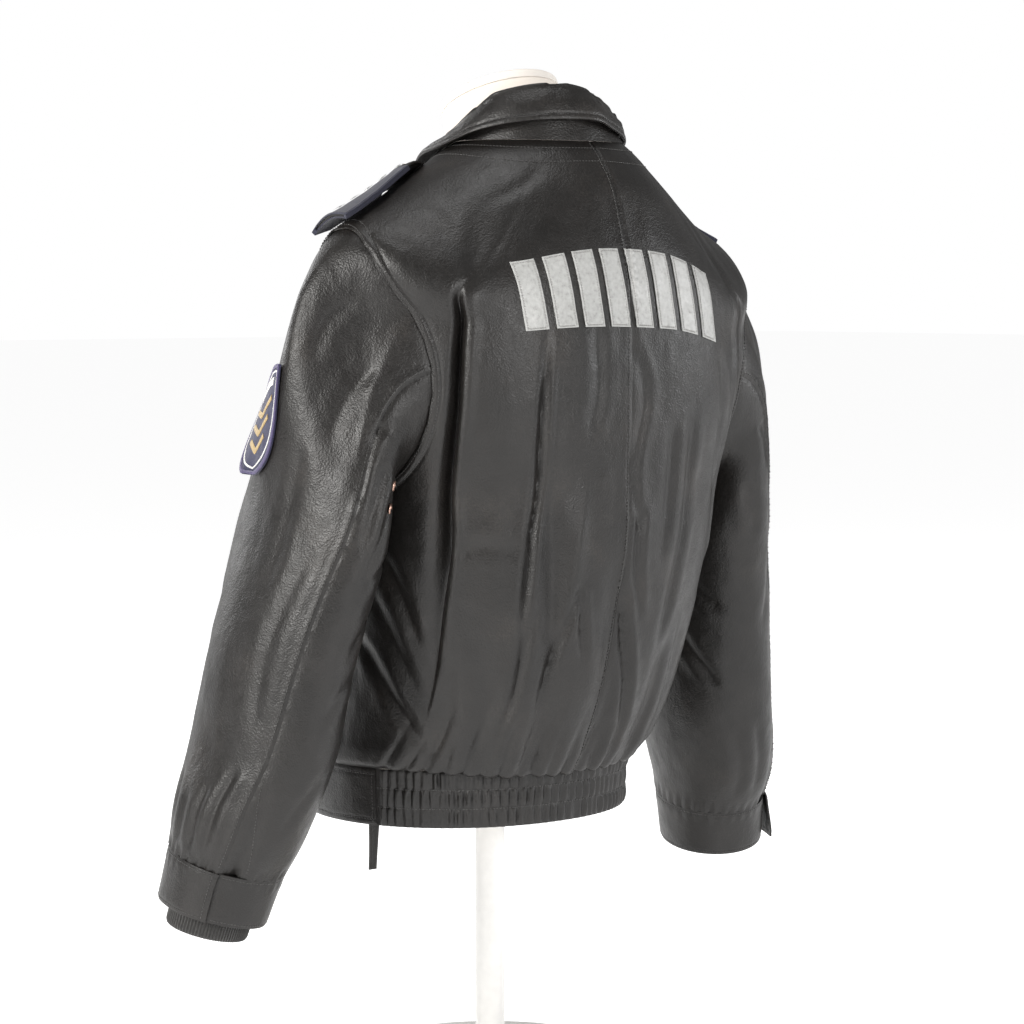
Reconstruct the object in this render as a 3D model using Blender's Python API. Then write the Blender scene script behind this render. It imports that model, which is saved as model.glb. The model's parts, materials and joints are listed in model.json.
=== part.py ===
"""Police uniform jacket in black leather on a limbless dress form with a round stand.

Every leather piece is one thin closed wall.  The body panels are cut out of one
torso surface, the sleeves grow out of the armholes of that surface, and whatever
lies on a panel is made from the points of the panel, moved out.
The wearer faces -Y and the wearer's left side is +X.  All sizes are in metres.
"""
import bpy
import bmesh
import math
import numpy as np

# where the shoulder line stands over the middle of the base
SHOULDER_HEIGHT = 0.864
SHOULDER_BACK = 0.070

LEATHER = 0.0015
SEAM_GAP = 0.0003
COLLAR_LEATHER = 0.0018
CUFF_LEATHER = 0.0018
KNIT_WALL = 0.0020

# torso surface: one row per section, heights measured from the shoulder line
TORSO_COLUMNS = (
    "t", "side_z", "back_z", "front_z", "dip", "middle_x", "half_width",
    "middle_y", "back_depth", "front_depth", "squareness",
)
TORSO_ROWS = (
    (0.000, -0.524, -0.524, -0.524, 0.000, 0.022, 0.168, -0.080, 0.152, 0.152, 2.10),
    (0.018, -0.519, -0.532, -0.519, 0.000, 0.021, 0.1725, -0.080, 0.163, 0.1545, 2.10),
    (0.045, -0.508, -0.519, -0.508, 0.000, 0.018, 0.177, -0.077, 0.171, 0.158, 2.15),
    (0.085, -0.492, -0.496, -0.492, 0.000, 0.014, 0.179, -0.070, 0.173, 0.160, 2.20),
    (0.135, -0.466, -0.466, -0.466, 0.000, 0.010, 0.181, -0.058, 0.173, 0.158, 2.20),
    (0.205, -0.420, -0.420, -0.420, 0.000, 0.006, 0.184, -0.045, 0.173, 0.154, 2.20),
    (0.300, -0.360, -0.360, -0.360, 0.000, 0.003, 0.191, -0.030, 0.167, 0.150, 2.20),
    (0.400, -0.300, -0.300, -0.300, 0.000, 0.000, 0.198, -0.020, 0.163, 0.148, 2.20),
    (0.480, -0.250, -0.250, -0.250, 0.000, 0.000, 0.203, -0.018, 0.163, 0.144, 2.25),
    (0.620, -0.160, -0.160, -0.162, 0.000, 0.000, 0.212, -0.012, 0.160, 0.134, 2.60),
    (0.740, -0.080, -0.082, -0.088, 0.012, 0.000, 0.222, -0.008, 0.155, 0.122, 2.50),
    (0.840, 0.000, -0.020, -0.035, 0.030, 0.000, 0.235, -0.004, 0.143, 0.108, 2.30),
    (0.890, 0.027, 0.012, -0.008, 0.020, 0.000, 0.190, -0.004, 0.134, 0.104, 2.20),
    (0.930, 0.053, 0.042, 0.010, 0.010, 0.000, 0.146, -0.003, 0.122, 0.100, 2.15),
    (0.970, 0.074, 0.067, 0.024, 0.004, 0.000, 0.112, -0.002, 0.104, 0.092, 2.10),
    (1.000, 0.087, 0.086, 0.036, 0.000, 0.000, 0.090, -0.002, 0.087, 0.083, 2.05),
)

# hang of the jacket: the right shoulder droops, and each sleeve swings a little outward
HANG_COLUMNS = ("z", "left_out", "right_out")
HANG_ROWS = (
    (-0.780, 0.0000, 0.0000),
    (-0.720, 0.0070, 0.0040),
    (-0.620, 0.0060, 0.0040),
    (-0.560, 0.0035, 0.0020),
    (-0.500, 0.0000, -0.0020),
    (-0.440, 0.0000, -0.0045),
    (-0.340, 0.0000, -0.0045),
    (-0.260, 0.0000, 0.0000),
    (-0.200, 0.0030, 0.0080),
    (-0.150, 0.0040, 0.0140),
    (-0.100, 0.0040, 0.0140),
    (-0.060, 0.0030, 0.0060),
    (-0.020, 0.0000, 0.0000),
    (0.200, 0.0000, 0.0000),
)
HANG_FORWARD = 0.84
DROOP = 0.0115

# armhole: an oval in the torso surface
ARMHOLE_MIDDLE = 0.660
ARMHOLE_HALF_HEIGHT = 0.180
ARMHOLE_BACK_ANGLE = 30.5
ARMHOLE_FRONT_ANGLE = 33.0
ARMHOLE_STEPS = 10

# action pleat: a deep fold down each side of the back
PLEAT_COLUMNS = ("t", "angle", "depth", "outer_width")
PLEAT_ROWS = (
    (0.10, 31.0, 0.000, 0.012),
    (0.205, 31.0, 0.004, 0.013),
    (0.300, 31.5, 0.010, 0.013),
    (0.400, 33.0, 0.017, 0.012),
    (0.480, 33.8, 0.017, 0.0085),
    (0.620, 38.3, 0.015, 0.0060),
    (0.740, 42.0, 0.013, 0.0050),
    (0.790, 44.6, 0.008, 0.0050),
    (0.815, 46.0, 0.002, 0.0050),
    (0.830, 47.0, 0.000, 0.0050),
    (1.000, 47.0, 0.000, 0.0050),
)
PLEAT_INNER_WIDTH = 0.0032

# large soft folds of the back over the waistband
FOLD_COLUMNS = ("arc", "lean", "low", "high", "depth", "width")
BACK_FOLDS = (
    (-0.118, 0.020, 0.03, 0.34, 0.0060, 0.014),
    (-0.062, -0.012, 0.03, 0.30, 0.0070, 0.013),
    (-0.010, 0.020, 0.03, 0.42, 0.0075, 0.013),
    (0.052, 0.030, 0.03, 0.62, 0.0070, 0.012),
    (0.104, 0.030, 0.03, 0.26, 0.0060, 0.014),
    (0.152, 0.020, 0.03, 0.24, 0.0055, 0.014),
)

# sleeve sections under the armhole
SLEEVE_COLUMNS = ("v", "x", "y", "z", "across", "along")
SLEEVE_ROWS = (
    (0.46, 0.2550, -0.0310, -0.300, 0.0520, 0.0980),
    (0.63, 0.2775, -0.0435, -0.400, 0.0550, 0.0910),
    (0.79, 0.2920, -0.0588, -0.500, 0.0580, 0.0880),
    (0.91, 0.3050, -0.0690, -0.564, 0.0600, 0.0760),
    (1.00, 0.3110, -0.0790, -0.605, 0.0560, 0.0620),
    (1.12, 0.3200, -0.0880, -0.655, 0.0520, 0.0580),
)
SLEEVE_HEAD = 0.46
SLEEVE_END = 1.00
CUFF_END = 1.12
SEAM_ANGLE_COLUMNS = ("v", "rear", "front")
SEAM_ANGLE_ROWS = (
    (0.00, 90.0, -108.0),
    (0.20, 77.0, -112.0),
    (0.46, 60.0, -116.0),
    (0.63, 53.5, -119.0),
    (0.79, 47.0, -120.0),
    (1.00, 46.0, -120.0),
)
SLEEVE_STEPS = (0.0, 0.05, 0.11, 0.18, 0.26, 0.35, 0.46, 0.55, 0.64, 0.73, 0.81, 0.88, 0.94, 1.0)
VENT_START = 0.82
VENT_DEPTH = 0.0065
VENT_ANGLE = 13.0
VENT_SPREAD = 8.0
CUFF_OVERLAP = 16.0
CUFF_LIFT = 0.0024
OPEN_CUFF_FLARE = 0.0100

# knitted cuffs under the leather cuffs, sizes at the top, the leather edge and the end
KNIT_TOP = 1.03
KNIT_INSET = 0.0027
KNIT_NECK = 0.0415
KNIT_END = 0.0405
KNIT_DROP_LEFT = 0.020
KNIT_DROP_RIGHT = 0.005

# waistband
BAND_TOP = -0.5243
BAND_HEIGHT = 0.0565
BAND_TAPER = 0.0045
ELASTIC_START = 20.0
ELASTIC_END = 160.0
GATHERS = 43
CHANNELS = 3
GATHER_DEPTH = 0.0026

# collar: one row per direction round the neck, 90 is the middle of the back
COLLAR_COLUMNS = ("angle", "fold_z", "fold_r", "edge_z", "edge_r")
COLLAR_ROWS = (
    (-90.0, 0.052, 0.0880, -0.018, 0.1060),
    (-65.0, 0.066, 0.0885, 0.004, 0.1225),
    (-40.0, 0.081, 0.0885, 0.062, 0.1150),
    (-3.0, 0.106, 0.0880, 0.0835, 0.1090),
    (19.0, 0.128, 0.0880, 0.0960, 0.1070),
    (45.0, 0.139, 0.0885, 0.1040, 0.1060),
    (72.0, 0.141, 0.0880, 0.1065, 0.1050),
    (90.0, 0.137, 0.0880, 0.1055, 0.1060),
    (106.0, 0.126, 0.0875, 0.0990, 0.1010),
    (140.0, 0.112, 0.0865, 0.0900, 0.0970),
    (183.0, 0.104, 0.0880, 0.0830, 0.1060),
    (220.0, 0.082, 0.0885, 0.0620, 0.1150),
    (245.0, 0.066, 0.0885, 0.004, 0.1225),
    (270.0, 0.052, 0.0880, -0.018, 0.1060),
)
COLLAR_MIDDLE_Y = -0.0100
COLLAR_FRONT_GAP = 4.5

# front zip
ZIP_HALF_GAP = 0.0034
CHAIN_HALF_WIDTH = 0.0030
CHAIN_WALL = 0.0022
SLIDER_T = 0.955
PULL_LENGTH = 0.030
PULL_WIDTH = 0.0085
PULL_WALL = 0.0012
HINGE_OUT = 0.0034
HINGE_UP = 0.0016

# epaulettes: outer and inner ends over the shoulder
STRAP_OUTER_X = 0.241
STRAP_INNER_X = 0.122
STRAP_OUTER_Y = -0.014
STRAP_INNER_Y = -0.034
STRAP_HALF_WIDTH = 0.0215
STRAP_LIFTS = {"left": 0.0110, "right": 0.0040}
STRAP_END_LIFT = 0.0011
STRAP_RISE = 0.022
STRAP_WALL = 0.0020
SLIDE_OUTER_X = 0.243
SLIDE_INNER_X = 0.154
SLIDE_HALF_WIDTH = 0.0255
SLIDE_WALL = 0.0012
SLIDE_GAP = 0.0004
STARS = 4
STAR_RADIUS = 0.0068
STAR_WALL = 0.0010
BUTTON_RADIUS = 0.0075
BUTTON_X = 0.1435

# reflective bars across the back, from the wearer's right to the left
BARS = 8
BARS_RIGHT_X = -0.121
BARS_LEFT_X = 0.130
BAR_SHARE = 0.74
BAR_WALL = 0.0007
BAR_LIFT = 0.0011
BAR_TOP_T = 0.842
BAR_LOW_T = 0.722
BAR_LEAN_X = 0.009
BAR_RISE = 0.05

# sleeve patch
PATCH_ANGLE = -27.0
PATCH_TOP_V = 0.225
PATCH_HEIGHT = 0.100
PATCH_HALF_WIDTH = 0.042
PATCH_WALL = 0.0022
PATCH_LIFT = 0.0016
PATCH_CURL = 0.0085

EYELET_RADIUS = 0.0055
EYELET_HOLE = 0.0024
EYELET_HEIGHT = 0.0009
EYELET_COLUMNS = ("side", "number", "v", "turn", "low")
# the right sleeve hangs rolled inward, with its eyelets towards the body
EYELET_ROWS = (
    ("left", 1, 0.302, 114.0, -0.0005),
    ("left", 2, 0.234, 116.0, 0.0004),
    ("right", 1, 0.302, 168.0, 0.0002),
    ("right", 2, 0.234, 170.0, 0.0005),
)

# strap end that hangs from the front of the hem
STRAP_END_TOP = -0.560
STRAP_END_LOW = -0.671
STRAP_END_X = 0.0330
STRAP_END_WIDTH = 0.0165
STRAP_END_TIP = 0.0095

# dress form under the jacket
FORM_COLUMNS = ("t", "inset", "upright")
FORM_ROWS = (
    (0.100, 0.060, 1.0),
    (0.205, 0.056, 1.0),
    (0.300, 0.050, 1.0),
    (0.400, 0.042, 1.0),
    (0.480, 0.038, 1.0),
    (0.620, 0.036, 1.0),
    (0.740, 0.034, 1.0),
    (0.800, 0.027, 0.0),
    (0.840, 0.013, 0.0),
    (0.870, 0.0040, 0.0),
    (0.900, 0.0020, 0.0),
    (0.935, 0.0020, 0.0),
    (0.970, 0.0022, 0.0),
    (1.000, 0.0060, 1.0),
)
FORM_LOW = -0.548
FORM_FRONT_EXTRA = 0.0015
FORM_SIDE_EXTRA = 0.0012
NECK_RADIUS = 0.0600
NECK_TOP_X = 0.0080
NECK_TOP_Y = -0.0430
NECK_TOP_Z = 0.1290
NECK_TILT = 22.0
NECK_CAP = 0.0110
POLE_RADIUS = 0.0150
BASE_RADIUS = 0.1600
BASE_HEIGHT = 0.0140


def column(columns, rows, name):
    """One named column of a table as an array."""
    place = columns.index(name)
    return np.array([row[place] for row in rows], dtype=float)


def named(columns, rows):
    """The rows of a table as dictionaries."""
    return [dict(zip(columns, row)) for row in rows]


def smooth(knots, values, where):
    """A smooth curve through the values at the knots."""
    where = np.clip(np.asarray(where, dtype=float), knots[0], knots[-1])
    slopes = np.gradient(values, knots)
    slopes[0] = (values[1] - values[0]) / (knots[1] - knots[0])
    slopes[-1] = (values[-1] - values[-2]) / (knots[-1] - knots[-2])
    index = np.clip(np.searchsorted(knots, where, side="right") - 1, 0, len(knots) - 2)
    span = knots[index + 1] - knots[index]
    f = (where - knots[index]) / span
    first = (2 * f ** 3 - 3 * f ** 2 + 1) * values[index]
    first = first + (f ** 3 - 2 * f ** 2 + f) * span * slopes[index]
    second = (-2 * f ** 3 + 3 * f ** 2) * values[index + 1]
    second = second + (f ** 3 - f ** 2) * span * slopes[index + 1]
    return first + second


def table(columns, rows, key, name, where):
    """The named column of a table as a smooth function of its key column."""
    return smooth(column(columns, rows, key), column(columns, rows, name), where)


def ramp(value, low, high):
    """0 below low, 1 above high, smooth between."""
    f = np.clip((value - low) / (high - low), 0.0, 1.0)
    return f * f * (3 - 2 * f)


def unit(vectors):
    """Vectors of length one."""
    length = np.linalg.norm(vectors, axis=-1, keepdims=True)
    return vectors / np.maximum(length, 1e-12)


def torso_base(angle, t):
    """Torso surface without folds: a squared oval section at each height t."""
    def value(name):
        return table(TORSO_COLUMNS, TORSO_ROWS, "t", name, t)
    turn = np.radians(angle)
    c = np.cos(turn)
    s = np.sin(turn)
    power = 2.0 / value("squareness")
    depth = np.where(s >= 0, value("back_depth"), value("front_depth"))
    x = value("middle_x") + value("half_width") * np.sign(c) * np.abs(c) ** power
    y = value("middle_y") + depth * np.sign(s) * np.abs(s) ** power
    end = np.where(s >= 0, value("back_z"), value("front_z"))
    z = value("side_z") + (end - value("side_z")) * s * s
    z = z - value("dip") * np.sin(2 * turn) ** 2
    return np.stack([x, y, z], axis=-1)


def torso_base_normal(angle, t):
    """Outward normal of the torso surface without folds."""
    low = np.clip(t - 0.002, 0.0, 1.0)
    high = np.clip(t + 0.002, 0.0, 1.0)
    along = torso_base(angle + 0.2, t) - torso_base(angle - 0.2, t)
    up = torso_base(angle, high) - torso_base(angle, low)
    return unit(np.cross(along, up))


def pleat_offset(angle, t):
    """Depth of the action pleat, measured from its line along the section."""
    side = np.where(np.cos(np.radians(angle)) >= 0, angle, 180.0 - angle)
    line = table(PLEAT_COLUMNS, PLEAT_ROWS, "t", "angle", t)
    depth = table(PLEAT_COLUMNS, PLEAT_ROWS, "t", "depth", t)
    wide = table(PLEAT_COLUMNS, PLEAT_ROWS, "t", "outer_width", t)
    step = torso_base(line + 0.5, t) - torso_base(line - 0.5, t)
    arc = (line - side) * np.linalg.norm(step, axis=-1)
    width = np.where(arc < 0, PLEAT_INNER_WIDTH, wide)
    groove = depth * np.exp(-(arc / width) ** 2)
    lip = 0.16 * depth * np.exp(-((arc + 0.011) / 0.005) ** 2)
    return np.where((side > 2.0) & (side < 88.0), lip - np.maximum(groove, 0.0), 0.0)


def back_fold_offset(angle, t):
    """Large soft folds that fall to the waistband at the back."""
    arc = (90.0 - angle) * math.pi / 180 * 0.175
    total = np.zeros(np.broadcast(angle, t).shape)
    for fold in named(FOLD_COLUMNS, BACK_FOLDS):
        low = fold["low"]
        high = fold["high"]
        line = fold["arc"] + fold["lean"] * (t - low) / (high - low)
        fade = ramp(t, 0.004, low + 0.03) * (1 - ramp(t, 0.55 * high, high))
        total = total - fold["depth"] * fade * np.exp(-((arc - line) / fold["width"]) ** 2)
    return total * ramp(angle, 20.0, 45.0) * (1 - ramp(angle, 135.0, 160.0))


def torso(angle, t):
    """Torso surface with its pleats and large folds."""
    angle, t = np.broadcast_arrays(np.asarray(angle, dtype=float), np.asarray(t, dtype=float))
    move = pleat_offset(angle, t) + back_fold_offset(angle, t)
    return torso_base(angle, t) + torso_base_normal(angle, t) * move[..., None]


def torso_normal(angle, t):
    """Outward normal of the torso surface."""
    angle, t = np.broadcast_arrays(np.asarray(angle, dtype=float), np.asarray(t, dtype=float))
    low = np.clip(t - 0.002, 0.0, 1.0)
    high = np.clip(t + 0.002, 0.0, 1.0)
    along = torso(angle + 0.25, t) - torso(angle - 0.25, t)
    up = torso(angle, high) - torso(angle, low)
    return unit(np.cross(along, up))


def armhole_angle(t, back):
    """Angle of the armhole edge at height t, 0 above and below the armhole."""
    across = 1 - ((t - ARMHOLE_MIDDLE) / ARMHOLE_HALF_HEIGHT) ** 2
    wide = ARMHOLE_BACK_ANGLE if back else -ARMHOLE_FRONT_ANGLE
    return wide * np.sqrt(np.clip(across, 0.0, 1.0))


def armhole(turn):
    """Angle and height on the torso of the armhole edge, turn 0 is its top."""
    wave = np.sin(np.radians(turn))
    angle = np.where(wave >= 0, ARMHOLE_BACK_ANGLE, ARMHOLE_FRONT_ANGLE) * wave
    t = ARMHOLE_MIDDLE + ARMHOLE_HALF_HEIGHT * np.cos(np.radians(turn))
    return angle, t


def armhole_frame(turn):
    """Edge point, direction into the panel and torso normal round the armhole."""
    angle, t = armhole(turn)
    point = torso(angle, t)
    ahead = torso(*armhole(turn + 1.0)) - torso(*armhole(turn - 1.0))
    normal = torso_normal(angle, t)
    inward = unit(np.cross(normal, ahead))
    centre = torso_base(np.zeros_like(t), np.full_like(t, ARMHOLE_MIDDLE))
    away = np.sum(inward * (point - centre), axis=-1, keepdims=True)
    return point, inward * np.sign(away), normal


def sleeve_ring(turn, v):
    """Oval sleeve section square to the line of the sleeve."""
    def value(name, where):
        return table(SLEEVE_COLUMNS, SLEEVE_ROWS, "v", name, where)
    def middle(where):
        return np.stack([value("x", where), value("y", where), value("z", where)], axis=-1)
    low = np.clip(v - 0.02, SLEEVE_HEAD, CUFF_END)
    high = np.clip(v + 0.02, SLEEVE_HEAD, CUFF_END)
    line = unit(middle(high) - middle(low))
    out = np.zeros_like(line)
    out[..., 0] = 1.0
    out = unit(out - np.sum(out * line, axis=-1, keepdims=True) * line)
    rear = np.cross(line, out)
    rear = rear * np.sign(rear[..., 1:2])
    c = np.cos(np.radians(turn))[..., None]
    s = np.sin(np.radians(turn))[..., None]
    return middle(v) + out * c * value("across", v)[..., None] + rear * s * value("along", v)[..., None]


def sleeve_start(turn):
    """Direction in which the sleeve leaves the armhole."""
    point, inward, _ = armhole_frame(turn)
    top = (0.5 + 0.5 * np.cos(np.radians(turn)))[..., None]
    side = (np.sin(np.radians(turn)) ** 2)[..., None]
    out = np.array([1.0, 0.0, 0.0])
    down = np.array([0.0, 0.0, -1.0])
    return unit(-inward * top + out * (0.30 + 0.55 * (1 - top)) + down * (0.05 + 0.5 * side))


def sleeve_offset(turn, v):
    """Depth of the vent fold above the cuff."""
    rear = table(SEAM_ANGLE_COLUMNS, SEAM_ANGLE_ROWS, "v", "rear", v)
    across = np.exp(-((turn - rear - VENT_ANGLE) / VENT_SPREAD) ** 2)
    return -VENT_DEPTH * ramp(v, VENT_START, 0.97) * across * (1 - ramp(v, 1.0, 1.02))


def sleeve_plain(turn, v):
    """Sleeve surface without its vent: armhole edge to section, then section to section."""
    turn, v = np.broadcast_arrays(np.asarray(turn, dtype=float), np.asarray(v, dtype=float))
    ring = sleeve_ring(turn, np.maximum(v, SLEEVE_HEAD))
    edge, _, _ = armhole_frame(turn)
    first = np.full_like(v, SLEEVE_HEAD)
    end = sleeve_ring(turn, first)
    run = unit(sleeve_ring(turn, first + 0.03) - end)
    length = np.linalg.norm(end - edge, axis=-1, keepdims=True)
    f = np.clip(v / SLEEVE_HEAD, 0.0, 1.0)[..., None]
    head = (2 * f ** 3 - 3 * f ** 2 + 1) * edge + (-2 * f ** 3 + 3 * f ** 2) * end
    head = head + (f ** 3 - 2 * f ** 2 + f) * length * sleeve_start(turn)
    head = head + (f ** 3 - f ** 2) * length * run
    return np.where(v[..., None] < SLEEVE_HEAD, head, ring)


def sleeve_normal_of(surface, turn, v):
    """Outward normal of a left sleeve surface, one-sided at its ends."""
    low = np.clip(v - 0.004, 0.0, CUFF_END)
    high = np.clip(v + 0.004, 0.0, CUFF_END)
    around = surface(turn + 0.6, v) - surface(turn - 0.6, v)
    along = surface(turn, high) - surface(turn, low)
    return unit(np.cross(along, around))


def sleeve(turn, v):
    """Sleeve surface with the vent fold above the cuff."""
    turn, v = np.broadcast_arrays(np.asarray(turn, dtype=float), np.asarray(v, dtype=float))
    move = sleeve_offset(turn, v)[..., None]
    return sleeve_plain(turn, v) + sleeve_normal_of(sleeve_plain, turn, v) * move


def armhole_mean_normal(turn):
    """Shared direction of the wall at the armhole seam."""
    _, _, body = armhole_frame(turn)
    arm = sleeve_normal_of(sleeve_plain, turn, np.zeros_like(turn) + 0.004)
    return unit(body + arm)


def hang(points):
    """Moves points of the jacket the way it hangs: sleeves outward, right shoulder down."""
    moved = np.array(points, dtype=float)
    z = moved[..., 2]
    for side, name in ((1.0, "left_out"), (-1.0, "right_out")):
        swing = table(HANG_COLUMNS, HANG_ROWS, "z", name, z)
        swing = swing * ramp(side * moved[..., 0], 0.150, 0.235)
        moved[..., 0] = moved[..., 0] + side * swing
        moved[..., 1] = moved[..., 1] - side * HANG_FORWARD * swing
    droop = DROOP * ramp(-points[..., 0], 0.050, 0.180) * ramp(z, -0.300, -0.060)
    moved[..., 2] = z - droop
    return moved


def finish_object(obj, material, collection):
    """Links an object into the jacket and gives it its material."""
    obj.data.materials.append(material)
    collection.objects.link(obj)
    return obj


def body_from(name, points, faces, material, collection):
    """One closed body from points and faces, facing outward."""
    mesh = bpy.data.meshes.new(name)
    moved = hang(np.asarray(points, dtype=float)) + np.array([0.0, SHOULDER_BACK, SHOULDER_HEIGHT])
    mesh.from_pydata([tuple(p) for p in moved], [], faces)
    work = bmesh.new()
    work.from_mesh(mesh)
    bmesh.ops.recalc_face_normals(work, faces=work.faces)
    work.to_mesh(mesh)
    work.free()
    return finish_object(bpy.data.objects.new(name, mesh), material, collection)


def wall(name, outer, inner, material, collection, round_wall=False):
    """A closed wall between two grids of points, rows by columns."""
    rows, columns = outer.shape[:2]
    count = rows * columns
    points = np.concatenate([outer.reshape(-1, 3), inner.reshape(-1, 3)])
    across = columns if round_wall else columns - 1
    faces = []
    for row in range(rows - 1):
        for place in range(across):
            nxt = (place + 1) % columns
            a = row * columns + place
            b = row * columns + nxt
            c = (row + 1) * columns + nxt
            d = (row + 1) * columns + place
            faces.append((a, b, c, d))
            faces.append((count + d, count + c, count + b, count + a))
    for row in (0, rows - 1):
        for place in range(across):
            nxt = (place + 1) % columns
            a = row * columns + place
            b = row * columns + nxt
            quad = (a, count + a, count + b, b)
            faces.append(quad if row == 0 else quad[::-1])
    if not round_wall:
        for place in (0, columns - 1):
            for row in range(rows - 1):
                a = row * columns + place
                b = (row + 1) * columns + place
                quad = (a, b, count + b, count + a)
                faces.append(quad if place == 0 else quad[::-1])
    return body_from(name, points, faces, material, collection)


def shifted_edge(outer, normals, which, gap):
    """Moves one edge of a grid inward along the surface by a part of the seam gap."""
    if which in ("first_row", "last_row"):
        edge = 0 if which == "first_row" else outer.shape[0] - 1
        inner = 1 if edge == 0 else edge - 1
        line = outer[edge]
        toward = outer[inner] - line
        run = np.gradient(line, axis=0)
        direction = unit(np.cross(normals[edge], run))
        sign = np.sign(np.sum(direction * toward, axis=-1, keepdims=True))
        outer[edge] = line + direction * sign * gap
    else:
        edge = 0 if which == "first_column" else outer.shape[1] - 1
        inner = 1 if edge == 0 else edge - 1
        line = outer[:, edge]
        toward = outer[:, inner] - line
        run = np.gradient(line, axis=0)
        direction = unit(np.cross(normals[:, edge], run))
        sign = np.sign(np.sum(direction * toward, axis=-1, keepdims=True))
        outer[:, edge] = line + direction * sign * gap


def mirrored(points):
    """The same points on the wearer's right side."""
    return points * np.array([-1.0, 1.0, 1.0])


def panel_heights():
    """Rows of the body panels: under the armhole, beside it and over the shoulder."""
    low = [0.0, 0.018, 0.045, 0.095, 0.16, 0.24, 0.32, 0.40]
    beside = [
        ARMHOLE_MIDDLE - ARMHOLE_HALF_HEIGHT * math.cos(math.pi * step / ARMHOLE_STEPS)
        for step in range(ARMHOLE_STEPS + 1)
    ]
    high = [0.870, 0.900, 0.935, 0.970, 1.0]
    return np.array(low + beside + high)


def back_columns(t):
    """Angles of the columns of a back panel at one height, middle of the back first."""
    line = float(table(PLEAT_COLUMNS, PLEAT_ROWS, "t", "angle", t))
    step = torso_base(np.array(line + 0.5), np.array(t)) - torso_base(np.array(line - 0.5), np.array(t))
    metre = 1.0 / float(np.linalg.norm(step))
    wide = float(table(PLEAT_COLUMNS, PLEAT_ROWS, "t", "outer_width", t))
    edge = float(armhole_angle(t, True))
    arcs = (-0.013, -0.0075, -0.0045, -0.0022, 0.0, 0.55 * wide, 1.15 * wide)
    folds = [line - arc * metre for arc in arcs]
    flat = list(np.linspace(90.0, folds[0], 10))
    side = [edge + share * (folds[-1] - edge) for share in (2 / 3, 1 / 3, 0.0)]
    return np.array(flat + folds[1:] + side)


def front_columns(t):
    """Angles of the columns of a front panel at one height, zip edge first."""
    wide = float(table(TORSO_COLUMNS, TORSO_ROWS, "t", "half_width", t))
    power = float(table(TORSO_COLUMNS, TORSO_ROWS, "t", "squareness", t)) / 2
    start = -math.degrees(math.acos((ZIP_HALF_GAP / wide) ** power))
    return np.linspace(start, float(armhole_angle(t, False)), 9)


def panel_grid(columns_at, right):
    """Angles and heights of a body panel."""
    heights = panel_heights()
    angles = np.stack([columns_at(float(t)) for t in heights])
    if right:
        angles = 180.0 - angles
    return angles, np.repeat(heights[:, None], angles.shape[1], axis=1)


def panel_walls(angles, heights, right, back):
    """Outer and inner points of a body panel with its seam edges drawn in."""
    outer = torso(angles, heights)
    normals = torso_normal(angles, heights)
    direction = normals.copy()
    rows = panel_heights()
    inside = (rows > ARMHOLE_MIDDLE - ARMHOLE_HALF_HEIGHT - 1e-6)
    inside = inside & (rows < ARMHOLE_MIDDLE + ARMHOLE_HALF_HEIGHT + 1e-6)
    turn = np.degrees(np.arccos(np.clip((rows - ARMHOLE_MIDDLE) / ARMHOLE_HALF_HEIGHT, -1, 1)))
    turn = turn if back else 360.0 - turn
    mean = armhole_mean_normal(turn)
    if right:
        mean = mirrored(mean)
    direction[inside, -1] = mean[inside]
    direction[0] = np.array([0.0, 0.0, -1.0])
    gap = SEAM_GAP / 2
    if back:
        shifted_edge(outer, normals, "first_column", gap)
    shifted_edge(outer, normals, "last_column", gap)
    inner = outer - direction * LEATHER
    return outer, inner


def make_body(collection, leather):
    """Back and front panels of both sides."""
    for right, side in ((False, "left"), (True, "right")):
        angles, heights = panel_grid(back_columns, right)
        outer, inner = panel_walls(angles, heights, right, True)
        wall("back_panel_" + side, outer, inner, leather, collection)
        angles, heights = panel_grid(front_columns, right)
        outer, inner = panel_walls(angles, heights, right, False)
        wall("front_panel_" + side, outer, inner, leather, collection)


def sleeve_grid(first, last, first_turn, last_turn):
    """Angles and heights of a sleeve piece between two seams."""
    steps = int(round(abs(last_turn - first_turn) * ARMHOLE_STEPS / 180.0))
    v = np.array(SLEEVE_STEPS)
    begin = table(SEAM_ANGLE_COLUMNS, SEAM_ANGLE_ROWS, "v", first, v)
    finish = table(SEAM_ANGLE_COLUMNS, SEAM_ANGLE_ROWS, "v", last, v)
    begin = begin + first_turn - begin[0]
    finish = finish + last_turn - finish[0]
    share = np.linspace(0.0, 1.0, steps + 1)
    turns = begin[:, None] + (finish - begin)[:, None] * share[None, :]
    return turns, np.repeat(v[:, None], steps + 1, axis=1)


def make_sleeves(collection, leather):
    """Upper and under sleeve of both sides."""
    gap = SEAM_GAP / 2
    pieces = (
        ("upper_sleeve_", sleeve_grid("front", "rear", -108.0, 90.0)),
        ("under_sleeve_", sleeve_grid("rear", "front", 90.0, 252.0)),
    )
    for name, (turns, v) in pieces:
        outer = sleeve(turns, v)
        normals = sleeve_normal_of(sleeve, turns, v)
        shifted_edge(outer, normals, "first_column", gap)
        shifted_edge(outer, normals, "last_column", gap)
        shifted_edge(outer, normals, "last_row", gap)
        _, inward, _ = armhole_frame(turns[0])
        outer[0] = outer[0] - inward * gap
        direction = normals.copy()
        direction[0] = armhole_mean_normal(turns[0])
        inner = outer - direction * LEATHER
        wall(name + "left", outer, inner, leather, collection)
        wall(name + "right", mirrored(outer), mirrored(inner), leather, collection)


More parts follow.
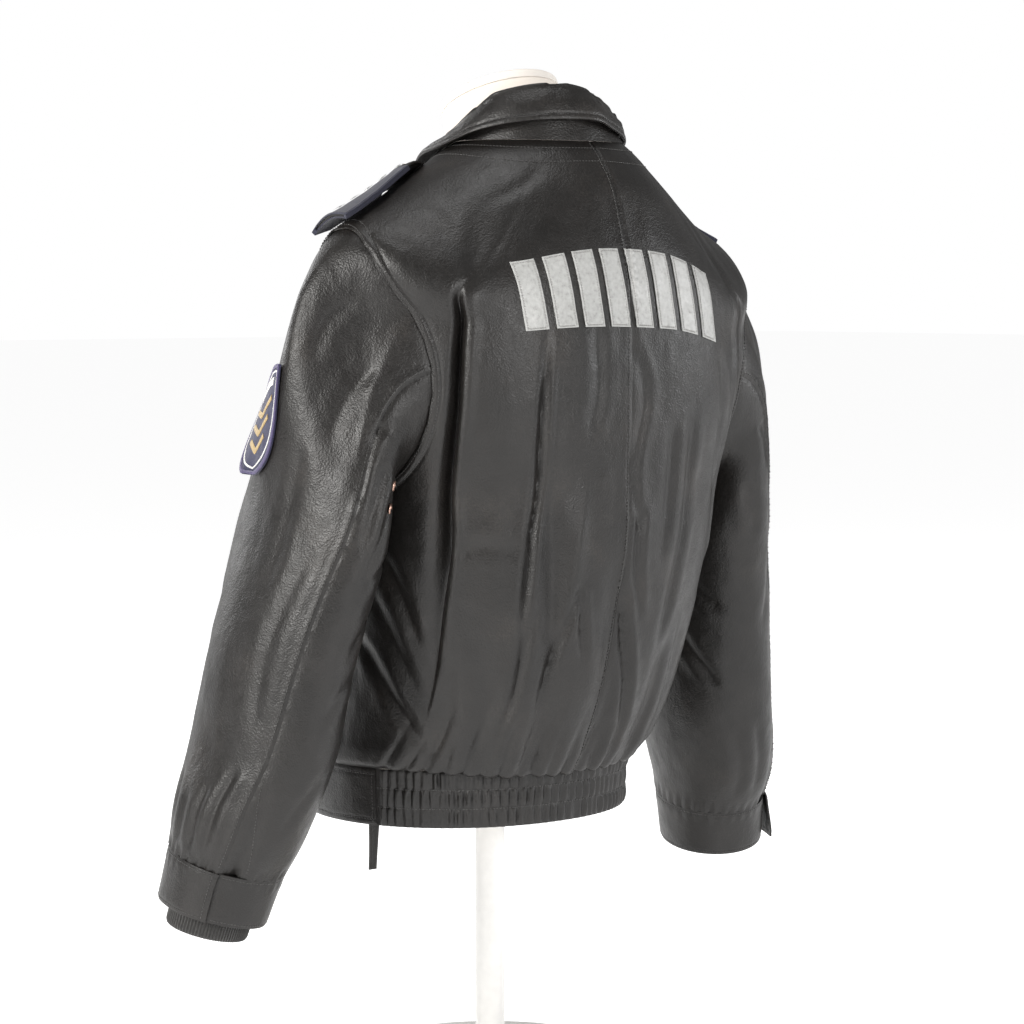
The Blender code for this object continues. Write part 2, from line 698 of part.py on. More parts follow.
def make_cuffs(collection, leather, knit):
    """Leather cuffs with an overlapped end, and the knitted cuffs inside them."""
    share = np.linspace(0.0, 1.0, 29)
    rear = float(table(SEAM_ANGLE_COLUMNS, SEAM_ANGLE_ROWS, "v", "rear", SLEEVE_END))
    turns = rear - (360.0 + CUFF_OVERLAP) * share
    heights = np.array([SLEEVE_END, 0.5 * (SLEEVE_END + CUFF_END), CUFF_END])
    grid_turn, grid_v = np.meshgrid(turns, heights)
    base = sleeve_ring(grid_turn, grid_v)
    normals = sleeve_normal_of(sleeve_ring, grid_turn, grid_v)
    lift = CUFF_LIFT * (1 - ramp(share, 0.05, 0.16))
    flare = OPEN_CUFF_FLARE * np.clip(1 - share / 0.10, 0.0, 1.0) ** 2
    for side, flared in (("left", 0.0), ("right", 1.0)):
        spread = flared * flare[None, :] * np.linspace(0.25, 1.0, len(heights))[:, None]
        outer = base + normals * (lift[None, :] + spread)[..., None]
        shifted_edge(outer, normals, "first_row", SEAM_GAP / 2)
        inner = outer - normals * CUFF_LEATHER
        if side == "right":
            outer = mirrored(outer)
            inner = mirrored(inner)
        wall("cuff_" + side, outer, inner, leather, collection)
    turns = np.linspace(0.0, 360.0, 24, endpoint=False)
    steps = (KNIT_TOP, KNIT_TOP + 0.03, CUFF_END)
    rows = []
    for v in steps:
        share_down = float(ramp(v, KNIT_TOP, CUFF_END - 0.02))
        ring = sleeve_ring(turns, np.full_like(turns, v))
        middle = ring.mean(axis=0)
        out = unit(ring - middle)
        wide = np.linalg.norm(ring - middle, axis=-1) - KNIT_INSET
        size = wide * (1 - share_down) + KNIT_NECK * share_down
        rows.append(middle + out * size[:, None])
    last_middle = rows[-1].mean(axis=0)
    run = unit(last_middle - rows[-2].mean(axis=0))
    out = unit(rows[-1] - last_middle)
    for side, drop in (("left", KNIT_DROP_LEFT), ("right", KNIT_DROP_RIGHT)):
        outer = np.stack(rows + [last_middle + run * drop + out * KNIT_END])
        middles = outer.mean(axis=1, keepdims=True)
        inner = outer - unit(outer - middles) * KNIT_WALL
        if side == "right":
            outer = mirrored(outer)
            inner = mirrored(inner)
        wall("knit_cuff_" + side, outer, inner, knit, collection, True)


def band_point(angle, down, raised):
    """Point of the waistband, down is 0 at the seam and 1 at the hem."""
    top = torso_base(angle, np.zeros_like(angle))
    middle_x = TORSO_ROWS[0][TORSO_COLUMNS.index("middle_x")]
    middle_y = TORSO_ROWS[0][TORSO_COLUMNS.index("middle_y")]
    out = top - np.array([middle_x, middle_y, TORSO_ROWS[0][1]])
    out[..., 2] = 0.0
    out = unit(out)
    point = top + out * (raised - BAND_TAPER * down)[..., None]
    point[..., 2] = BAND_TOP - BAND_HEIGHT * down
    return point, out


def make_waistband(collection, leather):
    """Gathered elastic back of the waistband and its plain front parts."""
    per_wave = 3
    angles = np.linspace(ELASTIC_START, ELASTIC_END, GATHERS * per_wave + 1)
    wave = np.where(np.arange(len(angles)) % per_wave == 1, 1.0, 0.0)
    downs = np.linspace(0.0, 1.0, 2 * CHANNELS + 1)
    high = np.array([0.25 if step % 2 == 0 else 1.0 for step in range(len(downs))])
    high[0] = 0.0
    grid_angle, grid_down = np.meshgrid(angles, downs)
    raised = GATHER_DEPTH * high[:, None] * wave[None, :]
    outer, out = band_point(grid_angle, grid_down, raised)
    plain, _ = band_point(grid_angle, grid_down, np.zeros_like(grid_down))
    inner = plain[[0, -1]] - out[[0, -1]] * LEATHER
    rows, columns = outer.shape[:2]
    shift = outer[:, 1] - outer[:, 0]
    outer[:, 0] = outer[:, 0] + unit(shift) * SEAM_GAP / 2
    outer[:, -1] = outer[:, -1] - unit(outer[:, -1] - outer[:, -2]) * SEAM_GAP / 2
    for row, source in ((0, 0), (1, -1)):
        inner[row, 0] = outer[source, 0] - out[source, 0] * LEATHER
        inner[row, -1] = outer[source, -1] - out[source, -1] * LEATHER
    count = rows * columns
    points = np.concatenate([outer.reshape(-1, 3), inner.reshape(-1, 3)])
    faces = []
    for row in range(rows - 1):
        for place in range(columns - 1):
            a = row * columns + place
            faces.append((a, a + 1, a + columns + 1, a + columns))
    for place in range(columns - 1):
        top = count + place
        low = count + columns + place
        faces.append((low, low + 1, top + 1, top))
        faces.append((place, top, top + 1, place + 1))
        last = (rows - 1) * columns + place
        faces.append((last, last + 1, low + 1, low))
    for place in (0, columns - 1):
        side = [row * columns + place for row in range(rows)]
        faces.append(tuple(side + [count + columns + place, count + place]))
    body_from("waistband_back", points, faces, leather, collection)
    limits = {
        "left": (front_columns(0.0)[0], ELASTIC_START),
        "right": (ELASTIC_END, 180.0 - front_columns(0.0)[0]),
    }
    for side, (start, end) in limits.items():
        angles = np.linspace(start, end, 19)
        grid_angle, grid_down = np.meshgrid(angles, np.array([0.0, 0.5, 1.0]))
        outer, out = band_point(grid_angle, grid_down, np.zeros_like(grid_down))
        joint = -1 if side == "left" else 0
        beside = -2 if side == "left" else 1
        outer[:, joint] = outer[:, joint] + unit(outer[:, beside] - outer[:, joint]) * SEAM_GAP / 2
        wall("waistband_" + side, outer, outer - out * LEATHER, leather, collection)


def collar_value(name, angle):
    """Collar size in one direction round the neck."""
    return table(COLLAR_COLUMNS, COLLAR_ROWS, "angle", name, angle)


def collar_section(angle):
    """Points across the collar: up the stand, over the fold and down the fall."""
    seam = torso(angle, np.ones_like(angle))
    centre = np.array([0.0, COLLAR_MIDDLE_Y, 0.0])
    flat = seam - centre
    seam_r = np.linalg.norm(flat[..., :2], axis=-1) - LEATHER
    radial = unit(np.stack([flat[..., 0], flat[..., 1], 0 * angle], axis=-1))
    seam_z = seam[..., 2] + 2 * SEAM_GAP
    fold_r = collar_value("fold_r", angle)
    fold_z = collar_value("fold_z", angle)
    edge_r = collar_value("edge_r", angle)
    edge_z = collar_value("edge_z", angle)
    inner_r = fold_r - 0.0034
    high = fold_z - 0.0045
    pairs = (
        (seam_r, seam_z),
        (seam_r + 0.5 * (inner_r - seam_r) - 0.0006, seam_z + 0.5 * (high - seam_z)),
        (inner_r, high),
        (inner_r + 0.0014, fold_z - 0.0010),
        (fold_r, fold_z),
        (fold_r + 0.0022, fold_z - 0.0010),
        (fold_r + 0.0040, fold_z - 0.0050),
        (fold_r + 0.55 * (edge_r - fold_r) + 0.0030, edge_z + 0.48 * (fold_z - edge_z)),
        (edge_r, edge_z),
    )
    r = np.stack([pair[0] for pair in pairs])
    z = np.stack([pair[1] for pair in pairs])
    run_r = np.gradient(r, axis=0)
    run_z = np.gradient(z, axis=0)
    length = np.sqrt(run_r ** 2 + run_z ** 2)
    side_r = run_z / length
    side_z = -run_r / length
    side_r[0] = 1.0
    side_z[0] = 0.0

    def place(radius, height):
        point = centre + radial[None, :, :] * radius[..., None]
        point[..., 2] = height
        return point
    return place(r, z), place(r + side_r * COLLAR_LEATHER, z + side_z * COLLAR_LEATHER)


def make_collar(collection, leather):
    """Turned-down collar round the neck seam."""
    back = back_columns(1.0)
    front = front_columns(1.0)
    left = np.concatenate([[-90.0 + COLLAR_FRONT_GAP], front[1:-1], back[::-1]])
    right = 180.0 - left[::-1][1:]
    angles = np.concatenate([left, right])
    keep = [0]
    for place in range(1, len(angles)):
        if angles[place] - angles[keep[-1]] > 6.5 or place == len(angles) - 1:
            keep.append(place)
    outer, inner = collar_section(angles[keep])
    wall("collar", outer, inner, leather, collection)


def front_line(t):
    """Middle line of the closed front, waistband included for t below 0."""
    low = np.clip(-t, 0.0, None)
    point = torso(np.full_like(t, -90.0), np.maximum(t, 0.0))
    point[..., 1] = point[..., 1] + np.where(t < 0, BAND_TAPER * low / 0.1, 0.0)
    point[..., 2] = point[..., 2] - np.where(t < 0, BAND_HEIGHT * low / 0.1, 0.0)
    return point


def front_frame(t):
    """Middle line with its outward direction."""
    point = front_line(t)
    run = front_line(np.minimum(t + 0.004, 1.0)) - front_line(t - 0.004)
    out = np.cross(run, np.array([1.0, 0.0, 0.0]))
    out = unit(out)
    out = out * np.where(out[..., 1:2] > 0, -1.0, 1.0)
    return point, out


def make_zip(collection, chain_material, metal):
    """Zip chain down the middle of the front with its slider and pull tab."""
    t = np.concatenate([[-0.1, -0.05], panel_heights()[:-1], [0.995]])
    point, out = front_frame(t)
    sides = np.array([-1.0, 0.0, 1.0])
    across = np.array([1.0, 0.0, 0.0])
    outer = point[:, None, :] + sides[None, :, None] * CHAIN_HALF_WIDTH * across
    outer = outer + out[:, None, :] * np.array([-0.0004, 0.0004, -0.0004])[None, :, None]
    inner = outer - out[:, None, :] * CHAIN_WALL
    wall("zip_chain", outer, inner, chain_material, collection)
    point, out = front_frame(np.array([SLIDER_T]))
    place = point[0]
    normal = out[0]
    up = unit(np.cross(normal, across))
    up = up * np.sign(up[2])
    slider_plate(collection, metal, place, normal, up)
    pull_tab(collection, metal, place, normal, up)


def slider_plate(collection, metal, place, normal, up):
    """Slider body on the chain with the bridge that holds the pull tab."""
    across = np.array([1.0, 0.0, 0.0])
    lift = 0.0007
    plate = 0.0016
    outline = ((-0.0036, -0.0060), (0.0036, -0.0060), (0.0050, 0.0010), (0.0050, 0.0052),
               (0.0016, 0.0060), (-0.0016, 0.0060), (-0.0050, 0.0052), (-0.0050, 0.0010))
    low = [place + normal * lift + across * x + up * z for x, z in outline]
    high = [place + normal * (lift + plate) + across * x + up * z for x, z in outline]
    count = len(outline)
    faces = [tuple(range(count))[::-1], tuple(range(count, 2 * count))]
    for step in range(count):
        nxt = (step + 1) % count
        faces.append((step, nxt, count + nxt, count + step))
    body_from("zip_slider", np.array(low + high), faces, metal, collection)
    foot = lift + plate
    arch = ((0.0042, foot), (0.0042, foot + 0.0028), (0.0020, foot + 0.0039),
            (-0.0020, foot + 0.0039), (-0.0042, foot + 0.0028), (-0.0042, foot))
    inside = ((0.0029, foot), (0.0029, foot + 0.0021), (0.0014, foot + 0.0028),
              (-0.0014, foot + 0.0028), (-0.0029, foot + 0.0021), (-0.0029, foot))
    points = []
    for x in (-0.0011, 0.0011):
        points = points + [place + across * x + up * z + normal * n for z, n in arch]
        points = points + [place + across * x + up * z + normal * n for z, n in inside]
    faces = []
    for step in range(5):
        faces.append((step, step + 1, 7 + step, 6 + step))
        faces.append((12 + step, 18 + step, 19 + step, 13 + step))
        faces.append((step, 12 + step, 13 + step, step + 1))
        faces.append((6 + step, 7 + step, 19 + step, 18 + step))
    faces.append((0, 6, 18, 12))
    faces.append((5, 17, 23, 11))
    bridge = body_from("bridge_tool", np.array(points), faces, metal, collection)
    slider = bpy.data.objects["zip_slider"]
    join = slider.modifiers.new("bridge", "BOOLEAN")
    join.operation = "UNION"
    join.solver = "EXACT"
    join.object = bridge
    view = bpy.context.evaluated_depsgraph_get()
    joined = bpy.data.meshes.new_from_object(slider.evaluated_get(view))
    slider.modifiers.clear()
    slider.data = joined
    bpy.data.objects.remove(bridge)


def pull_tab(collection, metal, place, normal, up):
    """Flat tab that hangs from the slider's bridge and swings about X."""
    hinge = place + normal * HINGE_OUT + up * HINGE_UP
    across = np.array([1.0, 0.0, 0.0])
    hole = 0.0021
    outline = ((-0.0034, 0.0007), (0.0034, 0.0007), (0.0034, -0.0082),
               (0.5 * PULL_WIDTH, -0.0120), (0.5 * PULL_WIDTH, -PULL_LENGTH + 0.002),
               (0.3 * PULL_WIDTH, -PULL_LENGTH), (-0.3 * PULL_WIDTH, -PULL_LENGTH),
               (-0.5 * PULL_WIDTH, -PULL_LENGTH + 0.002), (-0.5 * PULL_WIDTH, -0.0120),
               (-0.0034, -0.0082))
    window = ((-hole, -0.0007), (hole, -0.0007), (hole, -0.0074), (-hole, -0.0074))
    half = PULL_WALL / 2
    work = bmesh.new()
    layers = []
    for depth in (-half, half):
        ring = [work.verts.new(tuple(across * x + up * z + normal * depth)) for x, z in outline]
        gap = [work.verts.new(tuple(across * x + up * z + normal * depth)) for x, z in window]
        layers.append((ring, gap))
    for ring_of in range(2):
        first = layers[0][ring_of]
        second = layers[1][ring_of]
        for step in range(len(first)):
            nxt = (step + 1) % len(first)
            work.faces.new((first[step], first[nxt], second[nxt], second[step]))
    for ring, gap in layers:
        work.faces.new((ring[0], ring[1], gap[1], gap[0]))
        work.faces.new((ring[1], ring[2], gap[2], gap[1]))
        work.faces.new((ring[2], ring[9], gap[3], gap[2]))
        work.faces.new((ring[9], ring[0], gap[0], gap[3]))
        work.faces.new((ring[2], ring[3], ring[8], ring[9]))
        work.faces.new((ring[3], ring[4], ring[7], ring[8]))
        work.faces.new((ring[4], ring[5], ring[6], ring[7]))
    bmesh.ops.recalc_face_normals(work, faces=work.faces)
    mesh = bpy.data.meshes.new("zip_pull")
    work.to_mesh(mesh)
    work.free()
    obj = bpy.data.objects.new("zip_pull", mesh)
    obj.location = tuple(hinge + np.array([0.0, SHOULDER_BACK, SHOULDER_HEIGHT]))
    finish_object(obj, metal, collection)


def shoulder_height(x, y):
    """Height of the shoulder surface under a point, found by halving."""
    x = np.asarray(x, dtype=float)
    y = np.asarray(y, dtype=float)
    low = np.full(x.shape, 0.80)
    high = np.full(x.shape, 1.0)
    for _ in range(30):
        t = 0.5 * (low + high)
        depth = np.where(y >= table(TORSO_COLUMNS, TORSO_ROWS, "t", "middle_y", t),
                         table(TORSO_COLUMNS, TORSO_ROWS, "t", "back_depth", t),
                         table(TORSO_COLUMNS, TORSO_ROWS, "t", "front_depth", t))
        power = table(TORSO_COLUMNS, TORSO_ROWS, "t", "squareness", t) / 2
        rise = (y - table(TORSO_COLUMNS, TORSO_ROWS, "t", "middle_y", t)) / depth
        s = np.sign(rise) * np.abs(rise) ** power
        angle = np.degrees(np.arcsin(np.clip(s, -1, 1)))
        point = torso_base(angle, t)
        wider = point[..., 0] > x
        low = np.where(wider, t, low)
        high = np.where(wider, high, t)
    return point[..., 2]


def strap_line(x, y):
    """Resting height of the epaulette, straight beyond the armhole seam."""
    edge = 0.222
    inside = shoulder_height(np.minimum(x, edge), y)
    return inside - 0.46 * np.clip(x - edge, 0.0, None)


def epaulette_point(x, across, high):
    """Point of the epaulette's underside, metres across from its middle line."""
    share = (x - STRAP_INNER_X) / (STRAP_OUTER_X - STRAP_INNER_X)
    middle = STRAP_INNER_Y + share * (STRAP_OUTER_Y - STRAP_INNER_Y)
    y = middle + across
    rise = ramp(x, STRAP_INNER_X + 0.003, STRAP_INNER_X + 0.003 + STRAP_RISE)
    lift = STRAP_END_LIFT + (high - STRAP_END_LIFT) * rise
    return np.stack([x, y, strap_line(x, y) + lift], axis=-1)


def epaulette_normal(x, across, high):
    """Upward normal of the epaulette."""
    step = 0.003
    along = epaulette_point(x + step, across, high) - epaulette_point(x - step, across, high)
    side = epaulette_point(x, across + step, high) - epaulette_point(x, across - step, high)
    return unit(np.cross(along, side))


def make_epaulettes(collection, materials):
    """Shoulder straps, rank slides round them, stars and buttons."""
    slide = np.linspace(SLIDE_OUTER_X, SLIDE_INNER_X, 7)
    bend = np.linspace(SLIDE_INNER_X, STRAP_INNER_X, 6)
    along = np.concatenate([[STRAP_OUTER_X], slide[1:], bend[1:]])
    ends = np.clip((along - STRAP_INNER_X) / 0.016, 0.0, 1.0)
    half = STRAP_HALF_WIDTH * np.sqrt(1 - (1 - ends) ** 2 * 0.86)
    sides = np.linspace(-1.0, 1.0, 5)
    grid_x = np.repeat(along[:, None], len(sides), axis=1)
    grid_side = half[:, None] * sides[None, :]
    across = np.array([-1.0, -0.5, 0.0, 0.5, 1.0])
    shells = (
        (SLIDE_HALF_WIDTH, -SLIDE_GAP - SLIDE_WALL, STRAP_WALL + SLIDE_GAP + SLIDE_WALL),
        (STRAP_HALF_WIDTH + SLIDE_GAP, -SLIDE_GAP, STRAP_WALL + SLIDE_GAP),
    )
    for side, flip in (("left", 1.0), ("right", -1.0)):
        mirror = np.array([flip, 1.0, 1.0])
        raised = STRAP_LIFTS[side]
        under = epaulette_point(grid_x, grid_side, raised)
        top = under + epaulette_normal(grid_x, grid_side, raised) * STRAP_WALL
        wall("epaulette_strap_" + side, top * mirror, under * mirror, materials["leather"], collection)
        loops = []
        for reach, low, high in shells:
            rows = []
            for x in slide:
                line = np.full(len(across), x)
                base = epaulette_point(line, across * reach, raised)
                up = epaulette_normal(line, across * reach, raised)
                rows.append(np.concatenate([base + up * high, (base + up * low)[::-1]]))
            loops.append(np.stack(rows) * mirror)
        wall("rank_slide_" + side, loops[0], loops[1], materials["navy"], collection, True)
        for number in range(STARS):
            share = (number + 0.75) / (STARS + 0.35)
            x = SLIDE_OUTER_X + share * (SLIDE_INNER_X - SLIDE_OUTER_X)
            star("star_%s_%d" % (side, number + 1), x, raised, mirror, materials["silver"], collection)
        place = epaulette_point(np.array(BUTTON_X), np.array(0.0), raised)
        up = epaulette_normal(np.array(BUTTON_X), np.array(0.0), raised)
        base = place + up * (STRAP_WALL + SEAM_GAP)
        profile = ((BUTTON_RADIUS * 0.86, 0.0), (BUTTON_RADIUS, 0.0009),
                   (BUTTON_RADIUS * 0.9, 0.0021), (BUTTON_RADIUS * 0.55, 0.0033))
        turned("epaulette_button_" + side, base * mirror, up * mirror, profile, 14, None,
               materials["silver"], collection)


def star(name, x, raised, mirror, material, collection):
    """Flat five-pointed star on a rank slide."""
    middle = epaulette_point(np.array(x), np.array(0.0), raised)
    up = epaulette_normal(np.array(x), np.array(0.0), raised)
    high = STRAP_WALL + SLIDE_GAP + SLIDE_WALL + SEAM_GAP
    run = unit(epaulette_point(np.array(x - 0.004), np.array(0.0), raised) - middle)
    side = unit(np.cross(up, run))
    run = np.cross(side, up)
    rim = []
    for step in range(10):
        turn = math.pi * step / 5
        radius = STAR_RADIUS if step % 2 == 0 else STAR_RADIUS * 0.46
        rim.append(run * math.cos(turn) * radius + side * math.sin(turn) * radius)
    centre_low = middle + up * (high + 0.0004)
    low = [centre_low + p for p in rim]
    top = [centre_low + p + up * STAR_WALL * 0.4 for p in rim]
    points = np.array(low + top + [centre_low + up * STAR_WALL]) * mirror
    faces = [tuple(range(10))]
    for step in range(10):
        nxt = (step + 1) % 10
        faces.append((step, nxt, 10 + nxt, 10 + step))
        faces.append((10 + step, 10 + nxt, 20))
    body_from(name, points, faces, material, collection)


def turned(name, base, axis, profile, steps, hole, material, collection):
    """Round trim turned about an axis, with or without a hole."""
    axis = unit(np.asarray(axis))
    side = unit(np.cross(axis, np.array([0.0, 0.0, 1.0]) if abs(axis[2]) < 0.9 else np.array([1.0, 0.0, 0.0])))
    other = np.cross(axis, side)
    rows = []
    for radius, height in profile:
        turn = 2 * math.pi * np.arange(steps) / steps
        ring = np.cos(turn)[:, None] * side + np.sin(turn)[:, None] * other
        rows.append(base + ring * radius + axis * height)
    points = np.concatenate(rows)
    faces = []
    count = len(profile)
    for row in range(count if hole else count - 1):
        after = (row + 1) % count
        for step in range(steps):
            nxt = (step + 1) % steps
            faces.append((row * steps + step, row * steps + nxt, after * steps + nxt, after * steps + step))
    if not hole:
        faces.append(tuple(range(steps))[::-1])
        faces.append(tuple(range((count - 1) * steps, count * steps)))
    body_from(name, points, faces, material, collection)


def angle_at_x(x, t):
    """Angle on the back where the torso surface has this sideways place."""
    wide = table(TORSO_COLUMNS, TORSO_ROWS, "t", "half_width", t)
    power = table(TORSO_COLUMNS, TORSO_ROWS, "t", "squareness", t) / 2
    middle = table(TORSO_COLUMNS, TORSO_ROWS, "t", "middle_x", t)
    c = np.sign(x - middle) * (np.abs(x - middle) / wide) ** power
    return np.degrees(np.arccos(np.clip(c, -1, 1)))


def make_bars(collection, material):
    """Plain slanted reflective bars across the shoulder blades."""
    pitch = (BARS_LEFT_X - BARS_RIGHT_X) / BARS
    across = np.linspace(0.0, 1.0, 4)
    up = np.linspace(0.0, 1.0, 4)
    grid_across, grid_up = np.meshgrid(across, up)
    for number in range(BARS):
        start = BARS_RIGHT_X + pitch * (number + 0.5 * (1 - BAR_SHARE))
        lean = BAR_LEAN_X * (grid_up - 0.5)
        x = start + pitch * BAR_SHARE * grid_across + lean
        t = BAR_LOW_T + (BAR_TOP_T - BAR_LOW_T) * grid_up + BAR_RISE * x
        angle = angle_at_x(x, t)
        face = torso(angle, t)
        out = torso_normal(angle, t)
        inner = face + out * BAR_LIFT
        outer = face + out * (BAR_LIFT + BAR_WALL)
        wall("reflective_bar_%d" % (number + 1), outer, inner, material, collection)


def make_patch(collection, material):
    """Shield-shaped cloth patch on the upper left sleeve."""
    rows = np.linspace(0.0, 1.0, 9)
    sides = np.linspace(-1.0, 1.0, 11)
    low = np.clip(rows - 0.35, 0.0, None) / 0.655
    shape = np.sqrt(np.clip(1 - low ** 2.2, 0.0, 1.0))
    shape = shape - 0.10 * np.clip(1 - rows / 0.35, 0.0, None) ** 2
    shape = np.maximum(shape, 0.10)
    turn = np.full(rows.shape, PATCH_ANGLE)
    v = np.full(rows.shape, PATCH_TOP_V)
    step = sleeve(turn[:1], v[:1] + 0.02) - sleeve(turn[:1], v[:1] - 0.02)
    per_v = np.linalg.norm(step) / 0.04
    v = PATCH_TOP_V + rows * PATCH_HEIGHT / per_v
    widths = sleeve(turn + 5, v) - sleeve(turn - 5, v)
    per_turn = np.linalg.norm(widths, axis=-1) / 10.0
    turns = PATCH_ANGLE + sides[None, :] * (PATCH_HALF_WIDTH * shape / per_turn)[:, None]
    heights = np.repeat(v[:, None], len(sides), axis=1)
    face = sleeve(turns, heights)
    out = sleeve_normal_of(sleeve, turns, heights)
    curl = PATCH_CURL * ramp(-sides, -0.2, 1.0)[None, :, None]
    under = face + out * (PATCH_LIFT + curl)
    wall("sleeve_patch", under + out * PATCH_WALL, under, material, collection)


def make_eyelets(collection, metal):
    """Two round vent eyelets under each arm."""
    for place in named(EYELET_COLUMNS, EYELET_ROWS):
        side = place["side"]
        low = place["low"]
        high = low + EYELET_HEIGHT
        base = sleeve(np.array(place["turn"]), np.array(place["v"]))
        out = sleeve_normal_of(sleeve, np.array(place["turn"]), np.array(place["v"]))
        profile = ((EYELET_HOLE, low), (EYELET_RADIUS, low),
                   (EYELET_RADIUS * 0.86, high), (EYELET_HOLE * 1.25, high))
        mirror = np.array([1.0 if side == "left" else -1.0, 1.0, 1.0])
        turned("eyelet_%s_%d" % (side, place["number"]), base * mirror, out * mirror,
               profile, 10, True, metal, collection)


def make_front_strap(collection, leather):
    """Strap end hanging from inside the front of the waistband."""
    z = np.linspace(STRAP_END_TOP, STRAP_END_LOW, 6)
    share = np.linspace(0.0, 1.0, 6)
    half = 0.5 * (STRAP_END_WIDTH + (STRAP_END_TIP - STRAP_END_WIDTH) * ramp(share, 0.1, 1.0))
    front = torso_base(np.array(-90.0), np.array(0.0))[1] + BAND_TAPER + LEATHER + 0.0011
    sides = np.array([-1.0, 0.0, 1.0])
    grid = np.zeros((6, 3, 3))
    grid[..., 0] = STRAP_END_X + 0.004 * share[:, None] ** 2 + half[:, None] * sides[None, :]
    grid[..., 1] = front + 0.002 * share[:, None]
    grid[..., 2] = z[:, None]
    back = grid + np.array([0.0, 0.0022, 0.0])
    wall("front_strap_end", grid, back, leather, collection)


def make_form(collection, cream, wood_cap, pole_material, base_material):
    """Limbless dress form, its neck cap, pole and round base."""
    steps = 24
    angles = np.linspace(0.0, 360.0, steps, endpoint=False)
    signed = np.where(angles > 180.0, angles - 360.0, angles)
    rows = []
    for section in named(FORM_COLUMNS, FORM_ROWS):
        height = np.full(steps, section["t"])
        base = torso_base(signed, height)
        out = torso_base_normal(signed, height)
        out[:, 2] = out[:, 2] * (1 - section["upright"])
        deeper = FORM_FRONT_EXTRA * np.clip(-np.sin(np.radians(signed)) * 3, 0.0, 1.0)
        deeper = deeper + FORM_SIDE_EXTRA * np.clip(np.abs(np.sin(np.radians(signed))) * 3, 0.0, 1.0)
        rows.append(base - unit(out) * (section["inset"] + deeper)[:, None])
    middle = rows[0].mean(axis=0)
    bottom = middle + (rows[0] - middle) * 0.93
    bottom[:, 2] = FORM_LOW
    rows.insert(0, bottom)
    tilt = math.radians(NECK_TILT)
    axis = np.array([0.0, -math.sin(tilt), math.cos(tilt)])
    side = np.array([1.0, 0.0, 0.0])
    rear = np.cross(axis, side)
    turn = np.radians(signed)
    ring = np.cos(turn)[:, None] * side + np.sin(turn)[:, None] * rear
    top_middle = np.array([NECK_TOP_X, NECK_TOP_Y, NECK_TOP_Z])
    neck_top = top_middle + ring * NECK_RADIUS
    base_ring = rows[-1]
    for share in (0.22, 0.5, 0.78):
        ease = share ** 0.75
        rows.append(base_ring + (neck_top - base_ring) * np.array([ease, ease, share]))
    rows.append(neck_top)
    points = np.concatenate(rows)
    faces = []
    for row in range(len(rows) - 1):
        for step in range(steps):
            nxt = (step + 1) % steps
            a = row * steps
            faces.append((a + step, a + nxt, a + steps + nxt, a + steps + step))
    faces.append(tuple(range(steps))[::-1])
    faces.append(tuple(range((len(rows) - 1) * steps, len(rows) * steps)))
    body_from("form_torso", points, faces, cream, collection)
    profile = ((NECK_RADIUS, 0.0), (NECK_RADIUS, NECK_CAP * 0.75), (NECK_RADIUS * 0.93, NECK_CAP))
    turned("form_neck_cap", top_middle + axis * 0.0004, axis, profile, 24, None, wood_cap, collection)
    foot = -SHOULDER_HEIGHT
    pole_y = -SHOULDER_BACK
    low = rows[0][:, 2].min()
    profile = ((POLE_RADIUS, foot + BASE_HEIGHT + 0.0003), (POLE_RADIUS, low - 0.0004))
    turned("form_pole", np.array([0.0, pole_y, 0.0]), np.array([0.0, 0.0, 1.0]), profile, 20, None,
           pole_material, collection)
    profile = ((BASE_RADIUS, foot), (BASE_RADIUS, foot + BASE_HEIGHT * 0.6),
               (BASE_RADIUS * 0.97, foot + BASE_HEIGHT))
    turned("form_base", np.array([0.0, pole_y, 0.0]), np.array([0.0, 0.0, 1.0]), profile, 32, None,
           base_material, collection)


def plain_material(name, colour, roughness, metallic):
    """Plain Principled material."""
    material = bpy.data.materials.new(name)
    material.use_nodes = True
    shader = material.node_tree.nodes["Principled BSDF"]
    shader.inputs["Base Color"].default_value = (colour[0], colour[1], colour[2], 1.0)
    shader.inputs["Roughness"].default_value = roughness
    shader.inputs["Metallic"].default_value = metallic
    return material


def main():
    """Clears the scene and builds the jacket on its form."""
    for obj in list(bpy.data.objects):
        bpy.data.objects.remove(obj)
    collection = bpy.data.collections.new("police_uniform_jacket")
    bpy.context.scene.collection.children.link(collection)
    leather = plain_material("black_leather", (0.022, 0.020, 0.018), 0.38, 0.0)
    knit = plain_material("black_knit", (0.020, 0.019, 0.018), 0.90, 0.0)
    navy = plain_material("navy_cloth", (0.012, 0.012, 0.030), 0.85, 0.0)
    patch = plain_material("patch_cloth", (0.020, 0.018, 0.050), 0.80, 0.0)
    silver = plain_material("silver_metal", (0.75, 0.75, 0.74), 0.25, 1.0)
    copper = plain_material("copper_metal", (0.45, 0.26, 0.17), 0.35, 1.0)
    reflective = plain_material("reflective_film", (0.50, 0.51, 0.52), 0.45, 0.0)
    zip_black = plain_material("zip_chain_black", (0.030, 0.030, 0.030), 0.50, 0.0)
    cream = plain_material("form_cream", (0.80, 0.74, 0.66), 0.85, 0.0)
    cap = plain_material("form_cap_cream", (0.82, 0.77, 0.70), 0.60, 0.0)
    pole = plain_material("stand_white", (0.80, 0.79, 0.77), 0.45, 0.0)
    make_body(collection, leather)
    make_sleeves(collection, leather)
    make_cuffs(collection, leather, knit)
    make_waistband(collection, leather)
    make_collar(collection, leather)
    make_zip(collection, zip_black, silver)
    make_epaulettes(collection, {"leather": leather, "navy": navy, "silver": silver})
    make_bars(collection, reflective)
    make_patch(collection, patch)
    make_eyelets(collection, copper)
    make_front_strap(collection, leather)
    make_form(collection, cream, cap, pole, pole)


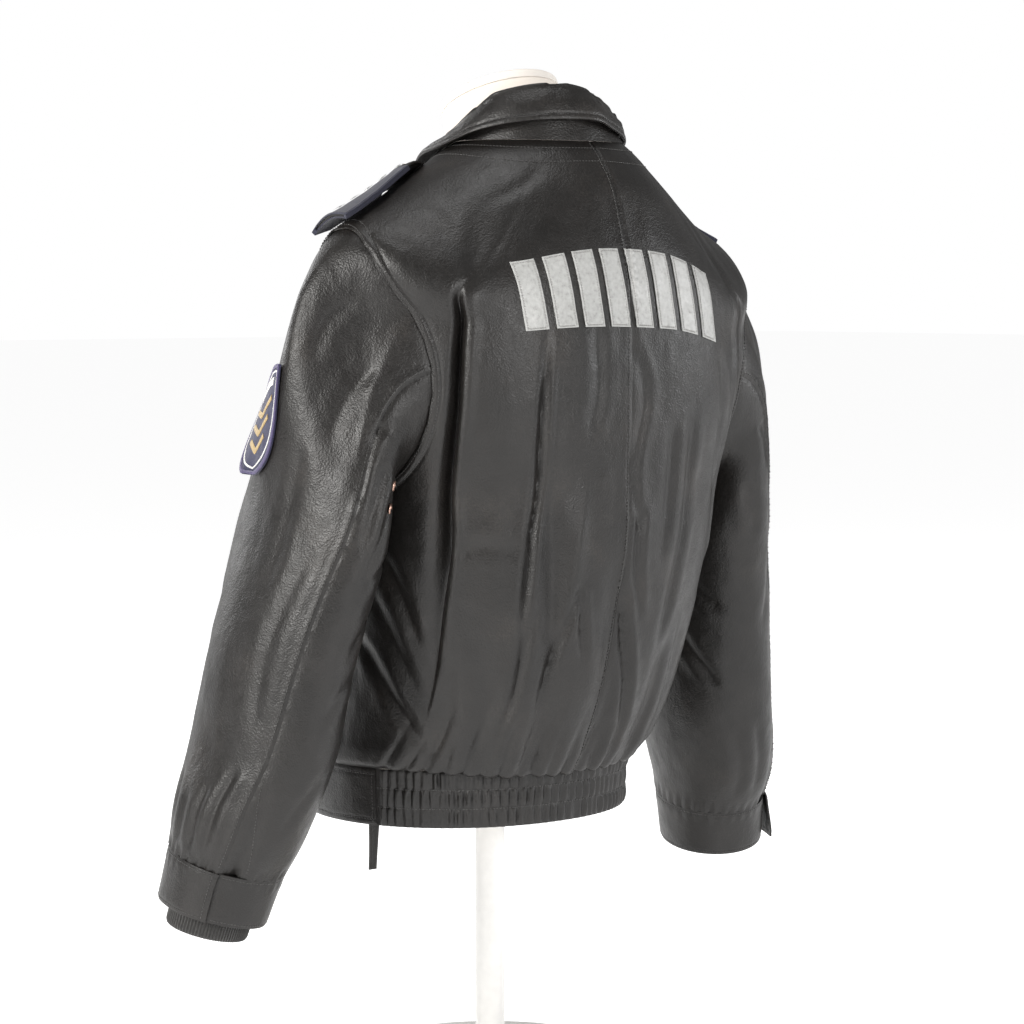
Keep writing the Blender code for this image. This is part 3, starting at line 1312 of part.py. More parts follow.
main()
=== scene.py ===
"""Dresses the police uniform jacket on its form: leather, knit, stitching, trim and stage.

The surfaces repeat the forms of the solids on finer grids, and every crease is placed
in the surface's own coordinates.  The wearer faces -Y and the left side is +X.
"""

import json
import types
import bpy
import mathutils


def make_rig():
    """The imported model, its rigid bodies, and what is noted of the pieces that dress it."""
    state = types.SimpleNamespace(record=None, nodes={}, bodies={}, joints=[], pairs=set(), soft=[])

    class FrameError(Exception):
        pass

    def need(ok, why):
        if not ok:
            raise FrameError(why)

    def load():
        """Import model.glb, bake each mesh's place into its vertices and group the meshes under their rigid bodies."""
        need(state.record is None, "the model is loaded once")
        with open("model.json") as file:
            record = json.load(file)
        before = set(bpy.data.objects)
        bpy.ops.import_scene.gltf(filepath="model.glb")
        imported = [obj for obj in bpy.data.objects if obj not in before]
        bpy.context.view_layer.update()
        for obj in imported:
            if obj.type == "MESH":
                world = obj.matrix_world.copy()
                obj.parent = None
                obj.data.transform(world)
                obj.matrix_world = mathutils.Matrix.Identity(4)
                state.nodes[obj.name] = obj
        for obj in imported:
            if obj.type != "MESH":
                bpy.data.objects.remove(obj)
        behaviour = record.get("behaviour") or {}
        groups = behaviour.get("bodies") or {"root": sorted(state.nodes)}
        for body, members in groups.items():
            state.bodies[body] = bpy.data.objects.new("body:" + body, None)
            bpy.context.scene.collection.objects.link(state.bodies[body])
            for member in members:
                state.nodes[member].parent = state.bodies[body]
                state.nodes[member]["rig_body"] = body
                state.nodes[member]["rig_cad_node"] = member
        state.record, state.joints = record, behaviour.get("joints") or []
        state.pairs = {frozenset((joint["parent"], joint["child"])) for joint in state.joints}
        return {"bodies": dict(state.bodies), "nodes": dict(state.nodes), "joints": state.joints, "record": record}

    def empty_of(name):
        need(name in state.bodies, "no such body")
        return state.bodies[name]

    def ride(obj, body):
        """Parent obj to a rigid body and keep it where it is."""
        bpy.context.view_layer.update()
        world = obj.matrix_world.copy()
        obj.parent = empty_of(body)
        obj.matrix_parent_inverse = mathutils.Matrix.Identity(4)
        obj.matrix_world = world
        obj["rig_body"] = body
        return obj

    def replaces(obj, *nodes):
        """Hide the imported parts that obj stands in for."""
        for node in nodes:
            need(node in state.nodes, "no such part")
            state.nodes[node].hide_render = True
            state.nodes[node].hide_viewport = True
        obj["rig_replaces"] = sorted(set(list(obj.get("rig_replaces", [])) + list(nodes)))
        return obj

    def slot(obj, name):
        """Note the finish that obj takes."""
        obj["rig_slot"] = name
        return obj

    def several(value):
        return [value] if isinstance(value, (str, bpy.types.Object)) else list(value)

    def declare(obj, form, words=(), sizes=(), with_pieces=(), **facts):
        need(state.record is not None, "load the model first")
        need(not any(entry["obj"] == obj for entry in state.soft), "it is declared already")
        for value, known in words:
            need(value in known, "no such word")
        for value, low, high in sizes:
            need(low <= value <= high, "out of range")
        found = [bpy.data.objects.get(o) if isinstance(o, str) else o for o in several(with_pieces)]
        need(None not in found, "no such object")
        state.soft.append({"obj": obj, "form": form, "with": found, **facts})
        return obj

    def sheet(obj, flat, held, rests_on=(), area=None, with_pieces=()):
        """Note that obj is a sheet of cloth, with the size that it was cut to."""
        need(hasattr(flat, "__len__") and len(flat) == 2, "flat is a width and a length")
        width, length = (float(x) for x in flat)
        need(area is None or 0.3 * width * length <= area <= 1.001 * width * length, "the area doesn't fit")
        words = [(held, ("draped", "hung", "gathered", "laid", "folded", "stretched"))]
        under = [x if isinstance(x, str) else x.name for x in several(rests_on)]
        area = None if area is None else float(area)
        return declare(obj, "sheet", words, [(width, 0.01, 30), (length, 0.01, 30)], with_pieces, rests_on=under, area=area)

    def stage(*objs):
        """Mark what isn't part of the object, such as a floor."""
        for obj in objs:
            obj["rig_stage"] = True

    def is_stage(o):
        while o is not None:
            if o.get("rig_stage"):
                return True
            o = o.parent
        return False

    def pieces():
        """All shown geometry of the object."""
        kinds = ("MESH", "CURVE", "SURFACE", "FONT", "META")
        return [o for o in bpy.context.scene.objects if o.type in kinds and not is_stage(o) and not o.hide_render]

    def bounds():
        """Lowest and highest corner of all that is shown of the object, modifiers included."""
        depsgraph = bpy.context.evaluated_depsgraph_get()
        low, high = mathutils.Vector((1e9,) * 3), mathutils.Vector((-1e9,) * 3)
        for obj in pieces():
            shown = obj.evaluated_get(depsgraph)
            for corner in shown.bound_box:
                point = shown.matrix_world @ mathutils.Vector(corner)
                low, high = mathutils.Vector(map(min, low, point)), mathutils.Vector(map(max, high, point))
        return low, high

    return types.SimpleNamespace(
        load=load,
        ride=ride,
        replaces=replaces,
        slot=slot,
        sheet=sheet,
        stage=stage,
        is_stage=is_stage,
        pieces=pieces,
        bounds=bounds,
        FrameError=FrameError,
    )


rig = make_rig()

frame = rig.load()
CAD_BOX = [[float(value) for value in corner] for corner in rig.bounds()]

import json
import math
import bpy
import numpy as np
from mathutils import Vector

bl_info = {
    "name": "Police uniform jacket",
    "version": (1, 0, 0),
    "blender": (4, 5, 0),
    "location": "View3D > Sidebar > Jacket",
    "description": "Builds the visible leather, cloth and trim of a police uniform jacket on a form",
    "category": "Object",
}

BODY = "jacket_on_form"
SIDES = (("left", 1.0), ("right", -1.0))
# where the shoulder line stands over the middle of the base
SHOULDER_HEIGHT = 0.864
SHOULDER_BACK = 0.070

LEATHER = 0.0015
SEAM_GAP = 0.0003
COLLAR_LEATHER = 0.0018
CUFF_LEATHER = 0.0018
KNIT_WALL = 0.0020

# torso surface: one row per section, heights measured from the shoulder line
TORSO_COLUMNS = (
    "t", "side_z", "back_z", "front_z", "dip", "middle_x", "half_width",
    "middle_y", "back_depth", "front_depth", "squareness",
)
TORSO_ROWS = (
    (0.000, -0.524, -0.524, -0.524, 0.000, 0.022, 0.168, -0.080, 0.152, 0.152, 2.10),
    (0.018, -0.519, -0.532, -0.519, 0.000, 0.021, 0.1725, -0.080, 0.163, 0.1545, 2.10),
    (0.045, -0.508, -0.519, -0.508, 0.000, 0.018, 0.177, -0.077, 0.171, 0.158, 2.15),
    (0.085, -0.492, -0.496, -0.492, 0.000, 0.014, 0.179, -0.070, 0.173, 0.160, 2.20),
    (0.135, -0.466, -0.466, -0.466, 0.000, 0.010, 0.181, -0.058, 0.173, 0.158, 2.20),
    (0.205, -0.420, -0.420, -0.420, 0.000, 0.006, 0.184, -0.045, 0.173, 0.154, 2.20),
    (0.300, -0.360, -0.360, -0.360, 0.000, 0.003, 0.191, -0.030, 0.167, 0.150, 2.20),
    (0.400, -0.300, -0.300, -0.300, 0.000, 0.000, 0.198, -0.020, 0.163, 0.148, 2.20),
    (0.480, -0.250, -0.250, -0.250, 0.000, 0.000, 0.203, -0.018, 0.163, 0.144, 2.25),
    (0.620, -0.160, -0.160, -0.162, 0.000, 0.000, 0.212, -0.012, 0.160, 0.134, 2.60),
    (0.740, -0.080, -0.082, -0.088, 0.012, 0.000, 0.222, -0.008, 0.155, 0.122, 2.50),
    (0.840, 0.000, -0.020, -0.035, 0.030, 0.000, 0.235, -0.004, 0.143, 0.108, 2.30),
    (0.890, 0.027, 0.012, -0.008, 0.020, 0.000, 0.190, -0.004, 0.134, 0.104, 2.20),
    (0.930, 0.053, 0.042, 0.010, 0.010, 0.000, 0.146, -0.003, 0.122, 0.100, 2.15),
    (0.970, 0.074, 0.067, 0.024, 0.004, 0.000, 0.112, -0.002, 0.104, 0.092, 2.10),
    (1.000, 0.087, 0.086, 0.036, 0.000, 0.000, 0.090, -0.002, 0.087, 0.083, 2.05),
)

# hang of the jacket: the right shoulder droops, and each sleeve swings a little outward
HANG_COLUMNS = ("z", "left_out", "right_out")
HANG_ROWS = (
    (-0.780, 0.0000, 0.0000),
    (-0.720, 0.0070, 0.0040),
    (-0.620, 0.0060, 0.0040),
    (-0.560, 0.0035, 0.0020),
    (-0.500, 0.0000, -0.0020),
    (-0.440, 0.0000, -0.0045),
    (-0.340, 0.0000, -0.0045),
    (-0.260, 0.0000, 0.0000),
    (-0.200, 0.0030, 0.0080),
    (-0.150, 0.0040, 0.0140),
    (-0.100, 0.0040, 0.0140),
    (-0.060, 0.0030, 0.0060),
    (-0.020, 0.0000, 0.0000),
    (0.200, 0.0000, 0.0000),
)
HANG_FORWARD = 0.84
DROOP = 0.0115

# armhole: an oval in the torso surface
ARMHOLE_MIDDLE = 0.660
ARMHOLE_HALF_HEIGHT = 0.180
ARMHOLE_BACK_ANGLE = 30.5
ARMHOLE_FRONT_ANGLE = 33.0
ARMHOLE_STEPS = 10

# action pleat: a deep fold down each side of the back
PLEAT_COLUMNS = ("t", "angle", "depth", "outer_width")
PLEAT_ROWS = (
    (0.10, 31.0, 0.000, 0.012),
    (0.205, 31.0, 0.004, 0.013),
    (0.300, 31.5, 0.010, 0.013),
    (0.400, 33.0, 0.017, 0.012),
    (0.480, 33.8, 0.017, 0.0085),
    (0.620, 38.3, 0.015, 0.0060),
    (0.740, 42.0, 0.013, 0.0050),
    (0.790, 44.6, 0.008, 0.0050),
    (0.815, 46.0, 0.002, 0.0050),
    (0.830, 47.0, 0.000, 0.0050),
    (1.000, 47.0, 0.000, 0.0050),
)
PLEAT_INNER_WIDTH = 0.0032

# large soft folds of the back over the waistband
FOLD_COLUMNS = ("arc", "lean", "low", "high", "depth", "width")
BACK_FOLDS = (
    (-0.118, 0.020, 0.03, 0.34, 0.0060, 0.014),
    (-0.062, -0.012, 0.03, 0.30, 0.0070, 0.013),
    (-0.010, 0.020, 0.03, 0.42, 0.0075, 0.013),
    (0.052, 0.030, 0.03, 0.62, 0.0070, 0.012),
    (0.104, 0.030, 0.03, 0.26, 0.0060, 0.014),
    (0.152, 0.020, 0.03, 0.24, 0.0055, 0.014),
)

# sleeve sections under the armhole
SLEEVE_COLUMNS = ("v", "x", "y", "z", "across", "along")
SLEEVE_ROWS = (
    (0.46, 0.2550, -0.0310, -0.300, 0.0520, 0.0980),
    (0.63, 0.2775, -0.0435, -0.400, 0.0550, 0.0910),
    (0.79, 0.2920, -0.0588, -0.500, 0.0580, 0.0880),
    (0.91, 0.3050, -0.0690, -0.564, 0.0600, 0.0760),
    (1.00, 0.3110, -0.0790, -0.605, 0.0560, 0.0620),
    (1.12, 0.3200, -0.0880, -0.655, 0.0520, 0.0580),
)
SLEEVE_HEAD = 0.46
SLEEVE_END = 1.00
CUFF_END = 1.12
SEAM_ANGLE_COLUMNS = ("v", "rear", "front")
SEAM_ANGLE_ROWS = (
    (0.00, 90.0, -108.0),
    (0.20, 77.0, -112.0),
    (0.46, 60.0, -116.0),
    (0.63, 53.5, -119.0),
    (0.79, 47.0, -120.0),
    (1.00, 46.0, -120.0),
)
SLEEVE_STEPS = (0.0, 0.05, 0.11, 0.18, 0.26, 0.35, 0.46, 0.55, 0.64, 0.73, 0.81, 0.88, 0.94, 1.0)
VENT_START = 0.82
VENT_DEPTH = 0.0065
VENT_ANGLE = 13.0
VENT_SPREAD = 8.0
CUFF_OVERLAP = 16.0
CUFF_LIFT = 0.0024
OPEN_CUFF_FLARE = 0.0100

# knitted cuffs under the leather cuffs, sizes at the top, the leather edge and the end
KNIT_TOP = 1.03
KNIT_INSET = 0.0027
KNIT_NECK = 0.0415
KNIT_END = 0.0405
KNIT_DROP_LEFT = 0.020
KNIT_DROP_RIGHT = 0.005

# waistband
BAND_TOP = -0.5243
BAND_HEIGHT = 0.0565
BAND_TAPER = 0.0045
ELASTIC_START = 20.0
ELASTIC_END = 160.0
GATHERS = 43
CHANNELS = 3
GATHER_DEPTH = 0.0026

# collar: one row per direction round the neck, 90 is the middle of the back
COLLAR_COLUMNS = ("angle", "fold_z", "fold_r", "edge_z", "edge_r")
COLLAR_ROWS = (
    (-90.0, 0.052, 0.0880, -0.018, 0.1060),
    (-65.0, 0.066, 0.0885, 0.004, 0.1225),
    (-40.0, 0.081, 0.0885, 0.062, 0.1150),
    (-3.0, 0.106, 0.0880, 0.0835, 0.1090),
    (19.0, 0.128, 0.0880, 0.0960, 0.1070),
    (45.0, 0.139, 0.0885, 0.1040, 0.1060),
    (72.0, 0.141, 0.0880, 0.1065, 0.1050),
    (90.0, 0.137, 0.0880, 0.1055, 0.1060),
    (106.0, 0.126, 0.0875, 0.0990, 0.1010),
    (140.0, 0.112, 0.0865, 0.0900, 0.0970),
    (183.0, 0.104, 0.0880, 0.0830, 0.1060),
    (220.0, 0.082, 0.0885, 0.0620, 0.1150),
    (245.0, 0.066, 0.0885, 0.004, 0.1225),
    (270.0, 0.052, 0.0880, -0.018, 0.1060),
)
COLLAR_MIDDLE_Y = -0.0100
COLLAR_FRONT_GAP = 4.5

# front zip
ZIP_HALF_GAP = 0.0034
CHAIN_HALF_WIDTH = 0.0030
CHAIN_WALL = 0.0022
SLIDER_T = 0.955
PULL_LENGTH = 0.030
PULL_WIDTH = 0.0085
PULL_WALL = 0.0012
HINGE_OUT = 0.0034
HINGE_UP = 0.0016

# epaulettes: outer and inner ends over the shoulder
STRAP_OUTER_X = 0.241
STRAP_INNER_X = 0.122
STRAP_OUTER_Y = -0.014
STRAP_INNER_Y = -0.034
STRAP_HALF_WIDTH = 0.0215
STRAP_LIFTS = {"left": 0.0110, "right": 0.0040}
STRAP_END_LIFT = 0.0011
STRAP_RISE = 0.022
STRAP_WALL = 0.0020
SLIDE_OUTER_X = 0.243
SLIDE_INNER_X = 0.154
SLIDE_HALF_WIDTH = 0.0255
SLIDE_WALL = 0.0012
SLIDE_GAP = 0.0004
STARS = 4
STAR_RADIUS = 0.0068
STAR_WALL = 0.0010
BUTTON_RADIUS = 0.0075
BUTTON_X = 0.1435

# reflective bars across the back, from the wearer's right to the left
BARS = 8
BARS_RIGHT_X = -0.121
BARS_LEFT_X = 0.130
BAR_SHARE = 0.74
BAR_WALL = 0.0007
BAR_LIFT = 0.0011
BAR_TOP_T = 0.842
BAR_LOW_T = 0.722
BAR_LEAN_X = 0.009
BAR_RISE = 0.05

# sleeve patch
PATCH_ANGLE = -27.0
PATCH_TOP_V = 0.225
PATCH_HEIGHT = 0.100
PATCH_HALF_WIDTH = 0.042
PATCH_WALL = 0.0022
PATCH_LIFT = 0.0016
PATCH_CURL = 0.0085

EYELET_RADIUS = 0.0055
EYELET_HOLE = 0.0024
EYELET_HEIGHT = 0.0009
EYELET_COLUMNS = ("side", "number", "v", "turn")
# the right sleeve hangs rolled inward, with its eyelets towards the body
EYELET_ROWS = (
    ("left", 1, 0.302, 114.0),
    ("left", 2, 0.234, 116.0),
    ("right", 1, 0.302, 168.0),
    ("right", 2, 0.234, 170.0),
)

# strap end that hangs from the front of the hem
STRAP_END_TOP = -0.560
STRAP_END_LOW = -0.671
STRAP_END_X = 0.0330
STRAP_END_WIDTH = 0.0165
STRAP_END_TIP = 0.0095

# dress form under the jacket
FORM_COLUMNS = ("t", "inset", "upright")
FORM_ROWS = (
    (0.100, 0.060, 1.0),
    (0.205, 0.056, 1.0),
    (0.300, 0.050, 1.0),
    (0.400, 0.042, 1.0),
    (0.480, 0.038, 1.0),
    (0.620, 0.036, 1.0),
    (0.740, 0.034, 1.0),
    (0.800, 0.027, 0.0),
    (0.840, 0.013, 0.0),
    (0.870, 0.0040, 0.0),
    (0.900, 0.0020, 0.0),
    (0.935, 0.0020, 0.0),
    (0.970, 0.0022, 0.0),
    (1.000, 0.0060, 1.0),
)
FORM_LOW = -0.548
FORM_FRONT_EXTRA = 0.0015
FORM_SIDE_EXTRA = 0.0012
NECK_RADIUS = 0.0600
NECK_TOP_X = 0.0080
NECK_TOP_Y = -0.0430
NECK_TOP_Z = 0.1290
NECK_TILT = 22.0
NECK_CAP = 0.0110
POLE_RADIUS = 0.0150
BASE_RADIUS = 0.1600
BASE_HEIGHT = 0.0140


def column(columns, rows, name):
    """One named column of a table as an array."""
    place = columns.index(name)
    return np.array([row[place] for row in rows], dtype=float)


def named(columns, rows):
    """The rows of a table as dictionaries."""
    return [dict(zip(columns, row)) for row in rows]


def smooth(knots, values, where):
    """A smooth curve through the values at the knots."""
    where = np.clip(np.asarray(where, dtype=float), knots[0], knots[-1])
    slopes = np.gradient(values, knots)
    slopes[0] = (values[1] - values[0]) / (knots[1] - knots[0])
    slopes[-1] = (values[-1] - values[-2]) / (knots[-1] - knots[-2])
    index = np.clip(np.searchsorted(knots, where, side="right") - 1, 0, len(knots) - 2)
    span = knots[index + 1] - knots[index]
    f = (where - knots[index]) / span
    first = (2 * f ** 3 - 3 * f ** 2 + 1) * values[index]
    first = first + (f ** 3 - 2 * f ** 2 + f) * span * slopes[index]
    second = (-2 * f ** 3 + 3 * f ** 2) * values[index + 1]
    second = second + (f ** 3 - f ** 2) * span * slopes[index + 1]
    return first + second


def table(columns, rows, key, name, where):
    """The named column of a table as a smooth function of its key column."""
    return smooth(column(columns, rows, key), column(columns, rows, name), where)


def ramp(value, low, high):
    """0 below low, 1 above high, smooth between."""
    f = np.clip((value - low) / (high - low), 0.0, 1.0)
    return f * f * (3 - 2 * f)


def unit(vectors):
    """Vectors of length one."""
    length = np.linalg.norm(vectors, axis=-1, keepdims=True)
    return vectors / np.maximum(length, 1e-12)


def torso_base(angle, t):
    """Torso surface without folds: a squared oval section at each height t."""
    def value(name):
        return table(TORSO_COLUMNS, TORSO_ROWS, "t", name, t)
    turn = np.radians(angle)
    c = np.cos(turn)
    s = np.sin(turn)
    power = 2.0 / value("squareness")
    depth = np.where(s >= 0, value("back_depth"), value("front_depth"))
    x = value("middle_x") + value("half_width") * np.sign(c) * np.abs(c) ** power
    y = value("middle_y") + depth * np.sign(s) * np.abs(s) ** power
    end = np.where(s >= 0, value("back_z"), value("front_z"))
    z = value("side_z") + (end - value("side_z")) * s * s
    z = z - value("dip") * np.sin(2 * turn) ** 2
    return np.stack([x, y, z], axis=-1)


def torso_base_normal(angle, t):
    """Outward normal of the torso surface without folds."""
    low = np.clip(t - 0.002, 0.0, 1.0)
    high = np.clip(t + 0.002, 0.0, 1.0)
    along = torso_base(angle + 0.2, t) - torso_base(angle - 0.2, t)
    up = torso_base(angle, high) - torso_base(angle, low)
    return unit(np.cross(along, up))


def pleat_offset(angle, t):
    """Depth of the action pleat, measured from its line along the section."""
    side = np.where(np.cos(np.radians(angle)) >= 0, angle, 180.0 - angle)
    line = table(PLEAT_COLUMNS, PLEAT_ROWS, "t", "angle", t)
    depth = table(PLEAT_COLUMNS, PLEAT_ROWS, "t", "depth", t)
    wide = table(PLEAT_COLUMNS, PLEAT_ROWS, "t", "outer_width", t)
    step = torso_base(line + 0.5, t) - torso_base(line - 0.5, t)
    arc = (line - side) * np.linalg.norm(step, axis=-1)
    width = np.where(arc < 0, PLEAT_INNER_WIDTH, wide)
    groove = depth * np.exp(-(arc / width) ** 2)
    lip = 0.16 * depth * np.exp(-((arc + 0.011) / 0.005) ** 2)
    return np.where((side > 2.0) & (side < 88.0), lip - np.maximum(groove, 0.0), 0.0)


def back_fold_offset(angle, t):
    """Large soft folds that fall to the waistband at the back."""
    arc = (90.0 - angle) * math.pi / 180 * 0.175
    total = np.zeros(np.broadcast(angle, t).shape)
    for fold in named(FOLD_COLUMNS, BACK_FOLDS):
        low = fold["low"]
        high = fold["high"]
        line = fold["arc"] + fold["lean"] * (t - low) / (high - low)
        fade = ramp(t, 0.004, low + 0.03) * (1 - ramp(t, 0.55 * high, high))
        total = total - fold["depth"] * fade * np.exp(-((arc - line) / fold["width"]) ** 2)
    return total * ramp(angle, 20.0, 45.0) * (1 - ramp(angle, 135.0, 160.0))


def armhole_angle(t, back):
    """Angle of the armhole edge at height t, 0 above and below the armhole."""
    across = 1 - ((t - ARMHOLE_MIDDLE) / ARMHOLE_HALF_HEIGHT) ** 2
    wide = ARMHOLE_BACK_ANGLE if back else -ARMHOLE_FRONT_ANGLE
    return wide * np.sqrt(np.clip(across, 0.0, 1.0))


def armhole(turn):
    """Angle and height on the torso of the armhole edge, turn 0 is its top."""
    wave = np.sin(np.radians(turn))
    angle = np.where(wave >= 0, ARMHOLE_BACK_ANGLE, ARMHOLE_FRONT_ANGLE) * wave
    t = ARMHOLE_MIDDLE + ARMHOLE_HALF_HEIGHT * np.cos(np.radians(turn))
    return angle, t


def sleeve_ring(turn, v):
    """Oval sleeve section square to the line of the sleeve."""
    def value(name, where):
        return table(SLEEVE_COLUMNS, SLEEVE_ROWS, "v", name, where)
    def middle(where):
        return np.stack([value("x", where), value("y", where), value("z", where)], axis=-1)
    low = np.clip(v - 0.02, SLEEVE_HEAD, CUFF_END)
    high = np.clip(v + 0.02, SLEEVE_HEAD, CUFF_END)
    line = unit(middle(high) - middle(low))
    out = np.zeros_like(line)
    out[..., 0] = 1.0
    out = unit(out - np.sum(out * line, axis=-1, keepdims=True) * line)
    rear = np.cross(line, out)
    rear = rear * np.sign(rear[..., 1:2])
    c = np.cos(np.radians(turn))[..., None]
    s = np.sin(np.radians(turn))[..., None]
    return middle(v) + out * c * value("across", v)[..., None] + rear * s * value("along", v)[..., None]


def sleeve_start(turn):
    """Direction in which the sleeve leaves the armhole."""
    point, inward, _ = armhole_frame(turn)
    top = (0.5 + 0.5 * np.cos(np.radians(turn)))[..., None]
    side = (np.sin(np.radians(turn)) ** 2)[..., None]
    out = np.array([1.0, 0.0, 0.0])
    down = np.array([0.0, 0.0, -1.0])
    return unit(-inward * top + out * (0.30 + 0.55 * (1 - top)) + down * (0.05 + 0.5 * side))


def sleeve_offset(turn, v):
    """Depth of the vent fold above the cuff."""
    rear = table(SEAM_ANGLE_COLUMNS, SEAM_ANGLE_ROWS, "v", "rear", v)
    across = np.exp(-((turn - rear - VENT_ANGLE) / VENT_SPREAD) ** 2)
    return -VENT_DEPTH * ramp(v, VENT_START, 0.97) * across * (1 - ramp(v, 1.0, 1.02))


def sleeve_plain(turn, v):
    """Sleeve surface without its vent: armhole edge to section, then section to section."""
    turn, v = np.broadcast_arrays(np.asarray(turn, dtype=float), np.asarray(v, dtype=float))
    ring = sleeve_ring(turn, np.maximum(v, SLEEVE_HEAD))
    edge, _, _ = armhole_frame(turn)
    first = np.full_like(v, SLEEVE_HEAD)
    end = sleeve_ring(turn, first)
    run = unit(sleeve_ring(turn, first + 0.03) - end)
    length = np.linalg.norm(end - edge, axis=-1, keepdims=True)
    f = np.clip(v / SLEEVE_HEAD, 0.0, 1.0)[..., None]
    head = (2 * f ** 3 - 3 * f ** 2 + 1) * edge + (-2 * f ** 3 + 3 * f ** 2) * end
    head = head + (f ** 3 - 2 * f ** 2 + f) * length * sleeve_start(turn)
    head = head + (f ** 3 - f ** 2) * length * run
    return np.where(v[..., None] < SLEEVE_HEAD, head, ring)


def sleeve_normal_of(surface, turn, v):
    """Outward normal of a left sleeve surface, one-sided at its ends."""
    low = np.clip(v - 0.004, 0.0, CUFF_END)
    high = np.clip(v + 0.004, 0.0, CUFF_END)
    around = surface(turn + 0.6, v) - surface(turn - 0.6, v)
    along = surface(turn, high) - surface(turn, low)
    return unit(np.cross(along, around))


def hang(points):
    """Moves points of the jacket the way it hangs: sleeves outward, right shoulder down."""
    moved = np.array(points, dtype=float)
    z = moved[..., 2]
    for side, name in ((1.0, "left_out"), (-1.0, "right_out")):
        swing = table(HANG_COLUMNS, HANG_ROWS, "z", name, z)
        swing = swing * ramp(side * moved[..., 0], 0.150, 0.235)
        moved[..., 0] = moved[..., 0] + side * swing
        moved[..., 1] = moved[..., 1] - side * HANG_FORWARD * swing
    droop = DROOP * ramp(-points[..., 0], 0.050, 0.180) * ramp(z, -0.300, -0.060)
    moved[..., 2] = z - droop
    return moved


def band_point(angle, down, raised):
    """Point of the waistband, down is 0 at the seam and 1 at the hem."""
    top = torso_base(angle, np.zeros_like(angle))
    middle_x = TORSO_ROWS[0][TORSO_COLUMNS.index("middle_x")]
    middle_y = TORSO_ROWS[0][TORSO_COLUMNS.index("middle_y")]
    out = top - np.array([middle_x, middle_y, TORSO_ROWS[0][1]])
    out[..., 2] = 0.0
    out = unit(out)
    point = top + out * (raised - BAND_TAPER * down)[..., None]
    point[..., 2] = BAND_TOP - BAND_HEIGHT * down
    return point, out


def collar_value(name, angle):
    """Collar size in one direction round the neck."""
    return table(COLLAR_COLUMNS, COLLAR_ROWS, "angle", name, angle)


def collar_section(angle):
    """Points across the collar: up the stand, over the fold and down the fall."""
    seam = torso(angle, np.ones_like(angle))
    centre = np.array([0.0, COLLAR_MIDDLE_Y, 0.0])
    flat = seam - centre
    seam_r = np.linalg.norm(flat[..., :2], axis=-1) - LEATHER
    radial = unit(np.stack([flat[..., 0], flat[..., 1], 0 * angle], axis=-1))
    seam_z = seam[..., 2] + 2 * SEAM_GAP
    fold_r = collar_value("fold_r", angle)
    fold_z = collar_value("fold_z", angle)
    edge_r = collar_value("edge_r", angle)
    edge_z = collar_value("edge_z", angle)
    inner_r = fold_r - 0.0034
    high = fold_z - 0.0045
    pairs = (
        (seam_r, seam_z),
        (seam_r + 0.5 * (inner_r - seam_r) - 0.0006, seam_z + 0.5 * (high - seam_z)),
        (inner_r, high),
        (inner_r + 0.0014, fold_z - 0.0010),
        (fold_r, fold_z),
        (fold_r + 0.0022, fold_z - 0.0010),
        (fold_r + 0.0040, fold_z - 0.0050),
        (fold_r + 0.55 * (edge_r - fold_r) + 0.0030, edge_z + 0.48 * (fold_z - edge_z)),
        (edge_r, edge_z),
    )
    r = np.stack([pair[0] for pair in pairs])
    z = np.stack([pair[1] for pair in pairs])
    run_r = np.gradient(r, axis=0)
    run_z = np.gradient(z, axis=0)
    length = np.sqrt(run_r ** 2 + run_z ** 2)
    side_r = run_z / length
    side_z = -run_r / length
    side_r[0] = 1.0
    side_z[0] = 0.0

    def place(radius, height):
        point = centre + radial[None, :, :] * radius[..., None]
        point[..., 2] = height
        return point
    return place(r, z), place(r + side_r * COLLAR_LEATHER, z + side_z * COLLAR_LEATHER)


def front_line(t):
    """Middle line of the closed front, waistband included for t below 0."""
    low = np.clip(-t, 0.0, None)
    point = torso(np.full_like(t, -90.0), np.maximum(t, 0.0))
    point[..., 1] = point[..., 1] + np.where(t < 0, BAND_TAPER * low / 0.1, 0.0)
    point[..., 2] = point[..., 2] - np.where(t < 0, BAND_HEIGHT * low / 0.1, 0.0)
    return point


def front_frame(t):
    """Middle line with its outward direction."""
    point = front_line(t)
    run = front_line(np.minimum(t + 0.004, 1.0)) - front_line(t - 0.004)
    out = np.cross(run, np.array([1.0, 0.0, 0.0]))
    out = unit(out)
    out = out * np.where(out[..., 1:2] > 0, -1.0, 1.0)
    return point, out


def shoulder_height(x, y):
    """Height of the shoulder surface under a point, found by halving."""
    x = np.asarray(x, dtype=float)
    y = np.asarray(y, dtype=float)
    low = np.full(x.shape, 0.80)
    high = np.full(x.shape, 1.0)
    for _ in range(30):
        t = 0.5 * (low + high)
        depth = np.where(y >= table(TORSO_COLUMNS, TORSO_ROWS, "t", "middle_y", t),
                         table(TORSO_COLUMNS, TORSO_ROWS, "t", "back_depth", t),
                         table(TORSO_COLUMNS, TORSO_ROWS, "t", "front_depth", t))
        power = table(TORSO_COLUMNS, TORSO_ROWS, "t", "squareness", t) / 2
        rise = (y - table(TORSO_COLUMNS, TORSO_ROWS, "t", "middle_y", t)) / depth
        s = np.sign(rise) * np.abs(rise) ** power
        angle = np.degrees(np.arcsin(np.clip(s, -1, 1)))
        point = torso_base(angle, t)
        wider = point[..., 0] > x
        low = np.where(wider, t, low)
        high = np.where(wider, high, t)
    return point[..., 2]


def strap_line(x, y):
    """Resting height of the epaulette, straight beyond the armhole seam."""
    edge = 0.222
    inside = shoulder_height(np.minimum(x, edge), y)
    return inside - 0.46 * np.clip(x - edge, 0.0, None)


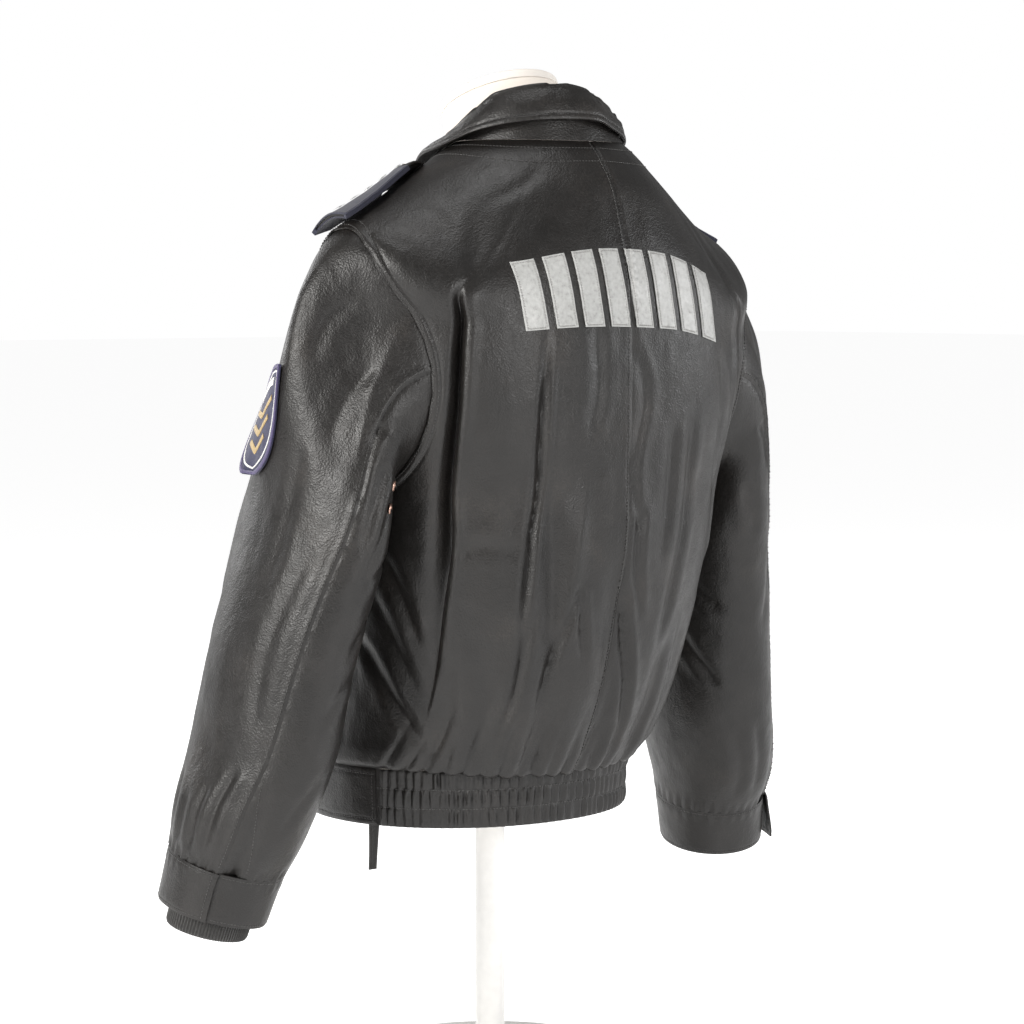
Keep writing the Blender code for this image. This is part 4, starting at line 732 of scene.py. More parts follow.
def epaulette_point(x, across, high):
    """Point of the epaulette's underside, metres across from its middle line."""
    share = (x - STRAP_INNER_X) / (STRAP_OUTER_X - STRAP_INNER_X)
    middle = STRAP_INNER_Y + share * (STRAP_OUTER_Y - STRAP_INNER_Y)
    y = middle + across
    rise = ramp(x, STRAP_INNER_X + 0.003, STRAP_INNER_X + 0.003 + STRAP_RISE)
    lift = STRAP_END_LIFT + (high - STRAP_END_LIFT) * rise
    return np.stack([x, y, strap_line(x, y) + lift], axis=-1)


def epaulette_normal(x, across, high):
    """Upward normal of the epaulette."""
    step = 0.003
    along = epaulette_point(x + step, across, high) - epaulette_point(x - step, across, high)
    side = epaulette_point(x, across + step, high) - epaulette_point(x, across - step, high)
    return unit(np.cross(along, side))


def angle_at_x(x, t):
    """Angle on the back where the torso surface has this sideways place."""
    wide = table(TORSO_COLUMNS, TORSO_ROWS, "t", "half_width", t)
    power = table(TORSO_COLUMNS, TORSO_ROWS, "t", "squareness", t) / 2
    middle = table(TORSO_COLUMNS, TORSO_ROWS, "t", "middle_x", t)
    c = np.sign(x - middle) * (np.abs(x - middle) / wide) ** power
    return np.degrees(np.arccos(np.clip(c, -1, 1)))


def back_columns(t):
    """Angles of the columns of a back panel at one height, middle of the back first."""
    line = float(table(PLEAT_COLUMNS, PLEAT_ROWS, "t", "angle", t))
    step = torso_base(np.array(line + 0.5), np.array(t)) - torso_base(np.array(line - 0.5), np.array(t))
    metre = 1.0 / float(np.linalg.norm(step))
    wide = float(table(PLEAT_COLUMNS, PLEAT_ROWS, "t", "outer_width", t))
    edge = float(armhole_angle(t, True))
    arcs = (-0.013, -0.0075, -0.0045, -0.0022, 0.0, 0.55 * wide, 1.15 * wide)
    folds = [line - arc * metre for arc in arcs]
    flat = list(np.linspace(90.0, folds[0], 10))
    side = [edge + share * (folds[-1] - edge) for share in (2 / 3, 1 / 3, 0.0)]
    return np.array(flat + folds[1:] + side)


def front_columns(t):
    """Angles of the columns of a front panel at one height, zip edge first."""
    wide = float(table(TORSO_COLUMNS, TORSO_ROWS, "t", "half_width", t))
    power = float(table(TORSO_COLUMNS, TORSO_ROWS, "t", "squareness", t)) / 2
    start = -math.degrees(math.acos((ZIP_HALF_GAP / wide) ** power))
    return np.linspace(start, float(armhole_angle(t, False)), 9)



CREASE_COLUMNS = ("depth", "width", "lip", "line")
# creases of the body: depth and width in millimetres, line as (angle, t)
BODY_CREASES = (
    (4.6, 4.2, 0.55, ((69.0, 0.76), (67.0, 0.63), (65.0, 0.56), (62.0, 0.47), (59.5, 0.40), (58.5, 0.28), (59.0, 0.19))),
    (4.0, 4.6, 0.45, ((62.5, 0.31), (59.5, 0.22), (59.0, 0.16), (57.0, 0.08))),
    (2.2, 7.0, 0.40, ((82.0, 0.74), (83.0, 0.63), (79.0, 0.56))),
    (-2.6, 8.0, 0.00, ((78.5, 0.52), (74.0, 0.38), (72.0, 0.25), (73.5, 0.13))),
    (2.6, 5.5, 0.40, ((89.5, 0.71), (92.0, 0.62), (90.5, 0.50), (93.5, 0.40))),
    (3.4, 5.0, 0.45, ((93.5, 0.46), (93.0, 0.37), (97.0, 0.26))),
    (4.8, 5.0, 0.50, ((90.0, 0.34), (92.0, 0.26), (96.5, 0.17), (101.0, 0.08))),
    (3.4, 4.2, 0.45, ((76.0, 0.34), (77.5, 0.28), (80.0, 0.20))),
    (3.2, 4.2, 0.45, ((76.0, 0.34), (73.0, 0.27), (69.0, 0.20), (68.0, 0.12))),
    (1.6, 7.0, 0.50, ((34.0, 0.385), (45.0, 0.398), (57.0, 0.386))),
    (3.2, 8.0, 0.45, ((7.0, 0.39), (17.0, 0.31), (28.0, 0.20))),
    (3.4, 7.0, 0.45, ((-4.0, 0.26), (17.0, 0.16), (40.0, 0.05))),
    (2.2, 8.0, 0.40, ((2.0, 0.33), (16.0, 0.235), (31.0, 0.13))),
    (2.8, 7.0, 0.45, ((121.0, 0.72), (130.0, 0.57), (138.0, 0.44))),
    (3.0, 7.0, 0.45, ((108.0, 0.64), (112.0, 0.46), (109.0, 0.30), (106.0, 0.18))),
    (2.4, 7.0, 0.40, ((101.0, 0.60), (103.0, 0.47), (101.0, 0.35))),
    (2.6, 7.0, 0.40, ((152.0, 0.44), (142.0, 0.30), (133.0, 0.16))),
    (2.8, 8.0, 0.40, ((172.0, 0.38), (160.0, 0.27), (150.0, 0.14))),
    (1.3, 9.0, 0.50, ((50.0, 0.80), (46.0, 0.87), (36.0, 0.92))),
    (1.4, 8.0, 0.50, ((128.0, 0.82), (134.0, 0.88), (146.0, 0.93))),
    (1.2, 6.0, 0.40, ((60.0, 0.965), (48.0, 0.93), (37.0, 0.91))),
    (2.4, 8.0, 0.40, ((-12.0, 0.42), (-24.0, 0.30), (-32.0, 0.16))),
    (2.6, 8.0, 0.40, ((-30.0, 0.50), (-40.0, 0.36), (-44.0, 0.20))),
    (2.2, 8.0, 0.40, ((192.0, 0.44), (206.0, 0.31), (214.0, 0.16))),
    (2.6, 8.0, 0.40, ((212.0, 0.52), (222.0, 0.38), (227.0, 0.20))),
    (1.8, 9.0, 0.40, ((-52.0, 0.80), (-60.0, 0.66), (-63.0, 0.50))),
    (1.8, 9.0, 0.40, ((232.0, 0.79), (240.0, 0.64), (242.0, 0.48))),
    (2.0, 7.0, 0.40, ((-66.0, 0.44), (-70.0, 0.30), (-72.0, 0.14))),
    (2.0, 7.0, 0.40, ((248.0, 0.40), (251.0, 0.27), (253.0, 0.12))),
)

BLOUSE_COLUMNS = ("angle", "lean", "reach", "depth", "width")
# folds that the waistband gathers: lean in degrees, depth and width in millimetres
BLOUSE_ROWS = (
    (23.5, 3.0, 0.15, 3.2, 4.6),
    (31.0, 4.0, 0.12, 2.6, 4.0),
    (38.0, 2.0, 0.17, 3.6, 4.6),
    (45.0, -2.0, 0.13, 3.0, 4.2),
    (51.0, 2.0, 0.20, 3.6, 4.4),
    (57.0, 2.0, 0.12, 3.0, 4.0),
    (63.5, -2.0, 0.18, 3.8, 4.2),
    (69.0, 1.0, 0.13, 3.0, 3.8),
    (74.5, 2.0, 0.22, 4.2, 4.4),
    (80.0, -1.0, 0.14, 3.2, 3.8),
    (85.0, 1.0, 0.17, 3.8, 4.0),
    (90.5, 2.0, 0.15, 4.0, 4.0),
    (96.0, -1.0, 0.13, 3.4, 3.8),
    (101.5, -3.0, 0.19, 4.2, 4.4),
    (107.0, -2.0, 0.14, 3.2, 4.0),
    (114.0, 1.0, 0.20, 3.8, 4.6),
    (121.0, 2.0, 0.13, 3.0, 4.2),
    (129.0, -2.0, 0.18, 3.8, 4.6),
    (137.0, 1.0, 0.14, 3.0, 4.4),
    (147.0, -3.0, 0.17, 3.4, 4.6),
    (156.0, -2.0, 0.13, 2.8, 4.4),
)

# creases of the left sleeve: line as (turn, v)
LEFT_CREASES = (
    (2.6, 5.5, 0.50, ((88.0, 0.16), (74.0, 0.22), (66.0, 0.30), (63.0, 0.38))),
    (2.4, 6.0, 0.45, ((100.0, 0.22), (88.0, 0.29), (80.0, 0.37), (76.0, 0.46))),
    (2.6, 6.0, 0.45, ((118.0, 0.26), (104.0, 0.34), (94.0, 0.44), (86.0, 0.54))),
    (2.0, 7.0, 0.40, ((62.0, 0.10), (50.0, 0.20), (40.0, 0.31))),
    (1.6, 7.0, 0.40, ((40.0, 0.06), (30.0, 0.13), (26.0, 0.22))),
    (1.6, 8.0, 0.40, ((24.0, 0.30), (14.0, 0.42), (12.0, 0.55))),
    (1.8, 8.0, 0.40, ((40.0, 0.44), (30.0, 0.55), (26.0, 0.66), (30.0, 0.76))),
    (2.4, 6.0, 0.45, ((140.0, 0.42), (112.0, 0.47), (86.0, 0.50))),
    (2.2, 6.0, 0.45, ((150.0, 0.52), (120.0, 0.56), (96.0, 0.62))),
    (2.0, 6.0, 0.45, ((130.0, 0.64), (104.0, 0.66), (78.0, 0.72))),
    (2.0, 5.5, 0.45, ((110.0, 0.78), (92.0, 0.83), (80.0, 0.91))),
    (2.4, 5.0, 0.45, ((26.0, 0.80), (22.0, 0.88), (24.0, 0.97))),
    (2.2, 5.0, 0.45, ((8.0, 0.84), (6.0, 0.91), (8.0, 0.985))),
    (1.8, 5.0, 0.45, ((-12.0, 0.87), (-10.0, 0.93), (-12.0, 0.985))),
    (1.8, 6.0, 0.45, ((-34.0, 0.84), (-30.0, 0.92), (-32.0, 0.985))),
    (1.6, 8.0, 0.40, ((-60.0, 0.30), (-72.0, 0.42), (-78.0, 0.55))),
    (1.6, 8.0, 0.40, ((-90.0, 0.46), (-104.0, 0.52), (-118.0, 0.56))),
    (1.6, 8.0, 0.40, ((-40.0, 0.52), (-58.0, 0.60), (-84.0, 0.64))),
    (2.2, 6.0, 0.45, ((186.0, 0.38), (210.0, 0.44), (232.0, 0.48))),
    (2.2, 6.0, 0.45, ((190.0, 0.50), (214.0, 0.54), (236.0, 0.60))),
)
# creases of the right sleeve, in the left sleeve's coordinates
RIGHT_CREASES = (
    (3.4, 6.0, 0.50, ((176.0, 0.61), (160.0, 0.655), (142.0, 0.70), (128.0, 0.73))),
    (2.4, 7.0, 0.45, ((170.0, 0.50), (146.0, 0.56), (124.0, 0.60))),
    (2.4, 6.0, 0.45, ((88.0, 0.17), (78.0, 0.24), (72.0, 0.33))),
    (2.2, 7.0, 0.45, ((112.0, 0.28), (100.0, 0.37), (92.0, 0.47))),
    (2.0, 7.0, 0.40, ((60.0, 0.12), (48.0, 0.22), (42.0, 0.33))),
    (1.8, 8.0, 0.40, ((56.0, 0.46), (66.0, 0.56), (84.0, 0.64))),
    (2.2, 6.0, 0.45, ((120.0, 0.80), (112.0, 0.88), (114.0, 0.97))),
    (2.0, 6.0, 0.45, ((96.0, 0.78), (90.0, 0.87), (92.0, 0.96))),
    (1.8, 6.0, 0.45, ((20.0, 0.82), (16.0, 0.90), (18.0, 0.98))),
    (1.8, 6.0, 0.45, ((-20.0, 0.84), (-22.0, 0.92), (-20.0, 0.98))),
    (1.6, 8.0, 0.40, ((-50.0, 0.34), (-66.0, 0.46), (-74.0, 0.58))),
    (1.8, 8.0, 0.40, ((-30.0, 0.50), (-50.0, 0.58), (-80.0, 0.63))),
    (2.2, 6.0, 0.45, ((190.0, 0.44), (214.0, 0.50), (236.0, 0.56))),
)

# fine grids: rows under, beside and over the armhole, and columns per coarse step
LOW_ROWS = 92
BESIDE_ROWS = 68
HIGH_ROWS = 26
SLEEVE_ROW_COUNT = 190
UPPER_COLUMNS = 104
UNDER_COLUMNS = 76
STITCH_PITCH = 0.0034
STITCH_LENGTH = 0.0024
STITCH_RADIUS = 0.00042
SEAM_PUCKER = 0.0074
ARMHOLE_TURNS = np.linspace(-200.0, 560.0, 1521)
ARMHOLE_FRAMES = []


def armhole_frame_exact(turn):
    """Edge point, direction into the panel and torso normal round the armhole."""
    angle, t = armhole(turn)
    point = torso(angle, t)
    ahead = torso(*armhole(turn + 1.0)) - torso(*armhole(turn - 1.0))
    normal = torso_normal(angle, t)
    inward = unit(np.cross(normal, ahead))
    centre = torso_base(np.zeros_like(t), np.full_like(t, ARMHOLE_MIDDLE))
    away = np.sum(inward * (point - centre), axis=-1, keepdims=True)
    return point, inward * np.sign(away), normal


def armhole_frame(turn):
    """The armhole frame between close-set directions that are worked out once."""
    if not ARMHOLE_FRAMES:
        ARMHOLE_FRAMES.extend(armhole_frame_exact(ARMHOLE_TURNS))
    turn = np.asarray(turn, dtype=float)
    parts = []
    for values in ARMHOLE_FRAMES:
        parts.append(np.stack([np.interp(turn, ARMHOLE_TURNS, values[:, axis]) for axis in range(3)], axis=-1))
    return parts[0], unit(parts[1]), unit(parts[2])


def torso(angle, t):
    """Torso surface with its pleats and large folds, as the solids have it."""
    angle, t = np.broadcast_arrays(np.asarray(angle, dtype=float), np.asarray(t, dtype=float))
    move = pleat_offset(angle, t) + back_fold_offset(angle, t)
    return torso_base(angle, t) + torso_base_normal(angle, t) * move[..., None]


def torso_normal(angle, t):
    """Outward normal of the torso surface."""
    angle, t = np.broadcast_arrays(np.asarray(angle, dtype=float), np.asarray(t, dtype=float))
    low = np.clip(t - 0.002, 0.0, 1.0)
    high = np.clip(t + 0.002, 0.0, 1.0)
    along = torso(angle + 0.25, t) - torso(angle - 0.25, t)
    up = torso(angle, high) - torso(angle, low)
    return unit(np.cross(along, up))


def sleeve(turn, v):
    """Sleeve surface with the vent fold above the cuff."""
    turn, v = np.broadcast_arrays(np.asarray(turn, dtype=float), np.asarray(v, dtype=float))
    move = sleeve_offset(turn, v)[..., None]
    return sleeve_plain(turn, v) + sleeve_normal_of(sleeve_plain, turn, v) * move


def mirrored(points):
    """The same points on the wearer's right side."""
    return points * np.array([-1.0, 1.0, 1.0])


def lattice(points, size, seed):
    """Smooth noise from -1 to 1: random corner values of a grid, eased between corners."""
    cell = np.asarray(points) / size
    low = np.floor(cell)
    part = cell - low
    part = part * part * (3 - 2 * part)
    total = 0.0
    for corner in range(8):
        step = np.array([corner & 1, (corner >> 1) & 1, corner >> 2], dtype=float)
        place = low + step
        wave = place @ np.array([127.1, 311.7, 74.7]) + seed * 17.3
        value = np.modf(np.abs(np.sin(wave) * 43758.5453))[0]
        weight = np.prod(np.where(step > 0, part, 1 - part), axis=-1)
        total = total + value * weight
    return 2 * total - 1


def crumple(points, seed, amount):
    """Uneven surface of worn leather: soft waves, stretched along Z, and finer dents."""
    tall = points * np.array([1.0, 1.0, 0.55])
    wave = 0.62 * lattice(tall, 0.034, seed) + 0.30 * lattice(tall, 0.015, seed + 1)
    sharp = 1 - np.abs(lattice(tall, 0.021, seed + 2)) * 2
    return amount * (wave + 0.22 * sharp + 0.10 * lattice(points, 0.007, seed + 3))


def crease_move(base, outward, surface, rows):
    """Sum of troughs with a raised lip beside each, by the distance to each crease's line."""
    total = np.zeros(base.shape[:-1])
    for crease in named(CREASE_COLUMNS, rows):
        knots = np.array(crease["line"], dtype=float)
        where = np.linspace(0, len(knots) - 1, 8 * (len(knots) - 1) + 1)
        index = np.arange(len(knots), dtype=float)
        line = surface(smooth(index, knots[:, 0], where), smooth(index, knots[:, 1], where))
        width = crease["width"] / 1000
        reach = 5 * width
        near = np.all((base > line.min(axis=0) - reach) & (base < line.max(axis=0) + reach), axis=-1)
        if not near.any():
            continue
        points = base[near]
        best = np.full(len(points), 9.0)
        side = np.zeros(len(points))
        share = np.zeros(len(points))
        for step in range(len(line) - 1):
            run = line[step + 1] - line[step]
            f = np.clip((points - line[step]) @ run / max(run @ run, 1e-12), 0.0, 1.0)
            away = points - line[step] - f[:, None] * run
            distance = np.linalg.norm(away, axis=-1)
            closer = distance < best
            turn = np.sum(np.cross(outward[near], run) * away, axis=-1)
            side = np.where(closer, np.sign(turn), side)
            share = np.where(closer, (step + f) / (len(line) - 1), share)
            best = np.where(closer, distance, best)
        fade = ramp(share, 0.0, 0.22) * (1 - ramp(share, 0.74, 1.0))
        trough = -np.exp(-(best / width) ** 1.5)
        lip = crease["lip"] * np.exp(-((side * best - 1.9 * width) / (1.1 * width)) ** 2)
        far = 0.5 * crease["lip"] * np.exp(-((side * best + 2.1 * width) / (1.3 * width)) ** 2)
        total[near] = total[near] + crease["depth"] / 1000 * fade * (trough + lip + far)
    return total


def line_distance(points, line):
    """Distance of each point to the nearest of the line's close-set points."""
    best = np.full(points.shape[:-1], 9.0)
    for spot in line:
        best = np.minimum(best, np.linalg.norm(points - spot, axis=-1))
    return best


def blouse_move(angle, t, base):
    """Gathered folds that rise from the waistband and fade out upward."""
    total = np.zeros(angle.shape)
    for fold in named(BLOUSE_COLUMNS, BLOUSE_ROWS):
        line = fold["angle"] + fold["lean"] * t / fold["reach"]
        arc = (angle - line) * math.pi / 180 * 0.168 * 1000
        fade = ramp(t, -0.004, 0.014) * (1 - ramp(t, 0.25 * fold["reach"], fold["reach"]))
        total = total - fold["depth"] / 1000 * fade * np.exp(-(np.abs(arc) / fold["width"]) ** 1.6)
    swell = 0.0016 * ramp(t, 0.0, 0.02) * (1 - ramp(t, 0.05, 0.16))
    return total + swell * ramp(angle, 15.0, 25.0) * (1 - ramp(angle, 155.0, 168.0))


def body_dressed(angle, t, sizes):
    """Outer points of the dressed body and their outward directions."""
    angle, t = np.broadcast_arrays(np.asarray(angle, dtype=float), np.asarray(t, dtype=float))
    base = torso(angle, t)
    outward = torso_base_normal(angle, t)
    move = crease_move(base, outward, torso, BODY_CREASES) * sizes.crease
    move = move + blouse_move(angle, t, base) * sizes.crease
    calm = 0.35 + 0.65 * (1 - ramp(t, 0.80, 0.95))
    move = move + crumple(base, 3, sizes.crumple) * calm
    turns = np.linspace(0.0, 360.0, 160)
    edge = torso(*armhole(turns))
    for flip in (1.0, -1.0):
        hole = line_distance(base, edge * np.array([flip, 1.0, 1.0]))
        move = move + 0.0016 * np.exp(-((hole - 0.0035) / 0.0030) ** 4)
        move = move - 0.0006 * np.exp(-((hole - 0.0085) / 0.0014) ** 2)
    seam = np.abs(base[..., 0] - torso(np.full_like(t, 90.0), t)[..., 0])
    back = angle > 45.0
    back = back & (angle < 135.0)
    wave = 0.5 + 0.5 * np.sin(2 * math.pi * base[..., 2] / SEAM_PUCKER)
    welt = 0.0007 * np.exp(-((seam - 0.0045) / 0.0026) ** 2) * (0.4 + 0.9 * wave)
    welt = welt - 0.0011 * np.exp(-(seam / 0.0016) ** 2)
    move = move + np.where(back, welt, 0.0)
    neck = (1.0 - t) * 0.33
    move = move + 0.0008 * np.exp(-((neck - 0.006) / 0.0045) ** 4) * ramp(t, 0.9, 0.99)
    return base + outward * move[..., None], outward


def sleeve_dressed(turn, v, right, sizes):
    """Outer points of a dressed sleeve in the left sleeve's place, and their directions."""
    turn, v = np.broadcast_arrays(np.asarray(turn, dtype=float), np.asarray(v, dtype=float))
    base = sleeve(turn, v)
    outward = sleeve_normal_of(sleeve_plain, turn, v)
    rows = RIGHT_CREASES if right else LEFT_CREASES
    move = crease_move(base, outward, sleeve, rows) * sizes.crease
    calm = ramp(v, 0.0, 0.06) * (1 - 0.7 * ramp(v, 0.96, 1.0))
    move = move + crumple(base, 23 if right else 11, sizes.crumple) * calm
    edge = torso(*armhole(np.linspace(0.0, 360.0, 160)))
    hole = line_distance(base, edge)
    move = move - 0.0010 * np.exp(-(hole / 0.0035) ** 2)
    places = np.linspace(0.01, 1.0, 220)
    rear = table(SEAM_ANGLE_COLUMNS, SEAM_ANGLE_ROWS, "v", "rear", places)
    seam = line_distance(base, sleeve(rear, places))
    own = table(SEAM_ANGLE_COLUMNS, SEAM_ANGLE_ROWS, "v", "rear", v)
    outer_side = turn < own
    wave = 0.5 + 0.5 * np.sin(2 * math.pi * v / 0.0125)
    welt = 0.0009 * np.exp(-((seam - 0.0045) / 0.0028) ** 2) * (0.35 + 0.9 * wave)
    welt = np.where(outer_side, welt + 0.0004 * np.exp(-(seam / 0.009) ** 4), 0.0)
    move = move + welt - 0.0010 * np.exp(-(seam / 0.0013) ** 2)
    gather = 0.0009 * ramp(v, 0.955, 1.0) * np.sin(np.radians(turn) * 34.0)
    return base + outward * (move + gather)[..., None], outward


def grid_normals(points, outward):
    """Unit normals of a grid of points, on the side of the given directions."""
    across = np.gradient(points, axis=1)
    along = np.gradient(points, axis=0)
    normal = unit(np.cross(across, along))
    sign = np.sign(np.sum(normal * outward, axis=-1, keepdims=True))
    return normal * np.where(sign == 0, 1.0, sign)


def placed(points):
    """Points in the row frame, with the hang of the jacket."""
    return hang(np.asarray(points, dtype=float)) + np.array([0.0, SHOULDER_BACK, SHOULDER_HEIGHT])


def make_object(name, points, faces, material, slot, replaced=(), body=BODY, smooth_angle=48.0):
    """One object of the jacket: a mesh with its material, riding on its body."""
    mesh = bpy.data.meshes.new(name)
    mesh.from_pydata(np.asarray(points).tolist(), [], np.asarray(faces).tolist() if isinstance(faces, np.ndarray) else faces)
    mesh.validate()
    mesh.shade_smooth()
    mesh.set_sharp_from_angle(angle=math.radians(smooth_angle))
    mesh.materials.append(material)
    obj = bpy.data.objects.new(name, mesh)
    bpy.context.scene.collection.objects.link(obj)
    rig.ride(obj, body)
    if replaced:
        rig.replaces(obj, *replaced)
    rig.slot(obj, slot)
    return obj


def shell_faces(rows, columns, around):
    """Faces of a closed thin wall: both sides and the rims, as rows of four corners."""
    row = np.arange(rows - 1)[:, None]
    last = columns if around else columns - 1
    place = np.arange(last)[None, :]
    after = (place + 1) % columns
    quads = np.stack([row * columns + place + 0 * row, row * columns + after,
                      (row + 1) * columns + after, (row + 1) * columns + place], axis=-1).reshape(-1, 4)
    count = rows * columns
    faces = [quads, quads[:, ::-1] + count]
    edge = np.arange(last)
    after = (edge + 1) % columns
    first = np.stack([edge, edge + count, after + count, after], axis=-1)
    base = (rows - 1) * columns
    final = np.stack([base + after, base + after + count, base + edge + count, base + edge], axis=-1)
    faces = faces + [first, final]
    if not around:
        step = np.arange(rows - 1) * columns
        left = np.stack([step, step + columns, step + columns + count, step + count], axis=-1)
        far = step + columns - 1
        right = np.stack([far, far + count, far + columns + count, far + columns], axis=-1)
        faces = faces + [left, right]
    return np.concatenate(faces)


def shell(name, outer, inner, material, slot, replaced=(), around=False, body=BODY):
    """A closed thin wall between two grids, turned so that its faces look outward."""
    rows, columns = outer.shape[:2]
    points = np.concatenate([outer.reshape(-1, 3), inner.reshape(-1, 3)])
    faces = shell_faces(rows, columns, around)
    middle = (rows // 2) * columns + columns // 3
    a = points[middle]
    normal = np.cross(points[middle + 1] - a, points[middle + columns] - a)
    if np.dot(normal, a - points[middle + rows * columns]) < 0:
        faces = faces[:, ::-1]
    return make_object(name, points, faces, material, slot, replaced, body)


def spread(count, coarse):
    """Positions along coarse columns: count fine steps in each, ends kept."""
    return np.interp(np.linspace(0, len(coarse) - 1, count), np.arange(len(coarse)), coarse)


def panel_grid(back):
    """Angles and heights of a fine body panel."""
    low = np.linspace(0.0, ARMHOLE_MIDDLE - ARMHOLE_HALF_HEIGHT, LOW_ROWS)[:-1]
    beside = ARMHOLE_MIDDLE - ARMHOLE_HALF_HEIGHT * np.cos(np.linspace(0.0, math.pi, BESIDE_ROWS))
    high = np.linspace(ARMHOLE_MIDDLE + ARMHOLE_HALF_HEIGHT, 1.0, HIGH_ROWS)[1:]
    heights = np.concatenate([low, beside, high])
    rows = []
    for t in heights:
        if back:
            coarse = back_columns(float(t))
            rows.append(np.concatenate([spread(70, coarse[:10])[:-1], spread(25, coarse[9:16])[:-1],
                                        spread(30, coarse[15:])]))
        else:
            rows.append(spread(70, front_columns(float(t))))
    angles = np.stack(rows)
    return angles, np.repeat(heights[:, None], angles.shape[1], axis=1)


# flat cut of a piece: width, length and area in metres
PANEL_CUTS = {
    "back": (0.33, 0.62, 0.169),
    "front": (0.30, 0.60, 0.149),
    "upper_sleeve": (0.27, 0.63, 0.128),
    "under_sleeve": (0.20, 0.56, 0.095),
}




def make_panels(sizes, materials):
    """Back and front panels: points = torso(angle, t) + direction * (folds + creases + crumple)."""
    for back, word in ((True, "back"), (False, "front")):
        for side, flip in SIDES:
            angles, heights = panel_grid(back)
            if flip < 0:
                angles = 180.0 - angles
            outer, outward = body_dressed(angles, heights, sizes)
            inner = outer - grid_normals(outer, outward) * sizes.leather
            name = "dressed_%s_%s" % (word, side)
            obj = shell(name, placed(outer), placed(inner), materials["leather"], "black_leather",
                        ["%s_panel_%s" % (word, side)])
            wide, tall, area = PANEL_CUTS[word]
            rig.sheet(obj, flat=(wide, tall), held="hung", rests_on=["form_torso"], area=area)


def sleeve_grid(first, last, first_turn, last_turn, columns):
    """Angles and heights of a fine sleeve piece between two seams."""
    v = np.linspace(0.0, 1.0, SLEEVE_ROW_COUNT) ** 1.04
    begin = table(SEAM_ANGLE_COLUMNS, SEAM_ANGLE_ROWS, "v", first, v)
    finish = table(SEAM_ANGLE_COLUMNS, SEAM_ANGLE_ROWS, "v", last, v)
    begin = begin + first_turn - begin[0]
    finish = finish + last_turn - finish[0]
    share = np.linspace(0.0, 1.0, columns)
    turns = begin[:, None] + (finish - begin)[:, None] * share[None, :]
    return turns, np.repeat(v[:, None], columns, axis=1)


def make_sleeves(sizes, materials):
    """Upper and under sleeves: points = sleeve(turn, v) + direction * (creases + crumple + seam)."""
    pieces = (
        ("upper_sleeve", ("front", "rear", -108.0, 90.0, UPPER_COLUMNS)),
        ("under_sleeve", ("rear", "front", 90.0, 252.0, UNDER_COLUMNS)),
    )
    for word, limits in pieces:
        turns, v = sleeve_grid(*limits)
        for side, flip in SIDES:
            outer, outward = sleeve_dressed(turns, v, flip < 0, sizes)
            inner = outer - grid_normals(outer, outward) * sizes.leather
            mirror = np.array([flip, 1.0, 1.0])
            obj = shell("dressed_%s_%s" % (word, side), placed(outer * mirror), placed(inner * mirror),
                        materials["leather"], "black_leather", ["%s_%s" % (word, side)])
            wide, tall, area = PANEL_CUTS[word]
            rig.sheet(obj, flat=(wide, tall), held="hung", rests_on=["form_torso"], area=area)


def cuff_surface(side):
    """Turns, heights, outer points and directions of a leather cuff on a fine grid."""
    share = np.linspace(0.0, 1.0, 220)
    rear = float(table(SEAM_ANGLE_COLUMNS, SEAM_ANGLE_ROWS, "v", "rear", SLEEVE_END))
    turns = rear - (360.0 + CUFF_OVERLAP) * share
    heights = np.linspace(SLEEVE_END, CUFF_END, 34)
    grid_turn, grid_v = np.meshgrid(turns, heights)
    base = sleeve_ring(grid_turn, grid_v)
    normals = sleeve_normal_of(sleeve_ring, grid_turn, grid_v)
    down = (grid_v - SLEEVE_END) / (CUFF_END - SLEEVE_END)
    lift = CUFF_LIFT * (1 - ramp(share, 0.05, 0.16))[None, :] * np.ones_like(grid_v)
    if side == "right":
        flare = OPEN_CUFF_FLARE * np.clip(1 - share / 0.10, 0.0, 1.0) ** 2
        lift = lift + flare[None, :] * (0.25 + 0.75 * down)
    roll = 0.0009 * (1 - np.exp(-((down * (1 - down)) / 0.035) ** 2)) - 0.0003
    stitch = -0.0006 * (np.exp(-((down - 0.07) / 0.022) ** 2) + np.exp(-((down - 0.93) / 0.022) ** 2))
    wave = np.sin(np.radians(grid_turn) * 30.0) * np.exp(-((down - 0.16) / 0.10) ** 2) * 0.0006
    wave = wave * (0.5 + 0.5 * lattice(base, 0.03, 5))
    dent = crumple(base, 31 if side == "left" else 37, 0.0006) * 4 * down * (1 - down)
    base = base + normals * (lift + roll + stitch + wave + dent)[..., None]
    return base, normals


